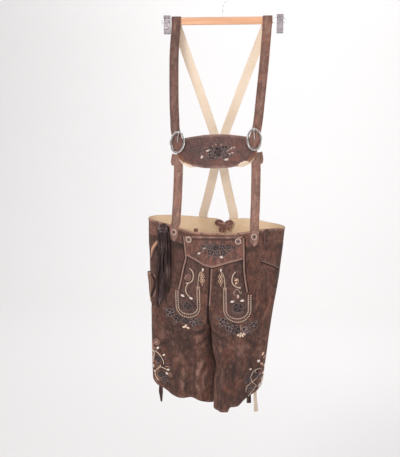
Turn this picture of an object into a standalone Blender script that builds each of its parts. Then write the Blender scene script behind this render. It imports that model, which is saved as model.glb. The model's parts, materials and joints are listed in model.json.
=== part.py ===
"""Embroidered leather shorts with braces (lederhosen), hung by the braces over a wooden clip hanger.

Metres, +Z up. The wearer's front faces -Y and the wearer's left is +X. The origin is the point inside the
hanger's hook where it bears on a rail. The shorts are leather walls that follow one surface: plan
sections at a few heights, each a smooth curve from the centre seam round to the side seam.
"""

import math
from collections import namedtuple

import bmesh
import bpy
from mathutils import Matrix, Vector

# ---------------------------------------------------------------- driving sizes
LEATHER = 0.0020
SEAM = 0.0003
LIFT = 0.0006
STRAP_WIDTH = 0.028
STRAP_THICK = 0.0022

BAR_HALF = 0.145
BAR_DEPTH = 0.012
BAR_HEIGHT = 0.022
BAR_Z = -0.100
BAR_ROUND = 0.003
HOOK_WIRE = 0.0018
HOOK_RADIUS = 0.0228
ROD = 0.00125
ROD_SPREAD = 0.0070
ROD_REACH = 0.1835
CLIP_X = 0.1665
CLIP_WIDTH = 0.019

CENTRE_X = -0.018
CROTCH_Z = -1.040
VALLEY = 0.115
SEAM_CURVE = 2.4
WAISTBAND = 0.045
LEG_PART = 0.0012
LAP_OVER = 0.0040
LAP_FORTH = 0.0120
ROUNDNESS = 0.62
ARC_REACH = 4 / 3
FOLD_SPAN = 0.26

RIGHT, LEFT = -1, 1
FRONT, BACK = -1, 1
SIDES = {RIGHT: "right", LEFT: "left"}

# ---------------------------------------------------------------- tables of the shorts' form
# Half widths and depths of each leg's share of the shorts, measured from the centre line.
Section = namedtuple("Section", "z half_right half_left front_right front_left back_right back_left")
SECTIONS = (
    Section(-0.690, 0.211, 0.213, 0.084, 0.084, 0.079, 0.079),
    Section(-0.750, 0.211, 0.208, 0.087, 0.087, 0.084, 0.084),
    Section(-0.820, 0.209, 0.201, 0.086, 0.087, 0.088, 0.088),
    Section(-0.900, 0.207, 0.191, 0.080, 0.083, 0.088, 0.088),
    Section(-0.970, 0.206, 0.180, 0.070, 0.077, 0.080, 0.082),
    Section(-1.040, 0.206, 0.171, 0.057, 0.069, 0.066, 0.074),
    Section(-1.120, 0.206, 0.162, 0.045, 0.063, 0.050, 0.066),
    Section(-1.200, 0.205, 0.153, 0.038, 0.061, 0.040, 0.062),
    Section(-1.310, 0.199, 0.145, 0.035, 0.060, 0.036, 0.061),
)

# Height of the top edge, front and back, by distance from the centre line (- is the wearer's right).
Waist = namedtuple("Waist", "off front back")
WAIST_EDGE = (
    Waist(-0.211, -0.6898, -0.6900),
    Waist(-0.182, -0.6914, -0.6912),
    Waist(-0.147, -0.6955, -0.6930),
    Waist(-0.120, -0.7010, -0.6950),
    Waist(-0.090, -0.7085, -0.6968),
    Waist(-0.067, -0.7137, -0.6985),
    Waist(-0.040, -0.7168, -0.7008),
    Waist(0.000, -0.7172, -0.7030),
    Waist(0.053, -0.7168, -0.6995),
    Waist(0.083, -0.7145, -0.6995),
    Waist(0.106, -0.7107, -0.7020),
    Waist(0.147, -0.7048, -0.7065),
    Waist(0.184, -0.7040, -0.7082),
    Waist(0.213, -0.7085, -0.7088),
)

# Where the centre line runs at each height.
Centre = namedtuple("Centre", "z x")
CENTRE_LINE = (
    Centre(-0.800, -0.0180),
    Centre(-0.895, -0.0225),
    Centre(-0.960, -0.0275),
    Centre(-1.020, -0.0320),
    Centre(-1.060, -0.0305),
    Centre(-1.110, -0.0220),
    Centre(-1.160, -0.0110),
    Centre(-1.215, -0.0180),
    Centre(-1.310, -0.0190),
)

# Heights of each leg's hem, by share of the leg's width from the inseam out.
Hem = namedtuple("Hem", "share right_front right_back left_front left_back")
HEMS = (
    Hem(0.00, -1.293, -1.286, -1.302, -1.286),
    Hem(0.15, -1.285, -1.282, -1.300, -1.280),
    Hem(0.34, -1.270, -1.277, -1.299, -1.275),
    Hem(0.39, -1.269, -1.275, -1.281, -1.274),
    Hem(0.55, -1.270, -1.272, -1.276, -1.268),
    Hem(0.68, -1.266, -1.266, -1.258, -1.258),
    Hem(0.82, -1.245, -1.252, -1.238, -1.244),
    Hem(0.93, -1.233, -1.238, -1.222, -1.228),
    Hem(1.00, -1.214, -1.216, -1.204, -1.206),
)

# Main folds. Shares run from the centre or inseam (0) to the side seam (1); depth is + for a ridge.
Fold = namedtuple("Fold", "side face share_top share_end z_top z_end width depth")
FOLDS = (
    Fold(RIGHT, FRONT, 0.30, 0.33, -0.98, -1.46, 0.014, 0.0060),
    Fold(RIGHT, FRONT, 0.38, 0.43, -1.00, -1.46, 0.013, -0.0060),
    Fold(RIGHT, FRONT, 0.52, 0.50, -1.02, -1.46, 0.020, 0.0045),
    Fold(RIGHT, FRONT, 0.66, 0.62, -1.05, -1.46, 0.024, -0.0070),
    Fold(RIGHT, FRONT, 0.80, 0.84, -1.00, -1.30, 0.026, 0.0040),
    Fold(RIGHT, FRONT, 0.68, 0.66, -0.82, -1.04, 0.020, -0.0050),
    Fold(RIGHT, FRONT, 0.80, 0.80, -0.82, -1.02, 0.020, 0.0030),
    Fold(LEFT, FRONT, 0.27, 0.30, -1.00, -1.46, 0.013, 0.0060),
    Fold(LEFT, FRONT, 0.40, 0.40, -1.04, -1.24, 0.018, -0.0045),
    Fold(LEFT, FRONT, 0.72, 0.56, -1.00, -1.46, 0.020, -0.0065),
    Fold(LEFT, FRONT, 0.84, 0.74, -1.00, -1.46, 0.022, 0.0045),
    Fold(LEFT, FRONT, 0.64, 0.66, -0.80, -1.02, 0.020, -0.0040),
    Fold(LEFT, FRONT, 0.78, 0.82, -0.80, -1.04, 0.022, 0.0030),
    Fold(RIGHT, BACK, 0.30, 0.36, -0.90, -1.46, 0.022, -0.0060),
    Fold(RIGHT, BACK, 0.48, 0.52, -0.86, -1.46, 0.024, 0.0055),
    Fold(RIGHT, BACK, 0.68, 0.66, -0.95, -1.46, 0.022, -0.0060),
    Fold(RIGHT, BACK, 0.84, 0.80, -0.78, -1.20, 0.024, 0.0045),
    Fold(LEFT, BACK, 0.34, 0.30, -0.92, -1.46, 0.020, -0.0060),
    Fold(LEFT, BACK, 0.52, 0.46, -0.84, -1.46, 0.024, 0.0055),
    Fold(LEFT, BACK, 0.72, 0.64, -0.92, -1.46, 0.022, -0.0060),
    Fold(LEFT, BACK, 0.86, 0.82, -0.76, -1.10, 0.022, 0.0045),
)

# ---------------------------------------------------------------- materials
MATERIALS = {
    "brown_leather": ((0.105, 0.060, 0.046), 0.85, 0.0),
    "dark_leather": ((0.050, 0.034, 0.030), 0.80, 0.0),
    "cream_leather": ((0.720, 0.560, 0.380), 0.90, 0.0),
    "horn": ((0.300, 0.200, 0.150), 0.35, 0.0),
    "beech": ((0.780, 0.430, 0.210), 0.45, 0.0),
    "steel": ((0.620, 0.600, 0.610), 0.28, 1.0),
    "antique_silver": ((0.480, 0.450, 0.430), 0.35, 1.0),
}


def material(piece, stuff):
    """A material of the piece's own, from the table."""
    colour, rough, metal = MATERIALS[stuff]
    made = bpy.data.materials.new(f"{piece} {stuff}")
    made.use_nodes = True
    shader = made.node_tree.nodes["Principled BSDF"]
    shader.inputs["Base Color"].default_value = (*colour, 1.0)
    shader.inputs["Roughness"].default_value = rough
    shader.inputs["Metallic"].default_value = metal
    return made


# ---------------------------------------------------------------- small helpers
def mix(a, b, share):
    return a + (b - a) * share


def ease(share):
    share = min(1.0, max(0.0, share))
    return share * share * (3 - 2 * share)


def spread(low, high, count):
    """count values from low to high, both included."""
    return [mix(low, high, i / (count - 1)) for i in range(count)]


def look_up(rows, key, column, at):
    """The column's value at a place between rows, on a smooth curve through the rows."""
    keys = [getattr(row, key) for row in rows]
    values = [getattr(row, column) for row in rows]
    if keys[0] > keys[-1]:
        keys, values = keys[::-1], values[::-1]
    at = min(keys[-1], max(keys[0], at))
    i = max(0, min(len(keys) - 2, sum(k <= at for k in keys) - 1))
    slopes = [(values[j + 1] - values[j]) / (keys[j + 1] - keys[j]) for j in range(len(keys) - 1)]

    def slope(j):
        if j in (0, len(slopes)):
            return slopes[min(j, len(slopes) - 1)]
        before, after = slopes[j - 1], slopes[j]
        return 0.0 if before * after <= 0 else 2 * before * after / (before + after)

    width = keys[i + 1] - keys[i]
    s = (at - keys[i]) / width
    return (
        values[i] * (2 * s**3 - 3 * s**2 + 1)
        + slope(i) * width * (s**3 - 2 * s**2 + s)
        + values[i + 1] * (3 * s**2 - 2 * s**3)
        + slope(i + 1) * width * (s**3 - s**2)
    )


def smooth_path(points, count):
    """count points evenly along a smooth curve through the given points (Catmull-Rom)."""
    points = [Vector(p) for p in points]
    ends = [2 * points[0] - points[1], *points, 2 * points[-1] - points[-2]]
    fine = []
    for a, b, c, d in zip(ends, ends[1:], ends[2:], ends[3:]):
        for step in range(16):
            s = step / 16
            fine.append(
                0.5 * (2 * b + (c - a) * s + (2 * a - 5 * b + 4 * c - d) * s**2 + (3 * b - a - 3 * c + d) * s**3)
            )
    fine.append(points[-1])
    lengths = [0.0]
    for p, q in zip(fine, fine[1:]):
        lengths.append(lengths[-1] + (q - p).length)
    found, j = [], 0
    for target in spread(0.0, lengths[-1], count):
        while j < len(fine) - 2 and lengths[j + 1] < target:
            j += 1
        found.append(fine[j].lerp(fine[j + 1], (target - lengths[j]) / max(1e-9, lengths[j + 1] - lengths[j])))
    return found


# ---------------------------------------------------------------- mesh makers
def add_object(name, verts, faces, slot, sharp=35):
    """One closed body from points and faces, with its faces turned outwards."""
    mesh = bpy.data.meshes.new(name)
    mesh.from_pydata([tuple(v) for v in verts], [], faces)
    shape = bmesh.new()
    shape.from_mesh(mesh)
    bmesh.ops.recalc_face_normals(shape, faces=shape.faces)
    shape.to_mesh(mesh)
    shape.free()
    mesh.materials.append(material(name, slot))
    mesh.shade_smooth()
    mesh.set_sharp_from_angle(angle=math.radians(sharp))
    obj = bpy.data.objects.new(name, mesh)
    bpy.context.scene.collection.objects.link(obj)
    return obj


def wall(name, rows, place, inner, outer, slot):
    """A leather wall over a grid of places: rows of (a, b), from its inner to its outer lift."""
    columns = len(rows[0])
    verts = [place(a, b, lift) for lift in (outer, inner) for row in rows for a, b in row]
    count = len(rows) * columns

    def at(layer, i, j):
        return layer * count + i * columns + j

    faces = []
    for i in range(len(rows) - 1):
        for j in range(columns - 1):
            quad = (i, j), (i, j + 1), (i + 1, j + 1), (i + 1, j)
            faces.append([at(0, *corner) for corner in quad])
            faces.append([at(1, *corner) for corner in reversed(quad)])
    last_row, last_column = len(rows) - 1, columns - 1
    rim = [(0, j) for j in range(columns)]
    rim += [(i, last_column) for i in range(1, len(rows))]
    rim += [(last_row, j) for j in range(last_column - 1, -1, -1)]
    rim += [(i, 0) for i in range(last_row - 1, 0, -1)]
    for here, there in zip(rim, rim[1:] + rim[:1]):
        faces.append([at(0, *here), at(1, *here), at(1, *there), at(0, *there)])
    return add_object(name, verts, faces, slot)


def loft(name, rings, slot, closed=False, sharp=35):
    """Skins rings of equal length; an open loft gets a cap at each end."""
    size = len(rings[0])
    verts = [p for ring in rings for p in ring]
    faces = []
    spans = len(rings) if closed else len(rings) - 1
    for i in range(spans):
        a, b = i * size, (i + 1) % len(rings) * size
        for j in range(size):
            k = (j + 1) % size
            faces.append([a + j, a + k, b + k, b + j])
    if not closed:
        faces.append(list(range(size))[::-1])
        faces.append([(len(rings) - 1) * size + j for j in range(size)])
    return add_object(name, verts, faces, slot, sharp)


def round_bar(name, points, radius, slot, sides=8):
    """A wire or rod of round section along a path, its section carried along without twist."""
    points = [Vector(p) for p in points]
    rings, normal = [], None
    for i, p in enumerate(points):
        ahead = (points[min(i + 1, len(points) - 1)] - points[max(i - 1, 0)]).normalized()
        if normal is None:
            normal = ahead.orthogonal().normalized()
        normal = (normal - ahead * normal.dot(ahead)).normalized()
        across = ahead.cross(normal)
        turns = [2 * math.pi * k / sides for k in range(sides)]
        rings.append([p + radius * (math.cos(t) * normal + math.sin(t) * across) for t in turns])
    return loft(name, rings, slot, sharp=60)


def ribbon_rings(points, normals, widths, thick):
    """Rings of a flat strip along a path; normals point to the strip's outer face."""
    rings = []
    for i, p in enumerate(points):
        ahead = (points[min(i + 1, len(points) - 1)] - points[max(i - 1, 0)]).normalized()
        normal = (normals[i] - ahead * normals[i].dot(ahead)).normalized()
        across = ahead.cross(normal)
        half, up = across * widths[i] / 2, normal * thick / 2
        rings.append([p - half + up, p + half + up, p + half - up, p - half - up])
    return rings


def helper(obj):
    """Marks a cutter or a piece that a union has taken in."""
    obj.hide_render = True
    obj.display_type = "WIRE"
    return obj


def combine(obj, other, operation):
    modifier = obj.modifiers.new(f"{operation.lower()} {other.name}", "BOOLEAN")
    modifier.operation = operation
    modifier.object = helper(other)
    return obj


# ---------------------------------------------------------------- the shorts' surface
def leg_share(z):
    """0 above the valley of the centre seam, 1 from the crotch down."""
    return 1 - ease((z - CROTCH_Z) / VALLEY)


def seam_share(z):
    """How far forward the centre seam lies: 1 on the face, 0 under the crotch."""
    w = min(1.0, max(0.0, (z - CROTCH_Z) / VALLEY))
    return 1 - (1 - w) ** SEAM_CURVE


def centre_x(z):
    return look_up(CENTRE_LINE, "z", "x", z)


def centre_depth(face, z):
    """The depth at the centre line, where the two sides meet."""
    word = "front" if face == FRONT else "back"
    return sum(look_up(SECTIONS, "z", f"{word}_{who}", z) for who in SIDES.values()) / 2


def controls(side, face, z):
    """The four control points (out, forth) of one panel's plan section."""
    who = SIDES[side]
    half = look_up(SECTIONS, "z", f"half_{who}", z) + side * (CENTRE_X - centre_x(z))
    depth = look_up(SECTIONS, "z", f"{'front' if face == FRONT else 'back'}_{who}", z)
    middle = centre_depth(face, z)
    legs, valley = leg_share(z), 1 - seam_share(z)
    lap = ease((CROTCH_Z - z) / 0.10)
    part = SEAM / 2 + LEG_PART * lap
    inner = part - LAP_OVER * lap if side == LEFT else part + LAP_OVER / 2 * lap
    forth = middle * (1 - valley) - side * face * LAP_FORTH * lap
    return (
        (inner, forth),
        (mix(ROUNDNESS * half, part, legs), mix(middle, depth, legs) * (1 + valley / 3)),
        (half, depth * mix(ROUNDNESS, ARC_REACH, legs)),
        (half, 0.0),
    )


def fold_height(side, face, share, z):
    total = 0.0
    for fold in FOLDS:
        if (fold.side, fold.face) != (side, face) or not fold.z_end < z < fold.z_top:
            continue
        run = (fold.z_top - z) / (fold.z_top - fold.z_end)
        centre = mix(fold.share_top, fold.share_end, run)
        window = ease(run / 0.35) * ease((1 - run) / 0.35)
        total += fold.depth * window * math.exp(-(((share - centre) * FOLD_SPAN / fold.width) ** 2))
    return total * ease(share / 0.1) * ease((1 - share) / 0.1)


def surface(side, face, share, z, lift=0.0):
    """A point of the shorts. share runs along the section, from the centre seam to the side seam."""
    a, b, c, d = controls(side, face, z)
    s, r = share, 1 - share
    out, forth = (r**3 * a[k] + 3 * r * r * s * b[k] + 3 * r * s * s * c[k] + s**3 * d[k] for k in (0, 1))
    along = [r * r * (b[k] - a[k]) + 2 * r * s * (c[k] - b[k]) + s * s * (d[k] - c[k]) for k in (0, 1)]
    length = math.hypot(*along) or 1.0
    push = lift + fold_height(side, face, share, z)
    out -= along[1] / length * push
    forth += along[0] / length * push
    return Vector((centre_x(z) + side * out, face * forth, z))


def share_at(side, face, out, z):
    """The share along the section that lies this far out from the centre line."""
    low, high = 0.0, 1.0
    a, b, c, d = (p[0] for p in controls(side, face, z))
    for _ in range(24):
        s = (low + high) / 2
        r = 1 - s
        found = r**3 * a + 3 * r * r * s * b + 3 * r * s * s * c + s**3 * d
        low, high = (s, high) if found < out else (low, s)
    return (low + high) / 2


def on_face(face):
    """place(off, z, lift) on the shorts' front or back, off being the distance from the centre line."""

    def place(off, z, lift):
        out = CENTRE_X + off - centre_x(z)
        side = LEFT if out >= 0 else RIGHT
        return surface(side, face, share_at(side, face, abs(out), z), z, lift)

    return place


on_front, on_back = on_face(FRONT), on_face(BACK)


def normal_at(place, off, z):
    return (place(off, z, 0.002) - place(off, z, 0.0)).normalized()


def torso_width(share):
    """The share of the half width reached at this share of the section, above the crotch."""
    r = 1 - share
    return 3 * r * r * share * ROUNDNESS + 3 * r * share**2 + share**3


def waist_z(side, face, share):
    off = side * torso_width(share) * 0.2115
    return look_up(WAIST_EDGE, "off", "front" if face == FRONT else "back", off)


def hem_z(side, face, share):
    across = 3 * share**2 - 2 * share**3
    return look_up(HEMS, "share", f"{SIDES[side]}_{'front' if face == FRONT else 'back'}", across)


# ---------------------------------------------------------------- leather panels of the shorts
NOTCH_OFF = 0.014
NOTCH_HALF = 0.020
NOTCH_DEPTH = 0.062
NOTCH_TOP = -0.703
SLIT_HEIGHT = 0.065
SLIT_SHARE = 0.022
PANEL_COLUMNS = 15
ROWS_ABOVE, ROWS_BELOW = 14, 11


def notch_edge(side, z):
    """How far out the back's inner edge lies at this height: it opens into a V at the top."""
    open_share = min(1.0, max(0.0, (z - NOTCH_TOP + NOTCH_DEPTH) / NOTCH_DEPTH))
    return max(SEAM / 2, side * NOTCH_OFF * ease(open_share * 3) + NOTCH_HALF * open_share)


def panel_rows(side, face):
    """Rows of (share, z) from under the waistband to the hem, with one row at the crotch."""
    rows = []
    for i in range(ROWS_ABOVE + ROWS_BELOW + 1):
        row = []
        for share in spread(0.0, 1.0, PANEL_COLUMNS):
            top = waist_z(side, face, share) - WAISTBAND - SEAM
            hem = hem_z(side, face, share)
            if i <= ROWS_ABOVE:
                run = i / ROWS_ABOVE
                z = mix(top, CROTCH_Z, run * (1.25 - 0.25 * run))
            else:
                z = mix(CROTCH_Z, hem, (i - ROWS_ABOVE) / ROWS_BELOW)
            inner = 0.0
            if face == BACK:
                inner = share_at(side, face, notch_edge(side, z), z)
            slit = SLIT_SHARE * min(1.0, max(0.0, 1 - (z - hem_z(side, face, 1.0)) / SLIT_HEIGHT))
            row.append((mix(inner, 1 - slit, share), z))
        rows.append(row)
    return rows


def leg_panels():
    """Front and back of each leg: four leather walls with butted seams."""
    for side, who in SIDES.items():
        for face, word in ((FRONT, "front"), (BACK, "back")):

            def place(share, z, lift, side=side, face=face):
                point = surface(side, face, share, z, lift)
                point.y += face * SEAM / 2
                return point

            wall(f"{word}_{who}", panel_rows(side, face), place, -LEATHER, 0.0, "brown_leather")


def waistbands():
    """The top band: one piece across the front, and two at the back that meet at the laced notch."""
    drops = spread(0.0, WAISTBAND, 4)

    def front(step, drop, lift):
        side = LEFT if step >= 0 else RIGHT
        point = surface(side, FRONT, abs(step), waist_z(side, FRONT, abs(step)) - drop, lift)
        point.y -= SEAM / 2
        return point

    rows = [[(step, drop) for step in spread(-1.0, 1.0, 31)] for drop in drops]
    wall("waistband_front", rows, front, -LEATHER - 0.0004, 0.0, "brown_leather")

    for side, who in SIDES.items():

        def back(share, drop, lift, side=side):
            z = waist_z(side, BACK, share) - drop
            inner = share_at(side, BACK, notch_edge(side, z), z)
            point = surface(side, BACK, mix(inner, 1.0, share), z, lift)
            point.y += SEAM / 2
            return point

        rows = [[(share, drop) for share in spread(0.0, 1.0, 16)] for drop in drops]
        wall(f"waistband_back_{who}", rows, back, -LEATHER - 0.0004, 0.0, "brown_leather")


def gusset():
    """The leather V behind the laced notch, lower than the waist edge so that the notch stays open."""
    rows = []
    for z in spread(NOTCH_TOP - 0.016, NOTCH_TOP - NOTCH_DEPTH - 0.012, 6):
        edge = {side: notch_edge(side, z) + 0.007 for side in SIDES}
        rows.append([(off, z) for off in spread(-edge[RIGHT], edge[LEFT], 6)])
    wall("back_gusset", rows, on_back, -LEATHER - 0.0023, -LEATHER - 0.0008, "brown_leather")


# ---------------------------------------------------------------- the drop front
FLAP_TOP, FLAP_TILT = -0.7272, 0.025
BAND_WIDTH, BAND_FOOT = 0.0100, 0.0145
FLAP_LIFTS = (LIFT, LIFT + 0.0016)
PIPE_WIDTH = 0.0044
CENTRE_PIPE = 0.0040
STRIP_END = -0.945

# The round lobe of each flap half: its centre, its band's outer half width, and the tops of its outer and inner arms.
Lobe = namedtuple("Lobe", "off z half arm_top strip_top")
LOBES = {
    RIGHT: Lobe(0.0757, -0.9520, 0.0388, -0.9050, -0.8085),
    LEFT: Lobe(0.0757, -0.9560, 0.0418, -0.9100, -0.8130),
}

# How far out the piping on each side of the flap lies, by height.
Side = namedtuple("Side", "z right left")
FLAP_SIDE = (
    Side(-0.7300, 0.0860, 0.0930),
    Side(-0.7600, 0.0823, 0.0943),
    Side(-0.7900, 0.0795, 0.0951),
    Side(-0.8035, 0.0807, 0.0952),
    Side(-0.8227, 0.0857, 0.0956),
    Side(-0.8430, 0.0905, 0.0974),
    Side(-0.8690, 0.0960, 0.1008),
    Side(-0.8980, 0.1035, 0.1052),
)

# The yoke's lower edge.
Yoke = namedtuple("Yoke", "off z")
YOKE_EDGE = (
    Yoke(-0.080, -0.7870),
    Yoke(-0.061, -0.7960),
    Yoke(-0.043, -0.8055),
    Yoke(-0.027, -0.8150),
    Yoke(-0.012, -0.8205),
    Yoke(0.000, -0.8219),
    Yoke(0.012, -0.8195),
    Yoke(0.030, -0.8137),
    Yoke(0.054, -0.8060),
    Yoke(0.072, -0.8005),
    Yoke(0.093, -0.7945),
)


def band_width(angle):
    """The band is wider round the bottom of the lobe; the angle runs from 0 to 180 round the arc."""
    return mix(BAND_WIDTH, BAND_FOOT, math.sin(math.radians(angle)) ** 2)


def lobe_half(side, z):
    """Half the lobe's width inside its band, at this height."""
    lobe = LOBES[side]
    reach = lobe.half - BAND_WIDTH - 2 * SEAM
    fall = lobe.half - BAND_FOOT - 2 * SEAM
    return reach * math.sqrt(max(0.0, 1 - (max(0.0, lobe.z - z) / fall) ** 2))


def pipe_out(side, z):
    return look_up(FLAP_SIDE, "z", SIDES[side], z) - PIPE_WIDTH / 2 - 3 * SEAM


def flap_out(side, z):
    lobe = LOBES[side].off + lobe_half(side, z)
    return lobe if z < FLAP_SIDE[-1].z else min(pipe_out(side, z), lobe)


def flap_in(side, z):
    return LOBES[side].off - lobe_half(side, z)


def flap_top(off):
    return FLAP_TOP + FLAP_TILT * off


def drop_front():
    """Two flap halves, the two strips beside the centre seam, the bands, the piping and the yoke."""
    for side, who in SIDES.items():
        lobe = LOBES[side]
        fall = lobe.half - BAND_FOOT - 2 * SEAM
        turn = FLAP_SIDE[-1].z
        heights = spread(FLAP_TOP - 0.004, turn, 10) + spread(turn - 0.004, lobe.z, 3) + [lobe.z - fall * math.sin(math.radians(t)) for t in (20, 38, 54, 68, 80)]
        rows = [[(side * off, z) for off in spread(flap_in(side, z), flap_out(side, z), 6)] for z in heights]
        wall(f"flap_{who}", rows, on_front, *FLAP_LIFTS, "dark_leather")
        edge = lobe.off - lobe.half - 2 * SEAM
        rows = []
        for z in spread(FLAP_TOP - 0.004, STRIP_END, 14):
            shift = centre_x(z) - CENTRE_X
            rows.append([(off, z) for off in spread(shift + side * (CENTRE_PIPE / 2 + SEAM), side * edge, 4)])
        wall(f"centre_strip_{who}", rows, on_front, *FLAP_LIFTS, "brown_leather")
        flap_band(side, who)
        path = [(side * getattr(row, who), row.z) for row in FLAP_SIDE]
        bead(f"flap_piping_{who}", path, PIPE_WIDTH, 0.0026, 12, on_front, "brown_leather")
    path = [(centre_x(z) - CENTRE_X, z) for z in spread(-0.826, STRIP_END, 7)]
    bead("centre_piping", path, CENTRE_PIPE, 0.0026, 9, on_front, "brown_leather")
    yoke()


def profile_sweep(name, path, profile, place, slot, scales=None):
    """Sweeps a profile of (across, lift) along a path of (off, z) places on the surface."""
    rings = []
    for i, here in enumerate(path):
        ahead = (Vector(path[min(i + 1, len(path) - 1)]) - Vector(path[max(i - 1, 0)])).normalized()
        side = Vector((ahead.y, -ahead.x)) * (scales[i] if scales else 1)
        rings.append([place(here[0] + side.x * a, here[1] + side.y * a, lift) for a, lift in profile])
    return loft(name, rings, slot, sharp=50)


def bead(name, path, width, height, count, place, slot, low=LIFT):
    """A half-round cord of leather along a path of (off, z) places."""
    flat = [(p.x, p.y) for p in smooth_path([(a, b, 0.0) for a, b in path], count)]
    profile = [(-width / 2, low), (-width * 0.36, low + height * 0.7), (0.0, low + height)]
    profile += [(width * 0.36, low + height * 0.7), (width / 2, low)]
    return profile_sweep(name, flat, profile, place, slot)


def flap_band(side, who):
    """The raised double band that frames the flap's round lobe: an outer arm, the arc and a long inner arm."""
    lobe = LOBES[side]
    arm = lobe.half - BAND_WIDTH / 2
    path = [(lobe.off + arm, z, BAND_WIDTH) for z in spread(lobe.arm_top, lobe.z + 0.004, 4)]
    for t in spread(0, 180, 15):
        c, s = math.cos(math.radians(t)), math.sin(math.radians(t))
        width = band_width(t)
        path.append((lobe.off + (lobe.half - width / 2) * c, lobe.z - (lobe.half - width / 2) * s, width))
    path += [(lobe.off - arm, z, BAND_WIDTH) for z in spread(lobe.z + 0.008, lobe.strip_top, 8)]
    low, ridge = LIFT + 0.0011, LIFT + 0.0020
    profile = [(-0.5, LIFT), (-0.5, low), (-0.31, ridge), (-0.1, low), (0.1, low), (0.31, ridge), (0.5, low), (0.5, LIFT)]
    flat = [(side * off, z) for off, z, _ in path]
    profile_sweep(f"flap_band_{who}", flat, profile, on_front, "brown_leather", [width for *_, width in path])


def yoke():
    """The flap's top piece, from under the waist edge down to a shallow point."""
    lifts = (FLAP_LIFTS[1] + 0.0006, FLAP_LIFTS[1] + 0.0020)
    offs = [-0.060, -0.043, -0.027, -0.013, 0.0, 0.013, 0.030, 0.046, 0.062, 0.076]
    rows = []
    for run in spread(0.0, 1.0, 5):
        row = []
        z = mix(FLAP_TOP, -0.795, run)
        for off in [-pipe_out(RIGHT, z) + 0.0004, -0.070, *offs, pipe_out(LEFT, z) - 0.0004]:
            row.append((off, mix(flap_top(off), look_up(YOKE_EDGE, "off", "z", off), run)))
        rows.append(row)
    wall("flap_yoke", rows, on_front, *lifts, "brown_leather")


# ---------------------------------------------------------------- buttons, pockets and loops
BUTTON_RADIUS = 0.0095
BUTTON_PROFILE = (
    (0.0086, 0.0000),
    (0.0095, 0.0020),
    (0.0088, 0.0036),
    (0.0070, 0.0040),
    (0.0050, 0.0027),
    (0.0020, 0.0030),
)
STRAP_ON_BAND = LIFT + STRAP_THICK
Button = namedtuple("Button", "name off z lift place")
BUTTONS = (
    Button("strap_button_right", -0.1160, -0.7192, STRAP_ON_BAND, on_front),
    Button("strap_button_left", 0.1241, -0.7260, STRAP_ON_BAND, on_front),
    Button("flap_button_right", -0.0696, -0.7385, FLAP_LIFTS[1] + 0.0020, on_front),
    Button("flap_button_left", 0.0780, -0.7392, FLAP_LIFTS[1] + 0.0020, on_front),
    Button("back_button_right", -0.0520, -0.7300, STRAP_ON_BAND, on_back),
    Button("back_button_left", 0.0450, -0.7300, STRAP_ON_BAND, on_back),
)


def buttons():
    """Turned horn discs with a raised rim and a dished middle."""
    for button in BUTTONS:
        turns = [2 * math.pi * k / 12 for k in range(12)]
        rings = [[Vector((r * math.cos(t), r * math.sin(t), h)) for t in turns] for r, h in BUTTON_PROFILE]
        obj = loft(button.name, rings, "horn", sharp=60)
        up = normal_at(button.place, button.off, button.z)
        obj.rotation_mode = "QUATERNION"
        obj.rotation_quaternion = up.to_track_quat("Z", "Y")
        obj.location = button.place(button.off, button.z, button.lift + 0.0007)


def pocket_welts():
    """The rolled edge of each slanted side pocket."""
    routes = {
        RIGHT: [(-0.1715, -0.7600), (-0.1838, -0.7780), (-0.1920, -0.7960), (-0.1990, -0.8140)],
        LEFT: [(0.1454, -0.8006), (0.1629, -0.8085), (0.1800, -0.8181), (0.1930, -0.8300)],
    }
    for side, who in SIDES.items():
        bead(f"pocket_welt_{who}", routes[side], 0.0050, 0.0030, 10, on_front, "brown_leather", 0.0011)


def knife_pocket():
    """A narrow pouch on the right side seam, open at the top, its mouth standing off the leg."""
    heights = spread(-0.864, -0.962, 8)

    def place(across, z, lift):
        run = (heights[0] - z) / (heights[0] - heights[-1])
        bulge = 0.0075 * (1 - across**2) * (1 - run) ** 0.7
        along = mix(-0.014, -0.009, run) + across * mix(0.020, 0.011, run**2)
        face = FRONT if along < 0 else BACK
        return surface(RIGHT, face, 1 - abs(along) / FOLD_SPAN, z, lift + bulge)

    rows = [[(across, z) for across in (-1.0, -0.66, -0.33, 0.0, 0.33, 0.66, 1.0)] for z in heights]
    wall("knife_pocket", rows, place, LIFT, LIFT + 0.0018, "brown_leather")


def belt_loops():
    """Upright leather loops on the waistband, two in front and two behind."""
    places = (
        ("belt_loop_front_right", -0.1480, "front", 0.034, on_front),
        ("belt_loop_front_left", 0.1585, "front", 0.047, on_front),
        ("belt_loop_back_right", -0.1150, "back", 0.047, on_back),
        ("belt_loop_back_left", 0.1150, "back", 0.047, on_back),
    )
    for name, off, word, length, place in places:
        top = look_up(WAIST_EDGE, "off", word, off) - 0.0008
        path = [(off, z) for z in spread(top, top - length, 7)]
        rings = []
        for i, (x, z) in enumerate(path):
            bow = 0.0026 * math.sin(math.pi * i / 6)
            low, high = LIFT + bow, LIFT + bow + 0.0016
            rings.append([place(x + a, z, lift) for a, lift in ((-0.006, low), (-0.006, high), (0.006, high), (0.006, low))])
        loft(name, rings, "dark_leather")


# ---------------------------------------------------------------- braces
CHEST_SLOPE = 0.1184
CROSS = Vector((-0.0165, 0.0, -0.4825))


def front_plane(z):
    """Y of the plane in which the front straps hang, from the bar down to the waist."""
    return -(BAR_DEPTH / 2 + 0.0018) - CHEST_SLOPE * max(0.0, BAR_Z - 0.005 - z)


def back_plane(z):
    return (BAR_DEPTH / 2 + 0.0018) + 0.1270 * max(0.0, BAR_Z - 0.005 - z)


FRONT_OUT = Vector((0, -1, CHEST_SLOPE)).normalized()
BACK_OUT = Vector((0, 1, 0.1270)).normalized()

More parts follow.
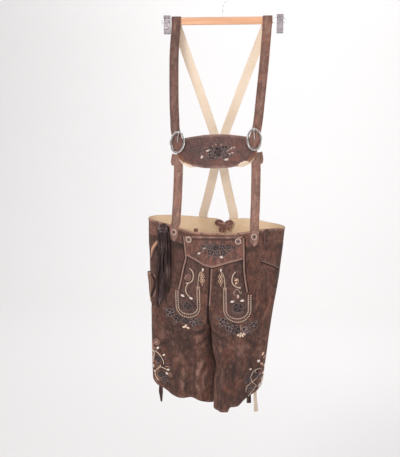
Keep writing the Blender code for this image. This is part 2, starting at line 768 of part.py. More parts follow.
# The route of each long strap: front X by height above the buckle, then the back's X by height.
Route = namedtuple("Route", "z x")
FRONT_ROUTE = {
    RIGHT: (Route(-0.110, -0.1380), Route(-0.212, -0.1425), Route(-0.328, -0.1405), Route(-0.401, -0.1360), Route(-0.449, -0.1275), Route(-0.4815, -0.1240)),
    LEFT: (Route(-0.110, 0.1305), Route(-0.212, 0.1245), Route(-0.327, 0.1155), Route(-0.398, 0.1095), Route(-0.437, 0.1035), Route(-0.4690, 0.1015)),
}
BUCKLE_Z = {RIGHT: -0.4510, LEFT: -0.4395}
BUCKLE_X = {RIGHT: -0.1262, LEFT: 0.1022}
BACK_END = {RIGHT: (-0.0520, -0.7440), LEFT: (0.0450, -0.7440)}
RING_GAP = 0.0130


def strap_depth(side, z):
    """How far the front strap stands before the plane of the straps: over the chest bar and the hinge rod."""
    drop = BUCKLE_Z[side] - z
    over_bar = 0.0074 * ease((0.060 + drop) / 0.022)
    over_rod = 0.0026 * (1 - ease((abs(drop) - 0.005) / 0.014))
    return over_bar + over_rod


def long_strap(side, who):
    """One strap from the buckle up the front, over the bar, and down the back to its button."""
    route = FRONT_ROUTE[side]
    points, normals = [], []
    low, top = route[-1].z, route[0].z
    near = [BUCKLE_Z[side] + d for d in (-0.019, -0.011, -0.004, 0.004, 0.011, 0.019, 0.032)]
    for z in [low, *near, *spread(BUCKLE_Z[side] + 0.046, top, 17)]:
        x = look_up(route, "z", "x", z)
        points.append(Vector((x, front_plane(z) - strap_depth(side, z), z)))
        normals.append(FRONT_OUT)
    corner_y, corner_z = BAR_DEPTH / 2 - BAR_ROUND, BAR_Z + BAR_HEIGHT / 2 - BAR_ROUND
    reach = BAR_ROUND + 0.0018
    x_top = route[0].x
    for y_sign in (-1, 1):
        for turn in spread(0, 90, 4):
            angle = math.radians(turn if y_sign < 0 else 90 - turn)
            points.append(Vector((x_top, y_sign * (corner_y + reach * math.cos(angle)), corner_z + reach * math.sin(angle))))
            normals.append(Vector((0, y_sign * math.cos(angle), math.sin(angle))))
    end_off, end_z = BACK_END[-side]
    behind = 0.0 if side == RIGHT else STRAP_THICK + 0.0004
    inward = 0.005 if side == LEFT else 0.0
    waist = on_back(end_off, -0.703, LIFT + STRAP_THICK / 2)
    route_back = [
        (x_top - inward, -0.114, 0.0),
        (mix(x_top, CROSS.x, 0.27) - inward, -0.213, 0.0),
        (mix(x_top, CROSS.x, 0.60) - inward / 2, -0.331, 0.0),
        (CROSS.x, CROSS.z, 0.0),
        (mix(CROSS.x, waist.x, 0.52), -0.595, 0.0),
        (waist.x, -0.690, 0.0),
    ]
    for p in smooth_path(route_back, 20):
        hump = behind * (1 - ease((abs(p.y - CROSS.z) - 0.078) / 0.050))
        points.append(Vector((p.x, mix(back_plane(p.y), waist.y, ease((-0.60 - p.y) / 0.09)) + hump, p.y)))
        normals.append(BACK_OUT)
    for z in (-0.703, -0.712, -0.722, -0.732, -0.740, end_z, end_z - 0.006, end_z - 0.011):
        points.append(on_back(end_off, z, LIFT + STRAP_THICK / 2))
        normals.append(normal_at(on_back, end_off, z))
    widths = [STRAP_WIDTH] * (len(points) - 3) + [0.024, 0.015, 0.004]
    loft(f"strap_{who}", ribbon_rings(points, normals, widths, STRAP_THICK), "brown_leather")


LOWER_ROUTE = {
    RIGHT: (Route(-0.492, -0.1245), Route(-0.533, -0.1240), Route(-0.610, -0.1255), Route(-0.690, -0.1290)),
    LEFT: (Route(-0.482, 0.1050), Route(-0.528, 0.1080), Route(-0.610, 0.1085), Route(-0.690, 0.1075)),
}
LOWER_END = {RIGHT: (-0.1170, -0.7370), LEFT: (0.1250, -0.7450)}


def lower_strap(side, who):
    """From behind the chest bar down to the waist button, ending in a pointed tab."""
    route = LOWER_ROUTE[side]
    off, end_z = LOWER_END[side]
    points = [Vector((look_up(route, "z", "x", z), front_plane(z), z)) for z in spread(route[0].z, route[-1].z, 12)]
    normals = [FRONT_OUT] * len(points)
    for z in (-0.706, -0.716, -0.726, end_z + 0.008, end_z, end_z - 0.006, end_z - 0.011):
        if z < points[-1].z - 0.004:
            points.append(on_front(off, z, LIFT + STRAP_THICK / 2))
            normals.append(normal_at(on_front, off, z))
    widths = [STRAP_WIDTH] * (len(points) - 3) + [0.024, 0.014, 0.004]
    loft(f"lower_strap_{who}", ribbon_rings(points, normals, widths, STRAP_THICK), "brown_leather")


def strap_tail(side, who):
    """The strap's free end, hanging behind the lower strap and showing at its outer edge."""
    x = LOWER_ROUTE[side][0].x + side * 0.0065
    top = LOWER_ROUTE[side][0].z + 0.004
    points = [
        Vector((x + side * 0.0015 * i, front_plane(z) + STRAP_THICK + 0.0005 + 0.0004 * i, z))
        for i, z in enumerate(spread(top, top - 0.034, 5))
    ]
    widths = [STRAP_WIDTH] * 3 + [0.026, 0.018]
    loft(f"strap_tail_{who}", ribbon_rings(points, [FRONT_OUT] * 5, widths, STRAP_THICK), "dark_leather")


# Chest bar outline: heights of its edges by share of the half length.
Bar = namedtuple("Bar", "share top bottom backing")
CHEST_BAR = (
    Bar(0.00, -0.4265, -0.5255, -0.5235),
    Bar(0.25, -0.4275, -0.5245, -0.5225),
    Bar(0.50, -0.4310, -0.5200, -0.5195),
    Bar(0.65, -0.4335, -0.5160, -0.5200),
    Bar(0.80, -0.4365, -0.5095, -0.5150),
    Bar(0.91, -0.4385, -0.4990, -0.5020),
    Bar(0.97, -0.4395, -0.4880, -0.4870),
    Bar(1.00, -0.4400, -0.4740, -0.4730),
)
CHEST_X, CHEST_HALF, CHEST_TILT = -0.0096, 0.1210, 0.029


def chest_place(x, z, depth):
    """A point this far before the plane of the front straps; the bar bows forward a little."""
    bow = 0.003 * (1 - ((x - CHEST_X) / CHEST_HALF) ** 2)
    return Vector((x, front_plane(z) - depth - bow, z))


def chest_bar():
    """The embroidered bar across the chest and the pale backing that shows under its lower edge."""
    ends = [row.share for row in CHEST_BAR]
    shares = [-s for s in reversed(ends)] + [s for s in ends[1:]]
    fine = sorted(set(shares + [-0.37, 0.37, -0.12, 0.12]))
    for name, bottom, depths, slot in (
        ("chest_bar", "bottom", (0.0030, 0.0050), "brown_leather"),
        ("chest_backing", "backing", (0.0015, 0.0027), "cream_leather"),
    ):
        rows = []
        for run in spread(0.0, 1.0, 5):
            row = []
            for share in fine:
                x = CHEST_X + share * CHEST_HALF
                tilt = CHEST_TILT * share * CHEST_HALF
                top = look_up(CHEST_BAR, "share", "top", abs(share)) + tilt
                low = look_up(CHEST_BAR, "share", bottom, abs(share)) + tilt
                row.append((x, mix(top, low, run)))
            rows.append(row)
        wall(name, rows, chest_place, *depths, slot)


RING_HALF_X, RING_HALF_Z = 0.0228, 0.0330
RING_TILT = {RIGHT: math.radians(7), LEFT: math.radians(-4)}


def buckle(side, who):
    """An oval cast ring with a hinge rod across its middle, and a tongue that rests on its top."""
    turn = Matrix.Rotation(RING_TILT[side], 3, "Y")
    centre = Vector((BUCKLE_X[side], front_plane(BUCKLE_Z[side]) - RING_GAP, BUCKLE_Z[side]))
    lean = math.atan(CHEST_SLOPE)
    slope = Matrix.Rotation(-lean, 3, "X")

    def put(x, y, z):
        return centre + slope @ (turn @ Vector((x, y, z)))

    width, thick = 0.0062, 0.0030
    profile = ((-0.5, -0.2), (-0.3, -0.5), (0.3, -0.5), (0.5, -0.2), (0.5, 0.35), (-0.5, 0.35))
    rings = []
    for step in range(28):
        angle = 2 * math.pi * step / 28
        c, s = math.cos(angle), math.sin(angle)
        rings.append([put((RING_HALF_X + a * width - width / 2) * c, b * thick, (RING_HALF_Z + a * width - width / 2) * s) for a, b in profile])
    ring = loft(f"buckle_{who}", rings, "antique_silver", closed=True, sharp=50)
    route = ((0.0197, 0.0), (0.0188, 0.0036), (0.0162, 0.0054), (0.0, 0.0054))
    route = [(-x, y) for x, y in route] + [(x, y) for x, y in route[-2::-1]]
    rod = round_bar(f"buckle_rod_{who}", [put(x, y, 0.0) for x, y in route], 0.0009, "antique_silver", 6)
    combine(ring, rod, "UNION")
    tip = [put(0.0, -0.0006, 0.003), put(0.0, -0.0016, 0.014), put(0.0, -0.0028, 0.0245), put(0.0, -0.0029, RING_HALF_Z + 0.0005)]
    round_bar(f"buckle_tongue_{who}", smooth_path(tip, 6), 0.0010, "antique_silver", 6)


def cross_patch():
    """The leather patch sewn behind the braces where they cross."""
    y = back_plane(CROSS.z) + 2 * STRAP_THICK - 0.0001

    def place(x, z, lift):
        return Vector((CROSS.x + x, y + lift + 0.1270 * (CROSS.z - z), z))

    rows = []
    for run in spread(-1.0, 1.0, 7):
        half = 0.024 * (1 - 0.45 * abs(run)) * (1 if abs(run) < 1 else 0.9)
        rows.append([(x, CROSS.z - run * 0.032) for x in spread(-half, half, 4)])
    wall("cross_patch", rows, place, 0.0, LEATHER, "dark_leather")


# ---------------------------------------------------------------- laces and ties
def lace(name, points, widths, thick, slot, count=16, normals=None):
    """A flat leather lace along a smooth curve."""
    line = smooth_path(points, count)
    steps = spread(0.0, 1.0, count)
    if normals is None:
        normals = [Vector((0, -1, 0))] * 2
    faces = [normals[0].lerp(normals[1], s).normalized() for s in steps]
    return loft(name, ribbon_rings(line, faces, [mix(*widths, s) for s in steps], thick), slot)


# The laces of the bundle: distances from the centre line at top and end, end height, width, layer.
Strand = namedtuple("Strand", "top_off end_off end_z width layer")
STRANDS = (
    Strand(-0.1590, -0.1790, -0.9640, 0.0120, 0),
    Strand(-0.1475, -0.1640, -0.9560, 0.0105, 1),
    Strand(-0.1360, -0.1500, -0.9420, 0.0115, 0),
    Strand(-0.1530, -0.1720, -0.9300, 0.0110, 2),
    Strand(-0.1400, -0.1400, -0.9150, 0.0110, 2),
    Strand(-0.1330, -0.1310, -0.8900, 0.0100, 1),
)


def lace_bundle():
    """Dark knee laces hung in a bundle: a folded band over the right front belt loop, and six laces below it."""
    heights, widths = spread(-0.7000, -0.7240, 4), (0.030, 0.034, 0.034, 0.032)
    facing = normal_at(on_front, -0.1475, -0.712)
    points = [on_front(-0.1475, z, 0.0095) for z in heights]
    band = loft("lace_bundle", ribbon_rings(points, [facing] * 4, widths, 0.0080), "dark_leather")
    for i, strand in enumerate(STRANDS):
        points, normals = [], []
        for run in spread(0.0, 1.0, 8):
            z = mix(-0.7170, strand.end_z, run)
            off = mix(strand.top_off, strand.end_off, run**1.3) + 0.0016 * math.sin(8 * run + 2.1 * i)
            lift = mix(0.0068, 0.0040, ease(4 * run)) + 0.0030 * (2 - strand.layer) + 0.0004 * math.sin(5 * run + i)
            points.append(on_front(off, z, lift))
        for run in spread(0.0, 1.0, 10):
            normals.append(normal_at(on_front, mix(strand.top_off, strand.end_off, run), mix(-0.7150, strand.end_z, run)))
        rings = ribbon_rings(smooth_path(points, 10), normals, [strand.width] * 9 + [strand.width * 0.7], 0.0020)
        combine(band, loft(f"bundle_strand_{i}", rings, "dark_leather"), "UNION")


def hem_ties():
    """Lace ends hanging out of the slit at each hem."""
    inside = -LEATHER - 0.0031
    ties = (
        ("hem_tie_right", -0.1755, -1.208, [(-0.001, -1.258), (0.0005, -1.294)], (0.0100, 0.0035), "dark_leather"),
        ("hem_tie_left", 0.1330, -1.206, [(0.0005, -1.250), (0.0025, -1.275), (0.0040, -1.298)], (0.0070, 0.0140), "cream_leather"),
    )
    for name, off, top, below, widths, slot in ties:
        points = [on_front(off, z, inside) for z in (top, top - 0.012)]
        hang = on_front(off, top - 0.020, inside - 0.0010)
        points += [Vector((hang.x + x, hang.y, z)) for x, z in below]
        lace(name, points, widths, 0.0020, slot, 9, [normal_at(on_front, off, top)] * 2)
    points = [on_front(0.1165, z, -LEATHER - 0.0050) for z in (-1.222, -1.245, -1.268)]
    lace("hem_knot_left", points, (0.0100, 0.0130), 0.0056, "dark_leather", 6, [normal_at(on_front, 0.1165, -1.222)] * 2)


def back_lacing():
    """The lace that draws the notch together: a cross outside, and its bow on the inside."""
    for name, ends, lift in (
        ("back_lace", ((-0.024, -0.722), (0.030, -0.744)), LIFT + 0.0008),
        ("back_lace_over", ((-0.024, -0.744), (0.030, -0.722)), LIFT + 0.0028),
    ):
        rows = [
            [(mix(ends[0][0], ends[1][0], run), mix(ends[0][1], ends[1][1], run) + half) for half in (-0.003, 0.003)]
            for run in spread(0.0, 1.0, 8)
        ]
        wall(name, rows, on_back, lift - 0.0008, lift + 0.0008, "dark_leather")
    centre = on_back(NOTCH_OFF + 0.002, -0.7230, -LEATHER - 0.0064)
    knot = lace("back_bow", [centre + Vector((-0.007, 0, 0.0)), centre, centre + Vector((0.007, 0, -0.001))], (0.010, 0.010), 0.0070, "brown_leather", 5)
    shapes = (
        [(0.004, 0.0), (-0.012, 0.013), (-0.023, 0.012), (-0.024, 0.001), (-0.012, -0.003), (0.002, -0.001)],
        [(-0.004, 0.0), (0.010, 0.012), (0.024, 0.015), (0.026, 0.004), (0.014, -0.002), (-0.002, -0.001)],
        [(0.0, 0.0), (-0.008, -0.012), (-0.012, -0.026)],
        [(0.0, 0.0), (0.012, -0.008), (0.020, -0.018)],
    )
    for i, shape in enumerate(shapes):
        points = [centre + Vector((x, -0.0003 * k - 0.0004 * i, z)) for k, (x, z) in enumerate(shape)]
        line = smooth_path(points, 9 if i < 2 else 4)
        rings = ribbon_rings(line, [Vector((0.0, -0.35, 0.95)) if i < 2 else Vector((0, -1, 0))] * len(line), [0.0065] * len(line), 0.0018)
        combine(knot, loft(f"bow_piece_{i}", rings, "brown_leather"), "UNION")


def inner_tab():
    """The small button tab that stands up behind the front waistband."""
    rows = [[(off, z) for off in (-0.0560, -0.0500, -0.0440)] for z in spread(-0.7060, -0.7360, 4)]
    wall("inner_tab", rows, on_front, -LEATHER - 0.0026, -LEATHER - 0.0008, "brown_leather")


# ---------------------------------------------------------------- hanger
def hanger():
    """A wooden bar with a swivel hook and, at each end, a wire loop that carries a spring clip."""
    bpy.ops.mesh.primitive_cube_add(size=1.0, location=(0, 0, BAR_Z))
    bar = bpy.context.object
    bar.name = "hanger_bar"
    bar.scale = (2 * BAR_HALF, BAR_DEPTH, BAR_HEIGHT)
    bpy.ops.object.transform_apply(location=False, rotation=False, scale=True)
    bevel = bar.modifiers.new("rounded edges", "BEVEL")
    bevel.width, bevel.segments = BAR_ROUND, 3
    bar.data.materials.append(material("hanger_bar", "beech"))

    hook_centre = -HOOK_RADIUS + HOOK_WIRE
    arc = [math.radians(a) for a in spread(196, -48, 22)]
    points = [(HOOK_RADIUS * math.cos(a), 0, hook_centre + HOOK_RADIUS * math.sin(a)) for a in arc]
    points += [(0.0085, 0, -0.0455), (0.0030, 0, -0.0515), (0.0, 0, -0.0600), (0, 0, -0.078), (0, 0, BAR_Z)]
    round_bar("hanger_hook", smooth_path(points, 30), HOOK_WIRE, "steel", 8)
    bpy.ops.mesh.primitive_cylinder_add(radius=HOOK_WIRE + 0.0005, depth=0.030, location=(0, 0, BAR_Z + 0.0145), vertices=12)
    combine(bar, bpy.context.object, "DIFFERENCE")

    for side, who in SIDES.items():
        inside, bend = side * (BAR_HALF - 0.018), ROD_REACH - ROD_SPREAD - ROD
        loop = [(inside, 0, BAR_Z + ROD_SPREAD), (side * 0.160, 0, BAR_Z + ROD_SPREAD)]
        for turn in spread(90, -90, 9):
            a = math.radians(turn)
            loop.append((side * (bend + ROD_SPREAD * math.cos(a)), 0, BAR_Z + ROD_SPREAD * math.sin(a)))
        loop += [(side * 0.160, 0, BAR_Z - ROD_SPREAD), (inside, 0, BAR_Z - ROD_SPREAD)]
        round_bar(f"hanger_wire_{who}", loop, ROD, "steel", 8)
        for sign in (-1, 1):
            bpy.ops.mesh.primitive_cylinder_add(
                radius=ROD + 0.0005,
                depth=0.044,
                location=(side * BAR_HALF, 0, BAR_Z + sign * ROD_SPREAD),
                rotation=(0, math.pi / 2, 0),
                vertices=10,
            )
            combine(bar, bpy.context.object, "DIFFERENCE")
        clip(side, who)


CLIP_PROFILE = (
    (-0.0078, 0.0170),
    (-0.0062, 0.0120),
    (-0.0026, 0.0070),
    (-0.0026, -0.0110),
    (-0.0044, -0.0220),
    (-0.0036, -0.0330),
    (-0.00085, -0.0368),
)


def clip(side, who):
    """Two sprung steel jaws on a barrel that sits between the runs of the wire loop."""
    x0, x1 = side * CLIP_X - CLIP_WIDTH / 2, side * CLIP_X + CLIP_WIDTH / 2
    thick = 0.0011
    jaws = []
    for face in (-1, 1):
        rings = []
        for i, (y, z) in enumerate(CLIP_PROFILE):
            before, after = CLIP_PROFILE[max(0, i - 1)], CLIP_PROFILE[min(len(CLIP_PROFILE) - 1, i + 1)]
            along = Vector((after[0] - before[0], after[1] - before[1])).normalized()
            n = Vector((-along.y, along.x)) * thick / 2
            pair = [(y + n.x, z + n.y), (y - n.x, z - n.y)]
            rings.append([Vector((x, -face * yy, BAR_Z + zz)) for x, (yy, zz) in ((x0, pair[0]), (x1, pair[0]), (x1, pair[1]), (x0, pair[1]))])
        jaws.append(loft(f"clip_{who}" if face < 0 else f"clip_jaw_{who}", rings, "steel"))
    barrel = round_bar(f"clip_barrel_{who}", [(x, 0, BAR_Z) for x in (x0 + 0.002, (x0 + x1) / 2, x1 - 0.002)], 0.0050, "steel", 12)
    combine(jaws[0], barrel, "UNION")
    combine(jaws[0], jaws[1], "UNION")


# ---------------------------------------------------------------- build
def gather(name):
    """Parents every piece made since the last call to an empty, so that the group moves as one."""
    empty = bpy.data.objects.new(f"{name}_group", None)
    pieces = [obj for obj in bpy.data.objects if obj.parent is None and obj.type == "MESH"]
    bpy.context.scene.collection.objects.link(empty)
    for obj in pieces:
        obj.parent = empty


def main():
    for obj in list(bpy.data.objects):
        bpy.data.objects.remove(obj)
    hanger()
    gather("hanger")
    for side, who in SIDES.items():
        long_strap(side, who)
        lower_strap(side, who)
        strap_tail(side, who)
        buckle(side, who)
    chest_bar()
    cross_patch()
    gather("braces")
    leg_panels()
    waistbands()
    gusset()
    drop_front()
    buttons()
    pocket_welts()
    knife_pocket()
    belt_loops()
    back_lacing()
    lace_bundle()
    hem_ties()
    inner_tab()
    gather("shorts")


main()
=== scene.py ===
# %% [markdown]
# # Lederhosen on a clip hanger
# Leather breeches hang by their braces from a wooden hanger. The frame holds the true solids. This
# lesson dresses them: fine leather shells with soft creases, thread, horn, silver, steel and wood. All sizes
# are in metres, +Z is up, and the front of the breeches faces -Y.

# %% Load the frame
import json
import math
from collections import namedtuple
from functools import lru_cache, partial

import bmesh
import bpy
from mathutils import Matrix, Vector, noise

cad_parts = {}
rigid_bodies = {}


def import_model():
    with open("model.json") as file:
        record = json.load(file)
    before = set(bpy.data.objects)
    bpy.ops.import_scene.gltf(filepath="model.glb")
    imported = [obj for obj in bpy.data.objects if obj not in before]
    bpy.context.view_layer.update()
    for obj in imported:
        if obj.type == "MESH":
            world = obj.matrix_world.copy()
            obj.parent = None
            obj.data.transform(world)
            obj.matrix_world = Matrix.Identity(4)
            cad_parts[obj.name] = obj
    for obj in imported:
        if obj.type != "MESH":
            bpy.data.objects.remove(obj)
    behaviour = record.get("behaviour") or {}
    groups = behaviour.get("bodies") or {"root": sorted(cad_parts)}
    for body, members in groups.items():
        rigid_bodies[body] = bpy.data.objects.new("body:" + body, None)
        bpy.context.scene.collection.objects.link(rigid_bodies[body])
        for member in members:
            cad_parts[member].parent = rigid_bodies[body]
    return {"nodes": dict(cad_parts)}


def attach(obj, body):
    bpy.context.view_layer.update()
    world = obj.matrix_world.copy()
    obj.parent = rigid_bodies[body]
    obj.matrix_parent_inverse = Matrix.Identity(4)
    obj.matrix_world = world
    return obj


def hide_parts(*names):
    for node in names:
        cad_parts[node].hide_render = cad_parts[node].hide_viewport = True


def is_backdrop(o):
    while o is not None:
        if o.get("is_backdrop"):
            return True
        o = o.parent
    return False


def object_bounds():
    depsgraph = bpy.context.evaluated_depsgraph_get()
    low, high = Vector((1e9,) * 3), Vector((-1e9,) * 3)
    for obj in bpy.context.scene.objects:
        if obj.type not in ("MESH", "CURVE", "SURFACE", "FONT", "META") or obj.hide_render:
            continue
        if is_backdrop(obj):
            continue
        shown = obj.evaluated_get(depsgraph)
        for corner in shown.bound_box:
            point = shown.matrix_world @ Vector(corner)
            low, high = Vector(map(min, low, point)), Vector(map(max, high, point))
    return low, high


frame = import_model()
cad_box = [list(corner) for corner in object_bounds()]
print("solids in the frame:", len(frame["nodes"]))
print("box of the solids:", cad_box)

# %% [markdown]
# ## Camera, light and floor
# A long lens from a little above, turned slightly to one side, shows the garment with hardly any taper.
# The light has to be soft, so that the nap of the leather shows and no fold throws a hard shadow. One big
# panel at the front and left does most of it, a second fills the right side, and a pale room does the rest.

# %% Camera
AZIMUTH, ELEVATION, DISTANCE = math.radians(9.0), math.radians(11.4), 2.361
look_at = Vector((-0.068, 0.0, -0.7217))
level = math.cos(ELEVATION)
away = Vector((math.sin(AZIMUTH) * level, -math.cos(AZIMUTH) * level, math.sin(ELEVATION)))
lens = bpy.data.cameras.new("camera")
lens.lens, lens.sensor_width = 60.0, 36.0
camera = bpy.data.objects.new("camera", lens)
camera.location = look_at + DISTANCE * away
camera.rotation_mode = "QUATERNION"
camera.rotation_quaternion = away.to_track_quat("Z", "Y")
bpy.context.scene.collection.objects.link(camera)
bpy.context.scene.camera = camera
print("camera stands at", tuple(round(c, 3) for c in camera.location))


# %% Soft lights and a pale room
def soft_light(name, where, size, watts, tint=(1.0, 1.0, 1.0), facing=None):
    """A square panel light that faces the garment, or another point."""
    data = bpy.data.lights.new(name, "AREA")
    data.shape, data.size, data.energy, data.color = "SQUARE", size, watts, tint
    light = bpy.data.objects.new(name, data)
    light.location = where
    light.rotation_mode = "QUATERNION"
    light.rotation_quaternion = (Vector(where) - Vector(facing or look_at)).to_track_quat("Z", "Y")
    bpy.context.scene.collection.objects.link(light)


soft_light("light_front", (-1.6, -2.6, 0.9), 1.3, 65, (1.0, 0.985, 0.965))
soft_light("light_side", (2.4, -1.4, 0.2), 1.6, 26, (0.96, 0.98, 1.0))
soft_light("light_low", (-0.4, -2.3, -1.75), 1.5, 20)
soft_light("light_back", (0.6, 2.2, 1.0), 1.8, 20)
soft_light("light_wall", (0.0, 2.6, 1.6), 3.0, 65, (1.0, 1.0, 1.0), (0.0, 5.5, 0.2))
room = bpy.data.worlds.new("pale room")
room.use_nodes = True
room.node_tree.nodes["Background"].inputs["Color"].default_value = (0.95, 0.945, 0.95, 1.0)
room.node_tree.nodes["Background"].inputs["Strength"].default_value = 0.8
bpy.context.scene.world = room
bpy.context.scene.view_settings.view_transform = "Standard"

# %% Pale cove
# The floor curves up into the wall behind, as studio paper does, so no line crosses the front view.
FLOOR_Z, FLOOR_HALF, WALL_Y, BEND, WALL_TOP = -2.05, 9.0, 5.5, 2.2, 7.0
outline = [(-FLOOR_HALF, FLOOR_Z), (WALL_Y - BEND, FLOOR_Z)]
outline += [(WALL_Y - BEND + BEND * math.sin(t), FLOOR_Z + BEND * (1 - math.cos(t))) for t in [
    math.radians(6 * k) for k in range(1, 16)
]]
outline.append((WALL_Y, WALL_TOP))
paper = bpy.data.meshes.new("floor")
points = [(x, y, z) for y, z in outline for x in (-FLOOR_HALF, FLOOR_HALF)]
paper.from_pydata(points, [], [(2 * i, 2 * i + 1, 2 * i + 3, 2 * i + 2) for i in range(len(outline) - 1)])
paper.shade_smooth()
floor = bpy.data.objects.new("floor", paper)
bpy.context.scene.collection.objects.link(floor)
paint = bpy.data.materials.new("pale paper")
paint.use_nodes = True
paint.node_tree.nodes["Principled BSDF"].inputs["Base Color"].default_value = (0.765, 0.752, 0.752, 1.0)
paint.node_tree.nodes["Principled BSDF"].inputs["Roughness"].default_value = 0.95
paper.materials.append(paint)
floor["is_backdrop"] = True
print("floor at", FLOOR_Z, "and wall at", WALL_Y)


# %% [markdown]
# ## Materials
# Real nubuck has no one colour: oil and wear leave soft darker and redder clouds, ridges rub pale, and a fine
# nap scatters light along the edges. Flat colours would look like plastic. Each finish here mixes noises of
# several sizes in object space, so no unwrapping is needed, and a number painted on the mesh lets the
# modelling say where a ridge is rubbed and lit (+, real wear and painted highlight) or a trough is grimy and
# shaded (-, real grime and painted shade). Fine wrinkle lines are darkened as painted shade.


# %% Small helpers for node trees
def blank_material(name):
    """A new material, its tree and its Principled shader."""
    made = bpy.data.materials.new(name)
    made.use_nodes = True
    tree = made.node_tree
    return made, tree, tree.nodes["Principled BSDF"]


def set_inputs(node, values):
    for key, value in values.items():
        node.inputs[key].default_value = value


def add_node(tree, kind, **settings):
    """A node with some of its settings or input values set by name."""
    node = tree.nodes.new(kind)
    for key, value in settings.items():
        if hasattr(node, key):
            setattr(node, key, value)
        else:
            node.inputs[key].default_value = value
    return node


def noise_at(tree, scale, detail=4.0, stretch=(1, 1, 1), roughness=0.55):
    """Noise in object space; stretch squeezes the coordinates, so a small number makes long streaks."""
    where = add_node(tree, "ShaderNodeTexCoord")
    squeeze = add_node(tree, "ShaderNodeMapping")
    squeeze.inputs["Scale"].default_value = stretch
    cloud = add_node(tree, "ShaderNodeTexNoise", Scale=scale, Detail=detail, Roughness=roughness)
    tree.links.new(where.outputs["Object"], squeeze.inputs["Vector"])
    tree.links.new(squeeze.outputs["Vector"], cloud.inputs["Vector"])
    return cloud.outputs["Fac"]


def steps(tree, value, low, high):
    """Spreads the part of a value between low and high over 0 to 1."""
    node = add_node(tree, "ShaderNodeMapRange")
    set_inputs(node, {"From Min": low, "From Max": high})
    node.interpolation_type = "SMOOTHSTEP"
    tree.links.new(value, node.inputs["Value"])
    return node.outputs["Result"]


def times(tree, value, by):
    node = add_node(tree, "ShaderNodeMath", operation="MULTIPLY")
    tree.links.new(value, node.inputs[0])
    if isinstance(by, (int, float)):
        node.inputs[1].default_value = by
    else:
        tree.links.new(by, node.inputs[1])
    return node.outputs["Value"]


def blend_colours(tree, share, under, over, mode="MIX"):
    """Mixes two colours, each a socket or an (r, g, b), by a share that is a socket or a number."""
    node = add_node(tree, "ShaderNodeMix", data_type="RGBA", blend_type=mode)
    for value, socket in ((share, node.inputs[0]), (under, node.inputs[6]), (over, node.inputs[7])):
        if isinstance(value, bpy.types.NodeSocket):
            tree.links.new(value, socket)
        elif isinstance(value, (int, float)):
            socket.default_value = value
        else:
            socket.default_value = (*value, 1.0)
    return node.outputs[2]


def wear_and_light_shares(tree):
    """Two shares from the number painted on the mesh: rubbed and lit (real wear, painted highlight), grimy
    and shaded (real grime, painted shade).
    """
    wear_and_light = add_node(tree, "ShaderNodeAttribute", attribute_name="wear").outputs["Fac"]
    return steps(tree, wear_and_light, 0.05, 1.0), steps(tree, times(tree, wear_and_light, -1.0), 0.05, 1.0)


def raise_bump(tree, shader, heights):
    """Chains bumps of (height socket, strength, distance) into the shader's normal."""
    before = None
    for height, strength, distance in heights:
        node = add_node(tree, "ShaderNodeBump", Strength=strength, Distance=distance)
        tree.links.new(height, node.inputs["Height"])
        if before is not None:
            tree.links.new(before, node.inputs["Normal"])
        before = node.outputs["Normal"]
    tree.links.new(before, shader.inputs["Normal"])


# %% Nubuck, the napped outside of the leather
def veins(tree, scale, thin, stretch):
    """1 along a net of fine wrinkle lines and 0 between them: the places where a noise crosses its middle."""
    gap = add_node(tree, "ShaderNodeMath", operation="SUBTRACT")
    tree.links.new(noise_at(tree, scale, 3.0, stretch, 0.6), gap.inputs[0])
    gap.inputs[1].default_value = 0.5
    size = add_node(tree, "ShaderNodeMath", operation="ABSOLUTE")
    tree.links.new(gap.outputs["Value"], size.inputs[0])
    return steps(tree, size.outputs["Value"], thin, 0.0)


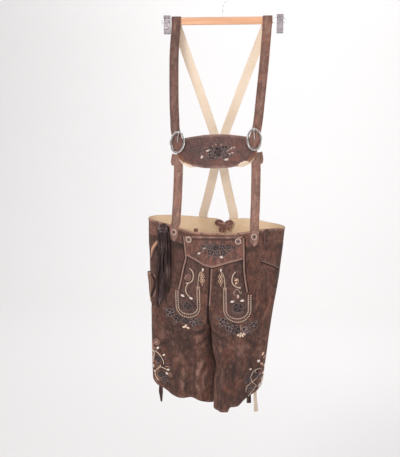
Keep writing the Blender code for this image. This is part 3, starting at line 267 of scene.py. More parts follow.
def nubuck(name, plain, grime_shade_colour, rubbed_lit_colour, red, clouds=9.0, rough=0.86, lines=1.0):
    """Napped leather: plain, with darker and redder clouds, wrinkle lines darkened as painted shade, and the
    mesh's marks: pale for wear and painted highlight, dark for grime and painted shade.
    """
    made, tree, shader = blank_material(name)
    cloud = steps(tree, noise_at(tree, clouds, 5.0, (1, 1, 0.55)), 0.36, 0.66)
    patch = steps(tree, noise_at(tree, clouds * 2.3, 4.0, (1, 1, 0.7)), 0.46, 0.7)
    mottle = steps(tree, noise_at(tree, clouds * 7.5, 6.0, (1, 1, 0.62), 0.7), 0.4, 0.64)
    scuff = steps(tree, noise_at(tree, clouds * 13, 6.0, (1, 1, 0.65), 0.7), 0.5, 0.72)
    nap = noise_at(tree, 420.0, 3.0)
    broad, fine = veins(tree, 21.0, 0.03, (1, 1, 0.42)), veins(tree, 60.0, 0.04, (1, 1, 0.36))
    colour = blend_colours(tree, times(tree, cloud, 0.7), plain, grime_shade_colour)
    colour = blend_colours(tree, times(tree, patch, 0.6), colour, red)
    colour = blend_colours(tree, times(tree, mottle, 0.55), colour, grime_shade_colour)
    colour = blend_colours(tree, times(tree, scuff, 0.38), colour, rubbed_lit_colour)
    # Paler where the mesh is marked rubbed and lit (wear and painted highlight), darker where grimy and
    # shaded (grime and painted shade).
    rubbed_and_lit, grimy_and_shaded = wear_and_light_shares(tree)
    colour = blend_colours(tree, times(tree, rubbed_and_lit, 0.85), colour, rubbed_lit_colour)
    colour = blend_colours(tree, times(tree, grimy_and_shaded, 0.85), colour, grime_shade_colour)
    # Wrinkle lines are darker: painted shade in their troughs.
    colour = blend_colours(tree, times(tree, broad, 0.6 * lines), colour, grime_shade_colour)
    colour = blend_colours(tree, times(tree, fine, 0.38 * lines), colour, grime_shade_colour)
    colour = blend_colours(tree, 0.3, colour, steps_grey(tree, nap), "OVERLAY")
    tree.links.new(colour, shader.inputs["Base Color"])
    set_inputs(shader, {
        "Roughness": rough, "Specular IOR Level": 0.22 if plain[0] > 0.07 else 0.12,
        "Sheen Weight": 0.05 if plain[0] > 0.07 else 0.0, "Sheen Roughness": 0.55,
        "Sheen Tint": (0.95, 0.78, 0.66, 1.0)
    })
    creases = noise_at(tree, 55.0, 5.0, (1, 1, 0.45), 0.6)
    sunk = times(tree, broad, -1.0), times(tree, fine, -1.0)
    raise_bump(tree, shader, [
        (creases, 0.55, 0.0022), (sunk[0], 0.55, 0.0012), (sunk[1], 0.45, 0.0006), (nap, 0.3, 0.0005)
    ])
    return made


def steps_grey(tree, value):
    """The value as a grey colour around the middle, to overlay on another."""
    ramp = add_node(tree, "ShaderNodeValToRGB")
    ramp.color_ramp.elements[0].position, ramp.color_ramp.elements[1].position = 0.3, 0.7
    ramp.color_ramp.elements[0].color = (0.28, 0.28, 0.28, 1.0)
    ramp.color_ramp.elements[1].color = (0.74, 0.74, 0.74, 1.0)
    tree.links.new(value, ramp.inputs["Fac"])
    return ramp.outputs["Color"]


brown_nubuck = nubuck(
    "brown nubuck", (0.117, 0.053, 0.038), (0.027, 0.0148, 0.0135), (0.25, 0.135, 0.104), (0.142, 0.05, 0.031)
)
lobe_nubuck = nubuck(
    "lobe nubuck", (0.094, 0.048, 0.04), (0.028, 0.016, 0.015), (0.21, 0.118, 0.095), (0.128, 0.045, 0.031),
    15.0
)
yoke_nubuck = nubuck(
    "yoke nubuck", (0.168, 0.08, 0.062), (0.045, 0.024, 0.022), (0.33, 0.195, 0.16), (0.205, 0.072, 0.048),
    14.0
)
bar_nubuck = nubuck(
    "chest bar nubuck", (0.128, 0.069, 0.06), (0.058, 0.034, 0.032), (0.285, 0.172, 0.148),
    (0.16, 0.062, 0.047), 11.0, 0.86, 0.4
)
band_nubuck = nubuck(
    "waistband nubuck", (0.152, 0.068, 0.049), (0.042, 0.021, 0.018), (0.33, 0.188, 0.145),
    (0.185, 0.065, 0.04), 12.0
)
strap_nubuck = nubuck(
    "strap nubuck", (0.138, 0.074, 0.061), (0.068, 0.036, 0.031), (0.3, 0.18, 0.15), (0.17, 0.07, 0.052),
    17.0, 0.86, 0.8
)
# A paler copy of the strap leather for the wearer's left strap: painted light.
lit_left_strap_nubuck = nubuck(
    "left strap nubuck", (0.215, 0.112, 0.086), (0.085, 0.043, 0.034), (0.39, 0.235, 0.19),
    (0.235, 0.095, 0.066), 17.0, 0.86, 0.8
)
# A paler copy still for the lower straps and the tails, which hang in shade: painted light.
lit_strap_nubuck = nubuck(
    "faded strap nubuck", (0.245, 0.136, 0.107), (0.112, 0.06, 0.047), (0.46, 0.29, 0.235),
    (0.29, 0.125, 0.088), 17.0, 0.86, 0.8
)
corner_nubuck = nubuck(
    "corner nubuck", (0.19, 0.088, 0.058), (0.088, 0.04, 0.028), (0.4, 0.215, 0.13), (0.235, 0.085, 0.045),
    20.0
)
lace_hide = nubuck(
    "lace hide", (0.042, 0.0235, 0.0205), (0.013, 0.008, 0.0078), (0.15, 0.098, 0.09), (0.058, 0.026, 0.02),
    26.0, 0.74, 0.6
)
# A greyer hide for the laces: painted sheen on their dark nap.
sheen_lace_hide = nubuck(
    "dusty lace hide", (0.06, 0.04, 0.041), (0.018, 0.012, 0.013), (0.21, 0.155, 0.155),
    (0.075, 0.038, 0.034), 26.0, 0.8, 0.8
)
piping_hide = nubuck(
    "piping hide", (0.235, 0.128, 0.1), (0.1, 0.052, 0.042), (0.43, 0.28, 0.225), (0.24, 0.1, 0.07), 30.0,
    0.7, 0.4
)
# A near-black hide for strips and cut edges laid where there is only shade: painted shadow.
shadow_hide = nubuck(
    "groove hide", (0.02, 0.012, 0.012), (0.01, 0.007, 0.007), (0.05, 0.03, 0.027), (0.03, 0.014, 0.012),
    30.0, 0.9, 0.3
)
tan_nubuck = nubuck(
    "tan nubuck", (0.6, 0.33, 0.21), (0.36, 0.18, 0.11), (0.76, 0.48, 0.33), (0.5, 0.21, 0.12), 24.0
)
suede_bow = nubuck(
    "suede bow", (0.275, 0.138, 0.108), (0.085, 0.04, 0.034), (0.6, 0.4, 0.33), (0.33, 0.135, 0.105), 45.0,
    0.92, 0.6
)
print("nubuck finishes made")


# %% Flesh side and cut edges
def flesh_side(name, plain, shade, stain):
    """The fibrous pale inside of the hide."""
    made, tree, shader = blank_material(name)
    cloud = steps(tree, noise_at(tree, 12.0, 5.0), 0.4, 0.68)
    blot = steps(tree, noise_at(tree, 33.0, 4.0), 0.58, 0.78)
    fibre = noise_at(tree, 330.0, 4.0)
    colour = blend_colours(tree, times(tree, cloud, 0.6), plain, shade)
    colour = blend_colours(tree, times(tree, blot, 0.35), colour, stain)
    colour = blend_colours(tree, 0.22, colour, steps_grey(tree, fibre), "OVERLAY")
    tree.links.new(colour, shader.inputs["Base Color"])
    set_inputs(shader, {"Roughness": 0.95, "Specular IOR Level": 0.2, "Sheen Weight": 0.15})
    raise_bump(tree, shader, [(fibre, 0.35, 0.0006)])
    return made


cream_flesh = flesh_side("cream flesh side", (0.73, 0.56, 0.39), (0.6, 0.425, 0.27), (0.44, 0.27, 0.155))
pale_flesh = flesh_side("pale strap flesh side", (0.65, 0.53, 0.42), (0.57, 0.44, 0.325), (0.46, 0.325, 0.23))
tassel_flesh = flesh_side("tassel flesh side", (0.46, 0.385, 0.31), (0.35, 0.275, 0.21), (0.25, 0.175, 0.13))
cut_edge = flesh_side("cut edge", (0.3, 0.19, 0.125), (0.185, 0.105, 0.07), (0.11, 0.06, 0.042))
print("flesh side and edges made")


# %% Thread
def thread(name, colour, shade, gloss=0.55, sheen=0.3):
    """Twisted cotton or silk: a little darker between its strands, with a soft sheen."""
    made, tree, shader = blank_material(name)
    strand = noise_at(tree, 700.0, 2.0)
    old = steps(tree, noise_at(tree, 60.0, 3.0), 0.45, 0.7)
    tint = blend_colours(tree, times(tree, old, 0.6), colour, shade)
    tint = blend_colours(tree, 0.35, tint, steps_grey(tree, strand), "OVERLAY")
    tree.links.new(tint, shader.inputs["Base Color"])
    set_inputs(shader, {
        "Roughness": gloss, "Sheen Weight": sheen, "Specular IOR Level": 0.5 * min(1.0, 0.3 + sheen * 2.4)
    })
    raise_bump(tree, shader, [(strand, 0.4, 0.0003)])
    return made


cream_thread = thread("cream thread", (0.66, 0.5, 0.37), (0.48, 0.33, 0.23))
white_thread = thread("white thread", (0.61, 0.52, 0.46), (0.47, 0.375, 0.315), 0.5)
beige_thread = thread("beige thread", (0.66, 0.475, 0.365), (0.43, 0.285, 0.205))
gold_thread = thread("gold thread", (0.68, 0.435, 0.29), (0.5, 0.305, 0.195), 0.45)
dark_thread = thread("dark thread", (0.026, 0.0175, 0.0175), (0.047, 0.031, 0.03), 0.55, 0.0)
seam_thread = thread("seam thread", (0.27, 0.16, 0.12), (0.15, 0.084, 0.062), 0.6, 0.1)
print("threads made")


# %% Horn, wood and metal
def horn(name):
    """Polished horn: cloudy brown with pale streaks, under a clear gloss, with painted highlight and painted
    shade from the mesh's marks.
    """
    made, tree, shader = blank_material(name)
    cloud = steps(tree, noise_at(tree, 90.0, 5.0, (1, 1, 0.4)), 0.35, 0.7)
    streak = steps(tree, noise_at(tree, 240.0, 3.0, (0.3, 1, 1)), 0.55, 0.75)
    colour = blend_colours(tree, cloud, (0.36, 0.225, 0.18), (0.19, 0.105, 0.08))
    colour = blend_colours(tree, times(tree, streak, 0.5), colour, (0.6, 0.45, 0.38))
    # The mesh's marks: painted highlight on the rim, painted shade in the dish and at the foot.
    rubbed_and_lit, grimy_and_shaded = wear_and_light_shares(tree)
    colour = blend_colours(tree, times(tree, rubbed_and_lit, 0.9), colour, (0.56, 0.4, 0.33))
    colour = blend_colours(tree, times(tree, grimy_and_shaded, 0.95), colour, (0.11, 0.055, 0.043))
    tree.links.new(colour, shader.inputs["Base Color"])
    set_inputs(shader, {"Roughness": 0.34, "Coat Weight": 0.25, "Coat Roughness": 0.2})
    raise_bump(tree, shader, [(streak, 0.1, 0.0003)])
    return made


def varnished_beech(name):
    """Straight grain along the bar, with short dark pores, under satin varnish."""
    made, tree, shader = blank_material(name)
    grain = steps(tree, noise_at(tree, 150.0, 5.0, (0.035, 1, 1)), 0.35, 0.7)
    pore = steps(tree, noise_at(tree, 900.0, 2.0, (0.06, 1, 1)), 0.62, 0.75)
    colour = blend_colours(tree, grain, (0.62, 0.33, 0.192), (0.51, 0.25, 0.132))
    colour = blend_colours(tree, times(tree, pore, 0.5), colour, (0.42, 0.2, 0.09))
    tree.links.new(colour, shader.inputs["Base Color"])
    set_inputs(shader, {"Roughness": 0.42, "Coat Weight": 0.25, "Coat Roughness": 0.25})
    raise_bump(tree, shader, [(pore, 0.15, 0.0003)])
    return made


def bright_metal(name, bright, dull, rough, scale=120.0):
    """Plated or cast metal, duller in patches."""
    made, tree, shader = blank_material(name)
    patch = steps(tree, noise_at(tree, scale, 4.0), 0.4, 0.7)
    tree.links.new(blend_colours(tree, patch, bright, dull), shader.inputs["Base Color"])
    shader.inputs["Metallic"].default_value = 1.0
    spread_rough = add_node(tree, "ShaderNodeMapRange")
    set_inputs(spread_rough, {"To Min": rough * 0.75, "To Max": rough * 1.5})
    tree.links.new(patch, spread_rough.inputs["Value"])
    tree.links.new(spread_rough.outputs["Result"], shader.inputs["Roughness"])
    raise_bump(tree, shader, [(noise_at(tree, scale * 6, 3.0), 0.06, 0.0003)])
    return made


def old_silver(name):
    """Cast silver, bright on its ridges and dark in its hollows, by the mesh's own painted wear."""
    made, tree, shader = blank_material(name)
    wear_and_light = add_node(tree, "ShaderNodeAttribute", attribute_name="wear").outputs["Fac"]
    ridge = steps(tree, wear_and_light, -0.6, 0.5)
    tarnish = steps(tree, noise_at(tree, 260.0, 4.0), 0.45, 0.75)
    colour = blend_colours(tree, ridge, (0.05, 0.04, 0.038), (0.58, 0.55, 0.54))
    colour = blend_colours(tree, times(tree, tarnish, 0.35), colour, (0.42, 0.37, 0.34))
    tree.links.new(colour, shader.inputs["Base Color"])
    set_inputs(shader, {"Metallic": 0.95, "Roughness": 0.3})
    raise_bump(tree, shader, [(noise_at(tree, 900.0, 3.0), 0.12, 0.0003)])
    return made


button_horn = horn("button horn")
bar_beech = varnished_beech("varnished beech")
hook_steel = bright_metal("hook steel", (0.72, 0.71, 0.72), (0.5, 0.49, 0.5), 0.24)
clip_steel = bright_metal("clip steel", (0.385, 0.345, 0.36), (0.34, 0.3, 0.318), 0.68, 280.0)
ring_silver = old_silver("ring silver")
print("horn, wood and metal made")


# %% [markdown]
# ## The form that all the leather follows
# Everything on the breeches, from the panels to the last stitch, lies on one surface. Each leg's plan section
# is a single smooth curve from the centre seam to the side seam, and tables say how wide and deep it is at
# each height. A piece asks that surface for a point, a distance above it, and so it can never float or sink.

# %% Sizes and tables
LEATHER = 0.002
SEAM = 0.0003
LIFT = 0.0006
STRAP_WIDTH = 0.028
STRAP_THICK = 0.0022
BAR_HALF = 0.145
BAR_DEPTH = 0.012
BAR_HEIGHT = 0.022
BAR_Z = -0.1
BAR_ROUND = 0.003
HOOK_WIRE = 0.0018
HOOK_RADIUS = 0.0228
ROD = 0.00125
ROD_SPREAD = 0.007
ROD_REACH = 0.1835
CENTRE_X = -0.018
CROTCH_Z = -1.04
VALLEY = 0.115
SEAM_CURVE = 2.4
WAISTBAND, WAIST_HALF = 0.045, 0.2115
LEG_PART = 0.0012
LAP_OVER = 0.004
LAP_FORTH = 0.012
ROUNDNESS = 0.62
ARC_REACH = 4 / 3
FOLD_SPAN = 0.26
RIGHT, LEFT = -1, 1
FRONT, BACK = -1, 1
SIDES = {RIGHT: "right", LEFT: "left"}
FACES = {FRONT: "front", BACK: "back"}


def table_of(columns, *rows):
    """Rows of numbers under named columns."""
    row = namedtuple("Row", columns)
    return tuple(row(*numbers) for numbers in rows)


SECTIONS = table_of(
    "z half_right half_left front_right front_left back_right back_left",
    (-0.69, 0.211, 0.213, 0.084, 0.084, 0.079, 0.079),
    (-0.75, 0.211, 0.208, 0.087, 0.087, 0.084, 0.084),
    (-0.82, 0.209, 0.201, 0.086, 0.087, 0.088, 0.088),
    (-0.9, 0.207, 0.191, 0.08, 0.083, 0.088, 0.088),
    (-0.97, 0.206, 0.18, 0.07, 0.077, 0.08, 0.082),
    (-1.04, 0.206, 0.171, 0.057, 0.069, 0.066, 0.074),
    (-1.12, 0.206, 0.162, 0.045, 0.063, 0.05, 0.066),
    (-1.2, 0.205, 0.153, 0.038, 0.061, 0.04, 0.062),
    (-1.31, 0.199, 0.145, 0.035, 0.06, 0.036, 0.061),
)

WAIST_EDGE = table_of(
    "off front back",
    (-0.211, -0.6898, -0.69),
    (-0.182, -0.6914, -0.6912),
    (-0.147, -0.6955, -0.693),
    (-0.12, -0.701, -0.695),
    (-0.09, -0.7085, -0.6968),
    (-0.067, -0.7137, -0.6985),
    (-0.04, -0.7168, -0.7008),
    (0.0, -0.7172, -0.703),
    (0.053, -0.7168, -0.6995),
    (0.083, -0.7145, -0.6995),
    (0.106, -0.7107, -0.702),
    (0.147, -0.7048, -0.7065),
    (0.184, -0.704, -0.7082),
    (0.213, -0.7085, -0.7088),
)

CENTRE_LINE = table_of(
    "z x",
    (-0.8, -0.018),
    (-0.895, -0.0225),
    (-0.96, -0.0275),
    (-1.02, -0.032),
    (-1.06, -0.0305),
    (-1.11, -0.022),
    (-1.16, -0.011),
    (-1.215, -0.018),
    (-1.31, -0.019),
)

HEMS = table_of(
    "share right_front right_back left_front left_back",
    (0.0, -1.293, -1.286, -1.302, -1.286),
    (0.15, -1.285, -1.282, -1.3, -1.28),
    (0.34, -1.27, -1.277, -1.299, -1.275),
    (0.39, -1.269, -1.275, -1.281, -1.274),
    (0.55, -1.27, -1.272, -1.276, -1.268),
    (0.68, -1.266, -1.266, -1.258, -1.258),
    (0.82, -1.245, -1.252, -1.238, -1.244),
    (0.93, -1.233, -1.238, -1.222, -1.228),
    (1.0, -1.214, -1.216, -1.204, -1.206),
)

# Folds that the solids already have. Shares run from the centre (0) to the side seam (1); + is a ridge.
Fold = namedtuple("Fold", "share_top share_end z_top z_end width depth")
FOLDS = {
    (RIGHT, FRONT): (
        (0.3, 0.33, -0.98, -1.46, 0.014, 0.006),
        (0.38, 0.43, -1.0, -1.46, 0.013, -0.006),
        (0.52, 0.5, -1.02, -1.46, 0.02, 0.0045),
        (0.66, 0.62, -1.05, -1.46, 0.024, -0.007),
        (0.8, 0.84, -1.0, -1.3, 0.026, 0.004),
        (0.68, 0.66, -0.82, -1.04, 0.02, -0.005),
        (0.8, 0.8, -0.82, -1.02, 0.02, 0.003),
    ),
    (LEFT, FRONT): (
        (0.27, 0.3, -1.0, -1.46, 0.013, 0.006),
        (0.4, 0.4, -1.04, -1.24, 0.018, -0.0045),
        (0.72, 0.56, -1.0, -1.46, 0.02, -0.0065),
        (0.84, 0.74, -1.0, -1.46, 0.022, 0.0045),
        (0.64, 0.66, -0.8, -1.02, 0.02, -0.004),
        (0.78, 0.82, -0.8, -1.04, 0.022, 0.003),
    ),
    (RIGHT, BACK): (
        (0.3, 0.36, -0.9, -1.46, 0.022, -0.006),
        (0.48, 0.52, -0.86, -1.46, 0.024, 0.0055),
        (0.68, 0.66, -0.95, -1.46, 0.022, -0.006),
        (0.84, 0.8, -0.78, -1.2, 0.024, 0.0045),
    ),
    (LEFT, BACK): (
        (0.34, 0.3, -0.92, -1.46, 0.02, -0.006),
        (0.52, 0.46, -0.84, -1.46, 0.024, 0.0055),
        (0.72, 0.64, -0.92, -1.46, 0.022, -0.006),
        (0.86, 0.82, -0.76, -1.1, 0.022, 0.0045),
    ),
}
print("tables read:", len(SECTIONS), "sections and", sum(len(rows) for rows in FOLDS.values()), "folds")


# %% Curves through tables and points
def mix(a, b, share):
    return a + (b - a) * share


def ease(share):
    share = min(1.0, max(0.0, share))
    return share * share * (3 - 2 * share)


def bell(off, width):
    """A soft hump: 1 in the middle, almost 0 at twice its width."""
    return math.exp(-((off / width) ** 2))


def heading(angle):
    """The cosine and sine of an angle in degrees."""
    return math.cos(math.radians(angle)), math.sin(math.radians(angle))


def spread(low, high, count):
    """count values from low to high, both included."""
    return [mix(low, high, i / (count - 1)) for i in range(count)]


def look_up(rows, key, column, at):
    """The column's value at a place between rows, on a smooth curve through the rows."""
    keys = [getattr(row, key) for row in rows]
    values = [getattr(row, column) for row in rows]
    if keys[0] > keys[-1]:
        keys, values = keys[::-1], values[::-1]
    at = min(keys[-1], max(keys[0], at))
    i = max(0, min(len(keys) - 2, sum(k <= at for k in keys) - 1))
    slopes = [(values[j + 1] - values[j]) / (keys[j + 1] - keys[j]) for j in range(len(keys) - 1)]

    def slope(j):
        if j in (0, len(slopes)):
            return slopes[min(j, len(slopes) - 1)]
        before, after = slopes[j - 1], slopes[j]
        return 0.0 if before * after <= 0 else 2 * before * after / (before + after)

    width = keys[i + 1] - keys[i]
    s = (at - keys[i]) / width
    return (
        values[i] * (2 * s**3 - 3 * s**2 + 1)
        + slope(i) * width * (s**3 - 2 * s**2 + s)
        + values[i + 1] * (3 * s**2 - 2 * s**3)
        + slope(i + 1) * width * (s**3 - s**2)
    )


def smooth_path(points, count):
    """count points evenly along a smooth curve through the given points (Catmull-Rom)."""
    points = [Vector(p) for p in points]
    ends = [2 * points[0] - points[1], *points, 2 * points[-1] - points[-2]]
    fine = []
    for a, b, c, d in zip(ends, ends[1:], ends[2:], ends[3:]):
        for step in range(16):
            s = step / 16
            fine.append(
                0.5 * (
                    2 * b + (c - a) * s + (2 * a - 5 * b + 4 * c - d) * s**2 + (3 * b - a - 3 * c + d) * s**3
                )
            )
    fine.append(points[-1])
    lengths = [0.0]
    for p, q in zip(fine, fine[1:]):
        lengths.append(lengths[-1] + (q - p).length)
    found, j = [], 0
    for target in spread(0.0, lengths[-1], count):
        while j < len(fine) - 2 and lengths[j + 1] < target:
            j += 1
        found.append(
            fine[j].lerp(fine[j + 1], (target - lengths[j]) / max(1e-9, lengths[j + 1] - lengths[j]))
        )
    return found


# %% The plan section at each height
def leg_share(z):
    """0 above the valley of the centre seam, 1 from the crotch down."""
    return 1 - ease((z - CROTCH_Z) / VALLEY)


def seam_share(z):
    """How far forward the centre seam lies: 1 on the face, 0 under the crotch."""
    w = min(1.0, max(0.0, (z - CROTCH_Z) / VALLEY))
    return 1 - (1 - w) ** SEAM_CURVE


def centre_x(z):
    return look_up(CENTRE_LINE, "z", "x", z)


def centre_depth(face, z):
    """The depth at the centre line, where the two sides meet."""
    return sum(look_up(SECTIONS, "z", f"{FACES[face]}_{who}", z) for who in SIDES.values()) / 2


def controls(side, face, z):
    """The four control points (out, forth) of one panel's plan section."""
    who = SIDES[side]
    half = look_up(SECTIONS, "z", f"half_{who}", z) + side * (CENTRE_X - centre_x(z))
    depth = look_up(SECTIONS, "z", f"{FACES[face]}_{who}", z)
    middle = centre_depth(face, z)
    legs, valley = leg_share(z), 1 - seam_share(z)
    lap = ease((CROTCH_Z - z) / 0.1)
    part = SEAM / 2 + LEG_PART * lap
    inner = part - LAP_OVER * lap if side == LEFT else part + LAP_OVER / 2 * lap
    forth = middle * (1 - valley) - side * face * LAP_FORTH * lap
    return (
        (inner, forth),
        (mix(ROUNDNESS * half, part, legs), mix(middle, depth, legs) * (1 + valley / 3)),
        (half, depth * mix(ROUNDNESS, ARC_REACH, legs)),
        (half, 0.0),
    )


def by_height(exact):
    """A quick stand-in for a function of height: exact on a grid of heights, straight between them."""
    step = 0.001

    @lru_cache(maxsize=None)
    def row(i, *who):
        return exact(*who, i * step)

    def quick(*asked):
        *who, z = asked
        i = math.floor(z / step)
        part, a, b = z / step - i, row(i, *who), row(i + 1, *who)
        if isinstance(a, float):
            return mix(a, b, part)
        return tuple((mix(p, r, part), mix(q, s, part)) for (p, q), (r, s) in zip(a, b))

    return quick


centre_x, controls = by_height(centre_x), by_height(controls)

# %% [markdown]
# ### Creases
# Leather this thick never wrinkles like shirt cloth. It breaks into a few soft troughs with raised shoulders:
# short ones where the crotch pulls, long ones down the thighs and a scatter at the hips. Evenly spaced copies
# would look like corrugation, so each is listed one by one, uneven in length, depth and direction.

# %% Creases listed one by one
# A path of (share, height), then the width and the depth; + is a ridge.
CREASES = {
    # From the crotch out across the right thigh.
    (RIGHT, FRONT): (
        (((0.1, -1.03), (0.26, -1.046), (0.42, -1.04)), 0.005, -0.0016),
        (((0.08, -1.058), (0.22, -1.078), (0.34, -1.09)), 0.0045, -0.0018),
        (((0.12, -1.0), (0.3, -0.992)), 0.005, 0.0012),
        (((0.56, -1.06), (0.66, -1.086), (0.78, -1.094)), 0.006, -0.0015),
        (((0.2, -1.13), (0.3, -1.19), (0.28, -1.25)), 0.005, -0.0016),
        (((0.5, -1.13), (0.56, -1.2), (0.52, -1.262)), 0.006, -0.0015),
        (((0.74, -1.1), (0.72, -1.16), (0.78, -1.215)), 0.0055, -0.0015),
        (((0.9, -1.06), (0.86, -1.12), (0.88, -1.17)), 0.006, 0.0012),
        (((0.62, -0.83), (0.68, -0.88), (0.66, -0.93)), 0.0065, -0.0014),
        (((0.8, -0.846), (0.9, -0.872)), 0.0055, -0.0012),
        (((0.74, -0.955), (0.88, -0.975), (0.97, -0.97)), 0.006, -0.0014),
        (((0.86, -0.76), (0.8, -0.792), (0.82, -0.82)), 0.005, -0.001),
    ),
    # From the crotch out across the left thigh.
    (LEFT, FRONT): (
        (((0.1, -1.036), (0.24, -1.05), (0.4, -1.062)), 0.005, -0.0017),
        (((0.08, -1.066), (0.2, -1.092), (0.26, -1.12)), 0.0045, -0.0018),
        (((0.12, -1.006), (0.32, -1.01)), 0.005, 0.0012),
        (((0.58, -1.05), (0.7, -1.07), (0.84, -1.072)), 0.006, -0.0015),
        (((0.24, -1.14), (0.18, -1.2), (0.24, -1.268)), 0.005, -0.0015),
        (((0.46, -1.12), (0.42, -1.176), (0.48, -1.225)), 0.006, -0.0016),
        (((0.88, -1.1), (0.78, -1.15), (0.8, -1.2)), 0.006, -0.0014),
        (((0.66, -0.845), (0.74, -0.88), (0.88, -0.892)), 0.006, -0.0015),
        (((0.62, -0.9), (0.7, -0.946), (0.68, -0.99)), 0.0065, -0.0015),
        (((0.82, -0.93), (0.94, -0.952)), 0.0055, 0.0012),
        (((0.7, -0.772), (0.78, -0.8)), 0.005, -0.001),
    ),
    # The seat and the backs of the legs.
    (RIGHT, BACK): (
        (((0.12, -0.88), (0.34, -0.905), (0.5, -0.9)), 0.007, -0.0018),
        (((0.1, -0.99), (0.26, -1.01), (0.44, -0.996)), 0.0065, -0.002),
        (((0.08, -1.05), (0.2, -1.076), (0.3, -1.11)), 0.005, -0.0018),
        (((0.56, -1.01), (0.72, -1.036), (0.88, -1.026)), 0.0065, -0.0016),
        (((0.4, -1.12), (0.44, -1.19), (0.4, -1.245)), 0.006, -0.0016),
        (((0.76, -1.09), (0.72, -1.16), (0.78, -1.21)), 0.006, 0.0013),
        (((0.6, -0.8), (0.7, -0.826), (0.84, -0.828)), 0.006, -0.0014),
    ),
    (LEFT, BACK): (
        (((0.14, -0.872), (0.3, -0.892), (0.52, -0.886)), 0.007, -0.0018),
        (((0.08, -0.982), (0.28, -1.0), (0.4, -0.99)), 0.0065, -0.002),
        (((0.08, -1.056), (0.22, -1.08), (0.28, -1.12)), 0.005, -0.0018),
        (((0.52, -1.02), (0.7, -1.05), (0.9, -1.04)), 0.0065, -0.0016),
        (((0.34, -1.14), (0.38, -1.2), (0.34, -1.25)), 0.006, -0.0016),
        (((0.72, -1.08), (0.78, -1.14), (0.72, -1.2)), 0.006, 0.0013),
        (((0.64, -0.812), (0.78, -0.842), (0.9, -0.838)), 0.006, -0.0014),
    ),
}


def crease_line(path, width, depth):
    """The crease's fine path in metres of surface, its width and depth, and the box that it can reach."""
    line = [(p.x, p.y) for p in smooth_path([(share * FOLD_SPAN, z, 0) for share, z in path], 9)]
    reach = 3.2 * width
    low = min(x for x, _ in line) - reach, min(z for _, z in line) - reach
    high = max(x for x, _ in line) + reach, max(z for _, z in line) + reach
    return line, width, depth, low, high


CREASE_LINES = {part: [crease_line(*row) for row in rows] for part, rows in CREASES.items()}
FOLDS = {part: [Fold(*row) for row in rows] for part, rows in FOLDS.items()}


def crease_height(side, face, share, z):
    """How far all creases together push the surface out at a place."""
    x, total = share * FOLD_SPAN, 0.0
    for line, width, depth, low, high in CREASE_LINES[side, face]:
        if not (low[0] < x < high[0] and low[1] < z < high[1]):
            continue
        near, run = 1.0, 0.0
        for i, ((ax, az), (bx, bz)) in enumerate(zip(line, line[1:])):
            dx, dz = bx - ax, bz - az
            t = min(1.0, max(0.0, ((x - ax) * dx + (z - az) * dz) / (dx * dx + dz * dz)))
            gap = math.hypot(x - ax - t * dx, z - az - t * dz)
            if gap < near:
                near, run = gap, (i + t) / (len(line) - 1)
        u = near / (width * (0.7 + 0.6 * math.sin(math.pi * run)))
        shape = math.exp(-u * u) - 0.3 * math.exp(-((u - 2.0) ** 2))
        total += depth * shape * ease(run / 0.3 + 0.15) * ease((1 - run) / 0.3 + 0.15)
    return total


def crumple(side, face, share, z):
    """The slight unevenness of a hide that has been worn and hung: two sizes of soft lumps."""
    at = Vector((side * share * FOLD_SPAN, face * 0.7, z))
    wide = noise.noise(at * 26.0) * 0.0009
    small = noise.noise(Vector((at.x * 80, at.y, at.z * 60))) * 0.0003
    return (wide + small) * ease((CROTCH_Z + 0.36 - z) / 0.05)


def relief(side, face, share, z):
    """All that stands off the plain section: folds, creases and crumple."""
    total = 0.0
    for fold in FOLDS[side, face]:
        if not fold.z_end < z < fold.z_top:
            continue
        run = (fold.z_top - z) / (fold.z_top - fold.z_end)
        centre = mix(fold.share_top, fold.share_end, run)
        window = ease(run / 0.35) * ease((1 - run) / 0.35)
        total += fold.depth * window * bell((share - centre) * FOLD_SPAN, fold.width)
    edges = ease(share / 0.1) * ease((1 - share) / 0.1)
    finer = ease(share / 0.04) * ease((1 - share) / 0.04)
    return total * edges + (crease_height(side, face, share, z) + crumple(side, face, share, z)) * finer


print("creases placed:", sum(len(rows) for rows in CREASES.values()))


# %% Points on the surface
def surface(side, face, share, z, lift=0.0):
    """A point of the shorts. share runs along the section, from the centre seam to the side seam."""
    a, b, c, d = controls(side, face, z)
    s, r = share, 1 - share
    out, forth = (r**3 * a[k] + 3 * r * r * s * b[k] + 3 * r * s * s * c[k] + s**3 * d[k] for k in (0, 1))
    along = [r * r * (b[k] - a[k]) + 2 * r * s * (c[k] - b[k]) + s * s * (d[k] - c[k]) for k in (0, 1)]
    length = math.hypot(*along) or 1.0
    push = lift + relief(side, face, share, z)
    out -= along[1] / length * push
    forth += along[0] / length * push
    return Vector((centre_x(z) + side * out, face * forth, z))


def share_at(side, face, out, z):
    """The share along the section that lies this far out from the centre line."""
    low, high = 0.0, 1.0
    a, b, c, d = (p[0] for p in controls(side, face, z))
    for _ in range(24):
        s = (low + high) / 2
        r = 1 - s
        found = r**3 * a + 3 * r * r * s * b + 3 * r * s * s * c + s**3 * d
        low, high = (s, high) if found < out else (low, s)
    return (low + high) / 2


def on_face(face):
    """place(off, z, lift) on the shorts' front or back, off being the distance from the centre line."""

    def place(off, z, lift):
        out = CENTRE_X + off - centre_x(z)
        side = LEFT if out >= 0 else RIGHT
        return surface(side, face, share_at(side, face, abs(out), z), z, lift)

    return place


on_front, on_back = on_face(FRONT), on_face(BACK)


def normal_at(place, off, z):
    return (place(off, z, 0.002) - place(off, z, 0.0)).normalized()


def torso_width(share):
    """The share of the half width reached at this share of the section, above the crotch."""
    r = 1 - share
    return 3 * r * r * share * ROUNDNESS + 3 * r * share**2 + share**3


def waist_z(side, face, share):
    off = side * torso_width(share) * WAIST_HALF
    return look_up(WAIST_EDGE, "off", FACES[face], off)


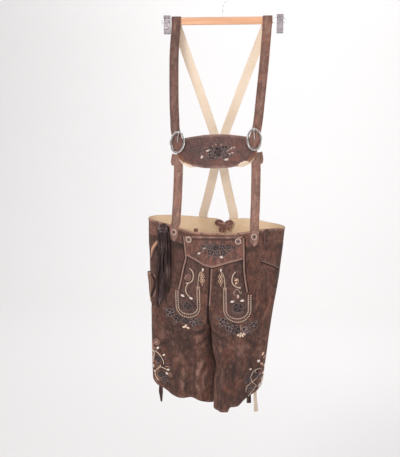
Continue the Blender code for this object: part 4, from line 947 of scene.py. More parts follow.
def hem_z(side, face, share):
    across = 3 * share**2 - 2 * share**3
    return look_up(HEMS, "share", f"{SIDES[side]}_{FACES[face]}", across)


def wear_and_light_at(side, face, share, z):
    """Wear and painted light at a place. Random lumps of wear, a paler side seam, and fold and crease ridges
    paler (wear and painted highlight, +); painted shade in their troughs, in the valley between the legs,
    under the waistband, over the hips and below the brace's end and lace bundle (-).
    """
    at = Vector((side * share * FOLD_SPAN, face, z * 0.8))
    lumps = 0.55 * noise.noise(at * 19.0) + 0.4 * noise.noise(at * 48.0)
    # The side seam is a little paler; painted shade darkens the valley between the legs.
    near_seam = (
        0.22 * (1 - ease((1 - share) / 0.05)) - 0.75 * (1 - ease(share / 0.1)) * ease((-0.935 - z) / 0.07)
    )
    # Painted shade under the waistband and over the hips towards the side seam.
    band_shadow = -0.5 * bell(z - waist_z(side, face, share) + WAISTBAND + 0.012, 0.014)
    hip_shade = -0.3 * ease((share - 0.66) / 0.2) * bell(z + 0.86, 0.11)
    # Painted shadow of the brace's end and the lace bundle on the front right.
    lace_shadow = 0.0
    if face == FRONT:
        lace_shadow = -0.8 * math.exp(-((((at.x + 0.112) / 0.02) ** 2) + ((z + 0.775) / 0.04) ** 2))
    # Painted shade along the left side seam near the crotch.
    if face == FRONT and side == LEFT:
        near_seam -= 1.0 * (1 - ease((1 - share) / 0.045)) * bell(z + 1.04, 0.075)
    # Ridges of creases and folds are paler, wear and painted highlight; their troughs get painted shade.
    sharp = crease_height(side, face, share, z)
    folded = (relief(side, face, share, z) - sharp) / 0.016
    return max(-1.0, min(1.0, sharp / 0.0022 + folded + lumps + near_seam + band_shadow + hip_shade + lace_shadow))


print("waist at the front:", tuple(round(c, 4) for c in on_front(0.0, -0.72, 0.0)))

# %% [markdown]
# ## Making pieces
# A piece is gathered as points and faces, then turned into one mesh object. It keeps a list of finishes, a
# number for each point of wear and painted light, and the solid it stands for. `shell` makes a leather wall
# with its own finish outside, inside and on the cut edge; `strip` does the same for straps and laces; `tube`
# makes thread.


# %% Gathering points into one piece
# The places of a leather piece's finishes: nap, flesh, cut edge and the thread of its stitches.
NAP, FLESH, EDGE, STITCH = range(4)
# How far a cut edge bulges, as a share of the leather's thickness.
EDGE_ROLL = 0.25
SHARP_ANGLE = 50


class Piece:
    """Points, faces, finishes and the marks of wear and painted light of one piece, until build() makes its
    object.
    """

    def __init__(self, *finishes):
        self.finishes, self.points, self.faces, self.kinds, self.wear_and_light = finishes, [], [], [], []

    def add(self, points, faces, kind=0, wear_and_light=0.0):
        """kind and the marks of wear and painted light are one number, or one for each face and each point.
        """
        first = len(self.points)
        self.points += points
        self.faces += [[first + i for i in face] for face in faces]
        self.kinds += kind if isinstance(kind, list) else [kind] * len(faces)
        self.wear_and_light += wear_and_light if isinstance(wear_and_light, list) else [wear_and_light] * len(points)

    def build(self, name, slot, replaced=()):
        mesh = bpy.data.meshes.new(name)
        mesh.from_pydata([tuple(p) for p in self.points], [], self.faces)
        for finish in self.finishes:
            mesh.materials.append(finish)
        mesh.polygons.foreach_set("material_index", self.kinds)
        mesh.attributes.new("wear", "FLOAT", "POINT").data.foreach_set("value", self.wear_and_light)
        shape = bmesh.new()
        shape.from_mesh(mesh)
        bmesh.ops.recalc_face_normals(shape, faces=shape.faces)
        shape.to_mesh(mesh)
        shape.free()
        mesh.shade_smooth()
        mesh.set_sharp_from_angle(angle=math.radians(SHARP_ANGLE))
        obj = bpy.data.objects.new(name, mesh)
        bpy.context.scene.collection.objects.link(obj)
        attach(obj, "root")
        if replaced:
            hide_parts(*replaced)
        return obj


def surface_area(obj):
    return sum(face.area for face in obj.data.polygons)


def length_of(line):
    return sum((b - a).length for a, b in zip(line, line[1:]))


def skin(count, size, closed=False):
    """Faces between count rings of size points each, and two end caps unless the rings close up."""
    faces = []
    for i in range(count if closed else count - 1):
        a, b = i * size, (i + 1) % count * size
        faces += [[a + j, a + (j + 1) % size, b + (j + 1) % size, b + j] for j in range(size)]
    if not closed:
        faces += [list(range(size))[::-1], [(count - 1) * size + j for j in range(size)]]
    return faces


# %% Walls, strips and tubes
def wall_into(piece, rows, place, inner, outer, wear_and_light=None):
    """A leather wall over a grid of places (a, b), with a rounded cut edge."""
    tall, wide = len(rows), len(rows[0])
    outside = [place(a, b, outer) for row in rows for a, b in row]
    inside = [place(a, b, inner) for row in rows for a, b in row]
    rim = [(0, j) for j in range(wide)] + [(i, wide - 1) for i in range(1, tall)]
    rim += [(tall - 1, j) for j in range(wide - 2, -1, -1)] + [(i, 0) for i in range(tall - 2, 0, -1)]
    middle = []
    for i, j in rim:
        here, within = i * wide + j, min(max(i, 1), tall - 2) * wide + min(max(j, 1), wide - 2)
        away = (outside[here] - outside[within]).normalized() * abs(outer - inner) * EDGE_ROLL
        middle.append((outside[here] + inside[here]) / 2 + away)
    faces, kind = [], []
    for i in range(tall - 1):
        for j in range(wide - 1):
            quad = [i * wide + j, i * wide + j + 1, (i + 1) * wide + j + 1, (i + 1) * wide + j]
            faces += [quad, [tall * wide + k for k in reversed(quad)]]
            kind += [NAP, FLESH]
    count = len(rim)
    for k, (i, j) in enumerate(rim):
        after = (k + 1) % count
        here, there = i * wide + j, rim[after][0] * wide + rim[after][1]
        mid_here, mid_there = 2 * tall * wide + k, 2 * tall * wide + after
        faces += [
            [here, mid_here, mid_there, there], [mid_here, tall * wide + here, tall * wide + there, mid_there]
        ]
        kind += [EDGE, EDGE]
    marks = [wear_and_light(a, b) for row in rows for a, b in row] if wear_and_light else [0.0] * (tall * wide)
    piece.add(outside + inside + middle, faces, kind, marks + [0.0] * (tall * wide) + [0.25] * count)


def strip_into(piece, points, normals, widths, thick, across=8, wear_and_light=None, crown=0.3):
    """A flat strap or lace along a path, domed a little, with rounded edges and closed ends."""
    size, points_out, marks = 2 * (across + 1), [], []
    for i, p in enumerate(points):
        ahead = (points[min(i + 1, len(points) - 1)] - points[max(i - 1, 0)]).normalized()
        up = (normals[i] - ahead * normals[i].dot(ahead)).normalized()
        side = ahead.cross(up)
        for sign in (1, -1):
            for u in spread(-sign, sign, across + 1):
                rise = sign * thick / 2 * (1 - crown * abs(u) ** 6)
                points_out.append(p + side * u * widths[i] / 2 * (1 - 0.02 * abs(u)) + up * rise)
                marks.append(wear_and_light(i, u) if wear_and_light and sign > 0 else 0.0)
    kind = [EDGE if j in (across, size - 1) else NAP if j < across else FLESH for j in range(size)]
    piece.add(points_out, skin(len(points), size), kind * (len(points) - 1) + [EDGE, EDGE], marks)


def tube_into(piece, points, radius, kind=0, sides=6, wear_and_light=0.0, loop=False):
    """A round thread, wire or rope strand; radius is a number or one for each point."""
    count, normal, rings = len(points), None, []
    for i, p in enumerate(points):
        before, after = (i - 1, (i + 1) % count) if loop else (max(i - 1, 0), min(i + 1, count - 1))
        ahead = (points[after] - points[before]).normalized()
        if normal is None:
            normal = ahead.orthogonal().normalized()
        normal = (normal - ahead * normal.dot(ahead)).normalized()
        side, r = ahead.cross(normal), radius[i] if isinstance(radius, list) else radius
        for k in range(sides):
            turn = 2 * math.pi * k / sides
            rings.append(p + r * math.cos(turn) * normal + r * math.sin(turn) * side)
    piece.add(rings, skin(count, sides, loop), kind, wear_and_light)


def refined(points, normals, widths, step):
    """The same strap with points this close together."""
    lengths = [0.0]
    for a, b in zip(points, points[1:]):
        lengths.append(lengths[-1] + (b - a).length)
    line = smooth_path(points, max(4, round(lengths[-1] / step)))
    faces, wide, j = [], [], 0
    for i in range(len(line)):
        at = lengths[-1] * i / (len(line) - 1)
        while j < len(points) - 2 and lengths[j + 1] < at:
            j += 1
        part = (at - lengths[j]) / max(1e-9, lengths[j + 1] - lengths[j])
        faces.append(normals[j].lerp(normals[j + 1], part).normalized())
        wide.append(mix(widths[j], widths[j + 1], part))
    return line, faces, wide


# %% Needle and thread
SEAM_THREAD = 0.00028


def dash_into(piece, a, b, radius, kind=0, lifted=0.0, up=None):
    """One stitch: a short thread between two points that bows up a little and dives in at both ends."""
    middle = (a + b) / 2 + (up * lifted if up is not None else Vector((0, 0, 0)))
    tube_into(
        piece, [a, a.lerp(middle, 0.45), middle, b.lerp(middle, 0.45), b],
        [radius * 0.45, radius * 0.95, radius, radius * 0.95, radius * 0.45], kind, 5
    )


def ahead_at(path, i):
    """The direction of a path of (u, v) places at its point i."""
    return (Vector(path[min(i + 1, len(path) - 1)]) - Vector(path[max(i - 1, 0)])).normalized()


def path_points(path, step):
    """Places (u, v) this far apart along a smooth path on a surface."""
    rough = sum(math.dist(a, b) for a, b in zip(path, path[1:]))
    return [(p.x, p.y) for p in smooth_path([(u, v, 0) for u, v in path], max(3, round(rough / step) + 1))]


def sew_into(piece, ground, path, pitch=0.0032, length=0.0022, radius=SEAM_THREAD, kind=0, lift=0.0001):
    """A row of running stitches along a path on the ground, a function of (u, v, lift)."""
    line = path_points(path, pitch)
    for a, b in zip(line, line[1:]):
        share = length / pitch / 2
        start = [mix(a[k], b[k], 0.5 - share) for k in (0, 1)]
        end = [mix(a[k], b[k], 0.5 + share) for k in (0, 1)]
        p, q = ground(*start, lift), ground(*end, lift)
        dash_into(piece, p, q, radius, kind, radius * 0.6, (ground(*start, lift + 0.001) - p).normalized())


def cord_stitch_into(piece, ground, path, radius=0.0007, kind=0, lay=0.0034, lift=0.0002, step=0.0009):
    """Stem stitch: two strands twisted into a fine rope along a path."""
    line = path_points(path, step)
    centre = [ground(u, v, lift + radius * 0.6) for u, v in line]
    above = [ground(u, v, lift + radius * 0.6 + 0.001) for u, v in line]
    for phase in (0.0, math.pi):
        strand, run = [], 0.0
        for i, p in enumerate(centre):
            ahead = (centre[min(i + 1, len(centre) - 1)] - centre[max(i - 1, 0)]).normalized()
            up = (above[i] - p).normalized()
            side = ahead.cross(up)
            turn = 2 * math.pi * run / lay + phase
            strand.append(p + 0.5 * radius * (math.cos(turn) * up + math.sin(turn) * side))
            if i + 1 < len(centre):
                run += (centre[i + 1] - p).length
        tube_into(piece, strand, radius * 0.62, kind, 5)


def whip_into(piece, ground, path, pitch, across, radius, kind=0, lift=0.0003, slant=0.0011):
    """A row of short slanting stitches over an edge or a cord, with gaps between them."""
    line = path_points(path, pitch)
    for i, here in enumerate(line):
        ahead = ahead_at(line, i)
        reach = Vector((ahead.y, -ahead.x)) * across / 2 + ahead * slant
        ends = Vector(here) - reach, Vector(here) + reach
        up = (ground(*here, lift + 0.001) - ground(*here, lift)).normalized()
        dash_into(piece, ground(*ends[0], lift), ground(*ends[1], lift), radius, kind, radius * 0.9, up)


def leaf_into(
    piece, ground, at, angle, length, width, kind=0, lift=0.0002, thread_gap=0.00075, radius=0.00042
):
    """A satin-stitch leaf: slanting threads laid side by side from its vein out to each edge."""
    c, s = heading(angle)
    count = max(5, round(length / thread_gap))

    def spot(along, aside, high):
        return ground(at[0] + along * c - aside * s, at[1] + along * s + aside * c, lift + high)

    for edge in (-1, 1):
        for i in range(count):
            t = (i + 0.5) / count
            half = width / 2 * math.sin(math.pi * min(1.0, t) ** 0.8) ** 0.8
            along = (t - 0.5) * length
            reach = along + 0.55 * half + 0.0004
            a, b = spot(along - 0.0004, 0.0, 0.0003), spot(reach, edge * half, 0.0)
            up = (spot(along, 0.0, 0.0013) - a).normalized()
            dash_into(piece, a, b, radius, kind, 0.00035, up)


def rose_into(piece, ground, at, radius, kind=0, lift=0.0002, thread_radius=0.00055, rise=0.001):
    """A rolled rose: one thread wound in rings, highest in the middle."""
    line, turns = [], radius / (thread_radius * 1.7)
    steps_round = 14
    for i in range(int(turns * steps_round)):
        t = i / (turns * steps_round)
        a, r = 2 * math.pi * i / steps_round, radius * t
        wobble = 1 + 0.1 * math.sin(5 * a + 9 * t)
        line.append(
            ground(
                at[0] + r * wobble * math.cos(a), at[1] + r * wobble * math.sin(a), lift + rise * (1 - t * t)
            )
        )
    if len(line) > 4:
        tube_into(piece, line, thread_radius, kind, 5)


print("tools for walls, strips and stitches are ready")


# %% [markdown]
# ## The legs and the waistband
# The breeches are cut from four panels of hide, nap outside and cream flesh inside. The seams are butted
# and stitched. Many fine rows let the panels take the folds and creases. The stitches are real short threads,
# not a drawn line, because a dashed line with no height looks printed.

# %% Four leg panels
PANEL_COLUMNS = 61
ROWS_ABOVE, ROWS_BELOW = 58, 50
NOTCH_OFF = 0.014
NOTCH_HALF = 0.02
NOTCH_DEPTH = 0.062
NOTCH_TOP = -0.703
SLIT_HEIGHT = 0.065
SLIT_SHARE = 0.022


def notch_edge(side, z):
    """How far out the back's inner edge lies at this height: it opens into a V at the top."""
    open_share = min(1.0, max(0.0, (z - NOTCH_TOP + NOTCH_DEPTH) / NOTCH_DEPTH))
    return max(SEAM / 2, side * NOTCH_OFF * ease(open_share * 3) + NOTCH_HALF * open_share)


def panel_rows(side, face):
    """Rows of (share, z) from under the waistband to the hem, with one row at the crotch."""
    rows = []
    for i in range(ROWS_ABOVE + ROWS_BELOW + 1):
        row = []
        for share in spread(0.0, 1.0, PANEL_COLUMNS):
            top = waist_z(side, face, share) - WAISTBAND - SEAM
            hem = hem_z(side, face, share)
            if i <= ROWS_ABOVE:
                run = i / ROWS_ABOVE
                z = mix(top, CROTCH_Z, run * (1.25 - 0.25 * run))
            else:
                z = mix(CROTCH_Z, hem, (i - ROWS_ABOVE) / ROWS_BELOW)
            inner = 0.0
            if face == BACK:
                inner = share_at(side, face, notch_edge(side, z), z)
            slit = SLIT_SHARE * min(1.0, max(0.0, 1 - (z - hem_z(side, face, 1.0)) / SLIT_HEIGHT))
            row.append((mix(inner, 1 - slit, share), z))
        rows.append(row)
    return rows


def lay_flat(obj, flat, area):
    """Prints what a piece of hide measures, with the size that it was cut to and its given area."""
    measured = surface_area(obj) / 2
    print(f"{obj.name}: {measured:.4f} m2 of leather, cut {flat[0]:.3f} x {flat[1]:.3f}, area {area}")


PANEL_CUTS = {
    ("front", RIGHT): ((0.3, 0.56), 0.127),
    ("front", LEFT): ((0.29, 0.57), 0.12),
    ("back", RIGHT): ((0.3, 0.56), 0.129),
    ("back", LEFT): ((0.3, 0.56), 0.121),
}


def leg_place(side, face):
    def place(share, z, lift):
        point = surface(side, face, share, z, lift)
        point.y += face * SEAM / 2
        return point

    return place


for side, who in SIDES.items():
    for face, word in FACES.items():
        piece = Piece(brown_nubuck, cream_flesh, cut_edge, seam_thread)
        place = leg_place(side, face)
        rows = panel_rows(side, face)
        wall_into(piece, rows, place, -LEATHER, 0.0, wear_and_light=partial(wear_and_light_at, side, face))
        # Twin seams beside the side seam, and one row above the hem.
        for shift in (0.012, 0.02):
            path = [(row[-1][0] - shift, row[-1][1]) for row in rows]
            sew_into(piece, place, path, kind=STITCH)
        hem = [(a, b + 0.006) for a, b in rows[-1]]
        sew_into(piece, place, [hem[j] for j in range(2, len(hem) - 2)], kind=STITCH)
        obj = piece.build(f"leather_{word}_{who}", "brown_leather", [f"{word}_{who}"])
        flat, area = PANEL_CUTS[word, side]
        lay_flat(obj, flat, area)

# %% Waistband with a folded edge
drops = [0.0, 0.0008, 0.002, 0.004, *spread(0.0065, WAISTBAND - 0.004, 9)]
drops += [WAISTBAND - 0.002, WAISTBAND - 0.0006, WAISTBAND]
BAND_INSIDE = -LEATHER - 0.0004


def band_roll(drop):
    """The folded top edge is plump, and the sewn lower edge is pressed a little into the leather."""
    return 0.001 * bell(drop - 0.0035, 0.003) - 0.0006 * ease((drop - WAISTBAND + 0.003) / 0.003)


def waist_front(step, drop, lift):
    side = LEFT if step >= 0 else RIGHT
    z = waist_z(side, FRONT, abs(step)) - drop
    point = surface(side, FRONT, abs(step), z, lift + (band_roll(drop) if lift >= 0 else 0.0))
    point.y -= SEAM / 2
    return point


def band_wear_and_light(step, drop):
    # The folded top edge is paler: painted highlight.
    edge = 1.1 * bell(drop - 0.002, 0.003)
    # Near the brace at the right of the front the band is darker: painted shadow of the brace and the lace
    # bundle.
    edge -= 1.1 * bell(step + 0.45, 0.13) * ease((drop - 0.008) / 0.008)
    return (
        edge + 0.35 * noise.noise(Vector((step * 9, drop * 60, 2.0)))
        - 0.5 * ease((drop - WAISTBAND + 0.004) / 0.004)
    )


def waist_back(side):
    def place(share, drop, lift):
        z = waist_z(side, BACK, share) - drop
        inner = share_at(side, BACK, notch_edge(side, z), z)
        point = surface(side, BACK, mix(inner, 1.0, share), z, lift + (band_roll(drop) if lift >= 0 else 0.0))
        point.y += SEAM / 2
        return point

    return place


def band_stitches(piece, place, low, high):
    for drop in (0.0068, 0.0092, WAISTBAND - 0.006, WAISTBAND - 0.0035):
        line = spread(low, high, max(20, round((high - low) * 0.28 / 0.0034)))
        for a, b in zip(line, line[1:]):
            p, q = place(mix(a, b, 0.18), drop, 0.0002), place(mix(a, b, 0.82), drop, 0.0002)
            dash_into(
                piece, p, q, SEAM_THREAD, STITCH, 0.00016,
                (place(a, drop, 0.002) - place(a, drop, 0.0)).normalized()
            )


piece = Piece(band_nubuck, cream_flesh, cut_edge, seam_thread)
rows = [[(step, drop) for step in spread(-1.0, 1.0, 121)] for drop in drops]
wall_into(piece, rows, waist_front, BAND_INSIDE, 0.0, wear_and_light=band_wear_and_light)
band_stitches(piece, waist_front, -0.985, 0.985)
lay_flat(piece.build("leather_waistband_front", "brown_leather", ["waistband_front"]), (0.52, 0.048), 0.024)

for side, who in SIDES.items():
    piece = Piece(band_nubuck, cream_flesh, cut_edge, seam_thread)
    rows = [[(share, drop) for share in spread(0.0, 1.0, 57)] for drop in drops]
    wall_into(piece, rows, waist_back(side), BAND_INSIDE, 0.0, wear_and_light=band_wear_and_light)
    band_stitches(piece, waist_back(side), 0.02, 0.985)
    lay_flat(
        piece.build(f"leather_waistband_back_{who}", "brown_leather", [f"waistband_back_{who}"]),
        (0.25, 0.048), 0.0114
    )

# %% Gusset behind the laced notch
rows = []
for z in spread(NOTCH_TOP - 0.016, NOTCH_TOP - NOTCH_DEPTH - 0.012, 20):
    edge = {side: notch_edge(side, z) + 0.007 for side in SIDES}
    rows.append([(off, z) for off in spread(-edge[RIGHT], edge[LEFT], 24)])


def pleat(off, z):
    return math.sin(off * 420 + z * 90)


def pleated(off, z, lift):
    """The gusset buckles softly where the lace pulls it together."""
    return on_back(off, z, lift - 0.0005 * (1 + pleat(off, z)))


piece = Piece(brown_nubuck, cream_flesh, cut_edge)
wall_into(piece, rows, pleated, -LEATHER - 0.0023, -LEATHER - 0.0008, wear_and_light=lambda off, z: 0.5 * pleat(off, z))
lay_flat(piece.build("leather_gusset", "brown_leather", ["back_gusset"]), (0.068, 0.054), 0.0018)

# %% [markdown]
# ## The drop front
# The flap buttons up to the waist. It is two darker lobes, each framed by a corded band, on either side of
# the centre seam, with a yoke across the top. Every layer is lifted a hide's thickness above the one below,
# so the light catches true edges, and the cords and cross stitches of the bands are wound thread.

# %% Flap tables
FLAP_TOP, FLAP_TILT = -0.7272, 0.025
BAND_WIDTH, BAND_FOOT = 0.01, 0.0145
FLAP_LIFTS = (LIFT, LIFT + 0.0016)
PIPE_WIDTH = 0.0044
CENTRE_PIPE = 0.004
STRIP_END = -0.945

Lobe = namedtuple("Lobe", "off z half arm_top strip_top")
LOBES = {
    RIGHT: Lobe(0.0757, -0.952, 0.0388, -0.905, -0.8085),
    LEFT: Lobe(0.0757, -0.956, 0.0418, -0.91, -0.813),
}

# How far out the piping on each side of the flap lies, by height.
FLAP_SIDE = table_of(
    "z right left",
    (-0.73, 0.086, 0.093),
    (-0.76, 0.0823, 0.0943),
    (-0.79, 0.0795, 0.0951),
    (-0.8035, 0.0807, 0.0952),
    (-0.8227, 0.0857, 0.0956),
    (-0.843, 0.0905, 0.0974),
    (-0.869, 0.096, 0.1008),
    (-0.898, 0.1035, 0.1052),
)

YOKE_EDGE = table_of(
    "off z",
    (-0.08, -0.787),
    (-0.061, -0.796),
    (-0.043, -0.8055),
    (-0.027, -0.815),
    (-0.012, -0.8205),
    (0.0, -0.8219),
    (0.012, -0.8195),
    (0.03, -0.8137),
    (0.054, -0.806),
    (0.072, -0.8005),
    (0.093, -0.7945),
)


def band_width(angle):
    """The band is wider round the bottom of the lobe; the angle runs from 0 to 180 round the arc."""
    return mix(BAND_WIDTH, BAND_FOOT, math.sin(math.radians(angle)) ** 2)


def lobe_half(side, z):
    """Half the lobe's width inside its band, at this height."""
    lobe = LOBES[side]
    reach = lobe.half - BAND_WIDTH - 2 * SEAM
    fall = lobe.half - BAND_FOOT - 2 * SEAM
    return reach * math.sqrt(max(0.0, 1 - (max(0.0, lobe.z - z) / fall) ** 2))


def pipe_out(side, z):
    return look_up(FLAP_SIDE, "z", SIDES[side], z) - PIPE_WIDTH / 2 - 3 * SEAM


def flap_out(side, z):
    lobe = LOBES[side].off + lobe_half(side, z)
    return lobe if z < FLAP_SIDE[-1].z else min(pipe_out(side, z), lobe)


def flap_in(side, z):
    return LOBES[side].off - lobe_half(side, z)


def flap_top(off):
    return FLAP_TOP + FLAP_TILT * off


# %% Lobes and centre strips
FLAP_TOP_LIFT = FLAP_LIFTS[1]


def flap_ground(off, z, lift):
    """The top of the flap's leather, to sew on."""
    return on_front(off, z, FLAP_TOP_LIFT + lift)


def dull(off, z):
    return 0.5 * noise.noise(Vector((off * 45, 3.0, z * 45)))


for side, who in SIDES.items():
    lobe = LOBES[side]
    fall = lobe.half - BAND_FOOT - 2 * SEAM
    turn = FLAP_SIDE[-1].z
    heights = spread(FLAP_TOP - 0.004, turn, 46) + spread(turn - 0.003, lobe.z, 14)
    heights += [lobe.z - fall * math.sin(math.radians(t)) for t in spread(5, 83, 17)]
    rows = [[(side * off, z) for off in spread(flap_in(side, z), flap_out(side, z), 22)] for z in heights]
    piece = Piece(lobe_nubuck, cream_flesh, cut_edge)
    wall_into(piece, rows, on_front, *FLAP_LIFTS, wear_and_light=dull)
    lay_flat(
        piece.build(f"leather_lobe_{who}", "dark_leather", [f"flap_{who}"]), (0.066, 0.262),
        0.011 if side == RIGHT else 0.0139
    )

    edge = lobe.off - lobe.half - 2 * SEAM
    rows = []
    for z in spread(FLAP_TOP - 0.004, STRIP_END, 60):
        shift = centre_x(z) - CENTRE_X
        rows.append([(off, z) for off in spread(shift + side * (CENTRE_PIPE / 2 + SEAM), side * edge, 12)])
    piece = Piece(brown_nubuck, cream_flesh, cut_edge)
    wall_into(
        piece, rows, on_front, *FLAP_LIFTS,
        wear_and_light=lambda off, z: dull(off, z) - 0.15 * ease((-0.905 - z) / 0.04)
    )
    lay_flat(
        piece.build(f"leather_centre_strip_{who}", "brown_leather", [f"centre_strip_{who}"]), (0.036, 0.216),
        0.0073
    )


# %% Corded bands and piping
def sweep_into(piece, path, profile, ground, scales=None, kind=0, wear_and_light=None):
    """Sweeps a profile of (across, lift) along a path of (off, z) places, with closed ends."""
    count, size, points, marks = len(path), len(profile), [], []
    for i, here in enumerate(path):
        ahead = ahead_at(path, i)
        side = Vector((ahead.y, -ahead.x)) * (scales[i] if scales else 1)
        points += [ground(here[0] + side.x * a, here[1] + side.y * a, lift) for a, lift in profile]
        marks += [wear_and_light(i, a) if wear_and_light else 0.0 for a, _ in profile]
    piece.add(points, skin(count, size), kind, marks)


def band_path(side):
    """(off, z, width) along the band: outer arm, the arc and the long inner arm."""
    lobe = LOBES[side]
    arm = lobe.half - BAND_WIDTH / 2
    path = [(lobe.off + arm, z, BAND_WIDTH) for z in spread(lobe.arm_top, lobe.z + 0.001, 22)]
    for t in spread(0, 180, 73):
        c, s = heading(t)
        width = band_width(t)
        path.append((lobe.off + (lobe.half - width / 2) * c, lobe.z - (lobe.half - width / 2) * s, width))
    path += [(lobe.off - arm, z, BAND_WIDTH) for z in spread(lobe.z + 0.002, lobe.strip_top, 70)]
    return [(side * off, z, width) for off, z, width in path]


def beside(path, share):
    """The path moved across the band by a share of its width."""
    moved = []
    for i, (off, z, width) in enumerate(path):
        before, after = path[max(i - 1, 0)], path[min(i + 1, len(path) - 1)]
        ahead = Vector((after[0] - before[0], after[1] - before[1])).normalized()
        moved.append((off + ahead.y * share * width, z - ahead.x * share * width))
    return moved


BAND_LOW, BAND_RIDGE = LIFT + 0.0011, LIFT + 0.002
CORD_TOP = -0.886
for side, who in SIDES.items():
    path = band_path(side)
    piece = Piece(lobe_nubuck, beige_thread, dark_thread, seam_thread)
    half = [(0.12, BAND_LOW + 0.0002), (0.28, BAND_LOW), (0.36, BAND_RIDGE - 0.0002)]
    half += [(0.43, BAND_RIDGE - 0.0004), (0.5, BAND_LOW), (0.5, LIFT)]
    profile = [(-a, lift) for a, lift in reversed(half)] + half
    sweep_into(
        piece, [(off, z) for off, z, _ in path], profile, on_front, [width for *_, width in path],
        wear_and_light=lambda i, a: 0.5 * abs(a)
    )
    corded = [place for place in path if place[1] < CORD_TOP or abs(place[0]) > LOBES[side].off]
    for share in (-0.36, 0.36):
        row = beside(corded, share)[::2]
        whip_into(piece, on_front, row, 0.0062, 0.0026, 0.0013, 1, BAND_RIDGE - 0.0004, 0.0017)
    inner, outer = beside(path, -0.24), beside(path, 0.24)
    for i in range(1, len(path) - 1):
        if i % 2 or (path[i][1] > CORD_TOP and abs(path[i][0]) < LOBES[side].off):
            continue
        a, b = on_front(*inner[i], BAND_LOW + 0.0001), on_front(*outer[i], BAND_LOW + 0.0001)
        dash_into(piece, a, b, 0.00062, 2 + i % 4 // 2, 0.00035, normal_at(on_front, *inner[i]))
    piece.build(f"corded_band_{who}", "brown_leather", [f"flap_band_{who}"])


def bead_into(piece, path, width, height, ground, low=LIFT, kind=0, step=0.003, twist=0.0):
    """A half-round cord of leather along a path of (off, z) places, ribbed a little if twisted."""
    flat = path_points(path, step)
    turns = spread(0, 180, 9)
    size, points, marks = len(turns), [], []
    for i, here in enumerate(flat):
        ahead = ahead_at(flat, i)
        side = Vector((ahead.y, -ahead.x))
        plump = 1 + twist * math.sin(i * 2.4)
        for t in turns:
            a, h = -math.cos(math.radians(t)) * width / 2, math.sin(math.radians(t)) * height * plump
            points.append(ground(here[0] + side.x * a, here[1] + side.y * a, low + h))
            marks.append(math.sin(math.radians(t)) * 0.6 * plump - 0.2)
    piece.add(points, skin(len(flat), size), kind, marks)


for side, who in SIDES.items():
    path = [(side * getattr(row, who), row.z) for row in FLAP_SIDE]
    piece = Piece(piping_hide, shadow_hide)
    bead_into(piece, path, PIPE_WIDTH + 0.0018, 0.003, on_front, step=0.0016, twist=0.06)
    # Near-black strips on both sides of each piping are painted shadow.
    for aside in (-1, 1):
        gutter = [(off + aside * (PIPE_WIDTH / 2 + 0.0021), z) for off, z in path]
        bead_into(
            piece, gutter, 0.0034, 0.0008, on_front, 0.0006 if aside == side else FLAP_TOP_LIFT, 1, 0.004
        )
    piece.build(f"piping_{who}", "brown_leather", [f"flap_piping_{who}"])
piece = Piece(piping_hide)
bead_into(
    piece, [(centre_x(z) - CENTRE_X, z) for z in spread(-0.826, STRIP_END, 12)], CENTRE_PIPE, 0.0026,
    on_front, step=0.0016, twist=0.06
)
piece.build("piping_centre", "brown_leather", ["centre_piping"])

# Beside the piping, where the two halves meet, a near-black strip is painted shadow in the groove.
piece = Piece(shadow_hide)
for top, bottom, low in ((-0.824, STRIP_END, FLAP_TOP_LIFT - 0.0006), (STRIP_END, -1.016, 0.0008)):
    groove = [(centre_x(z) - CENTRE_X - 0.0048, z) for z in spread(top, bottom, 24)]
    sweep_into(
        piece, groove, [(-0.5, low), (-0.3, low + 0.0012), (0.3, low + 0.0012), (0.5, low)], on_front,
        [0.006] * len(groove)
    )
piece.build("seam_groove", "dark_leather")

# %% Yoke
YOKE_LIFTS = (FLAP_TOP_LIFT + 0.0006, FLAP_TOP_LIFT + 0.002)
rows = []
for run in spread(0.0, 1.0, 36):
    row = []
    z = mix(FLAP_TOP, -0.795, run)
    left_end, right_end = -pipe_out(RIGHT, z) + 0.0004, pipe_out(LEFT, z) - 0.0004
    for off in spread(left_end, right_end, 70):
        row.append((off, mix(flap_top(off), look_up(YOKE_EDGE, "off", "z", off), run)))
    rows.append(row)


def yoke_drop(off, z):
    """How far a place lies above the yoke's lower edge."""
    return z - look_up(YOKE_EDGE, "off", "z", off)


def yoke_place(off, z, lift):
    roll = 0.0009 * bell(yoke_drop(off, z) - 0.003, 0.0025) if lift > YOKE_LIFTS[0] + 0.0001 else 0.0
    return on_front(off, z, lift + roll)


def yoke_wear_and_light(off, z):
    # Paler along the rolled lower edge and just under the folded top, painted highlight; darker in a line
    # below that fold, painted shadow.
    rolled = 1.0 * bell(yoke_drop(off, z) - 0.003, 0.003) * (0.7 + 0.3 * ease(off / 0.05))
    below = flap_top(off) - z
    folded = 0.8 * bell(below - 0.002, 0.003) - 1.2 * bell(below - 0.0085, 0.0032)
    return max(-1.0, min(1.0, rolled + folded + dull(off, z) * 0.8))


def yoke_ground(off, z, lift):
    return yoke_place(off, z, YOKE_LIFTS[1] + lift)


piece = Piece(yoke_nubuck, cream_flesh, cut_edge, seam_thread, piping_hide, shadow_hide)
wall_into(piece, rows, yoke_place, *YOKE_LIFTS, wear_and_light=yoke_wear_and_light)
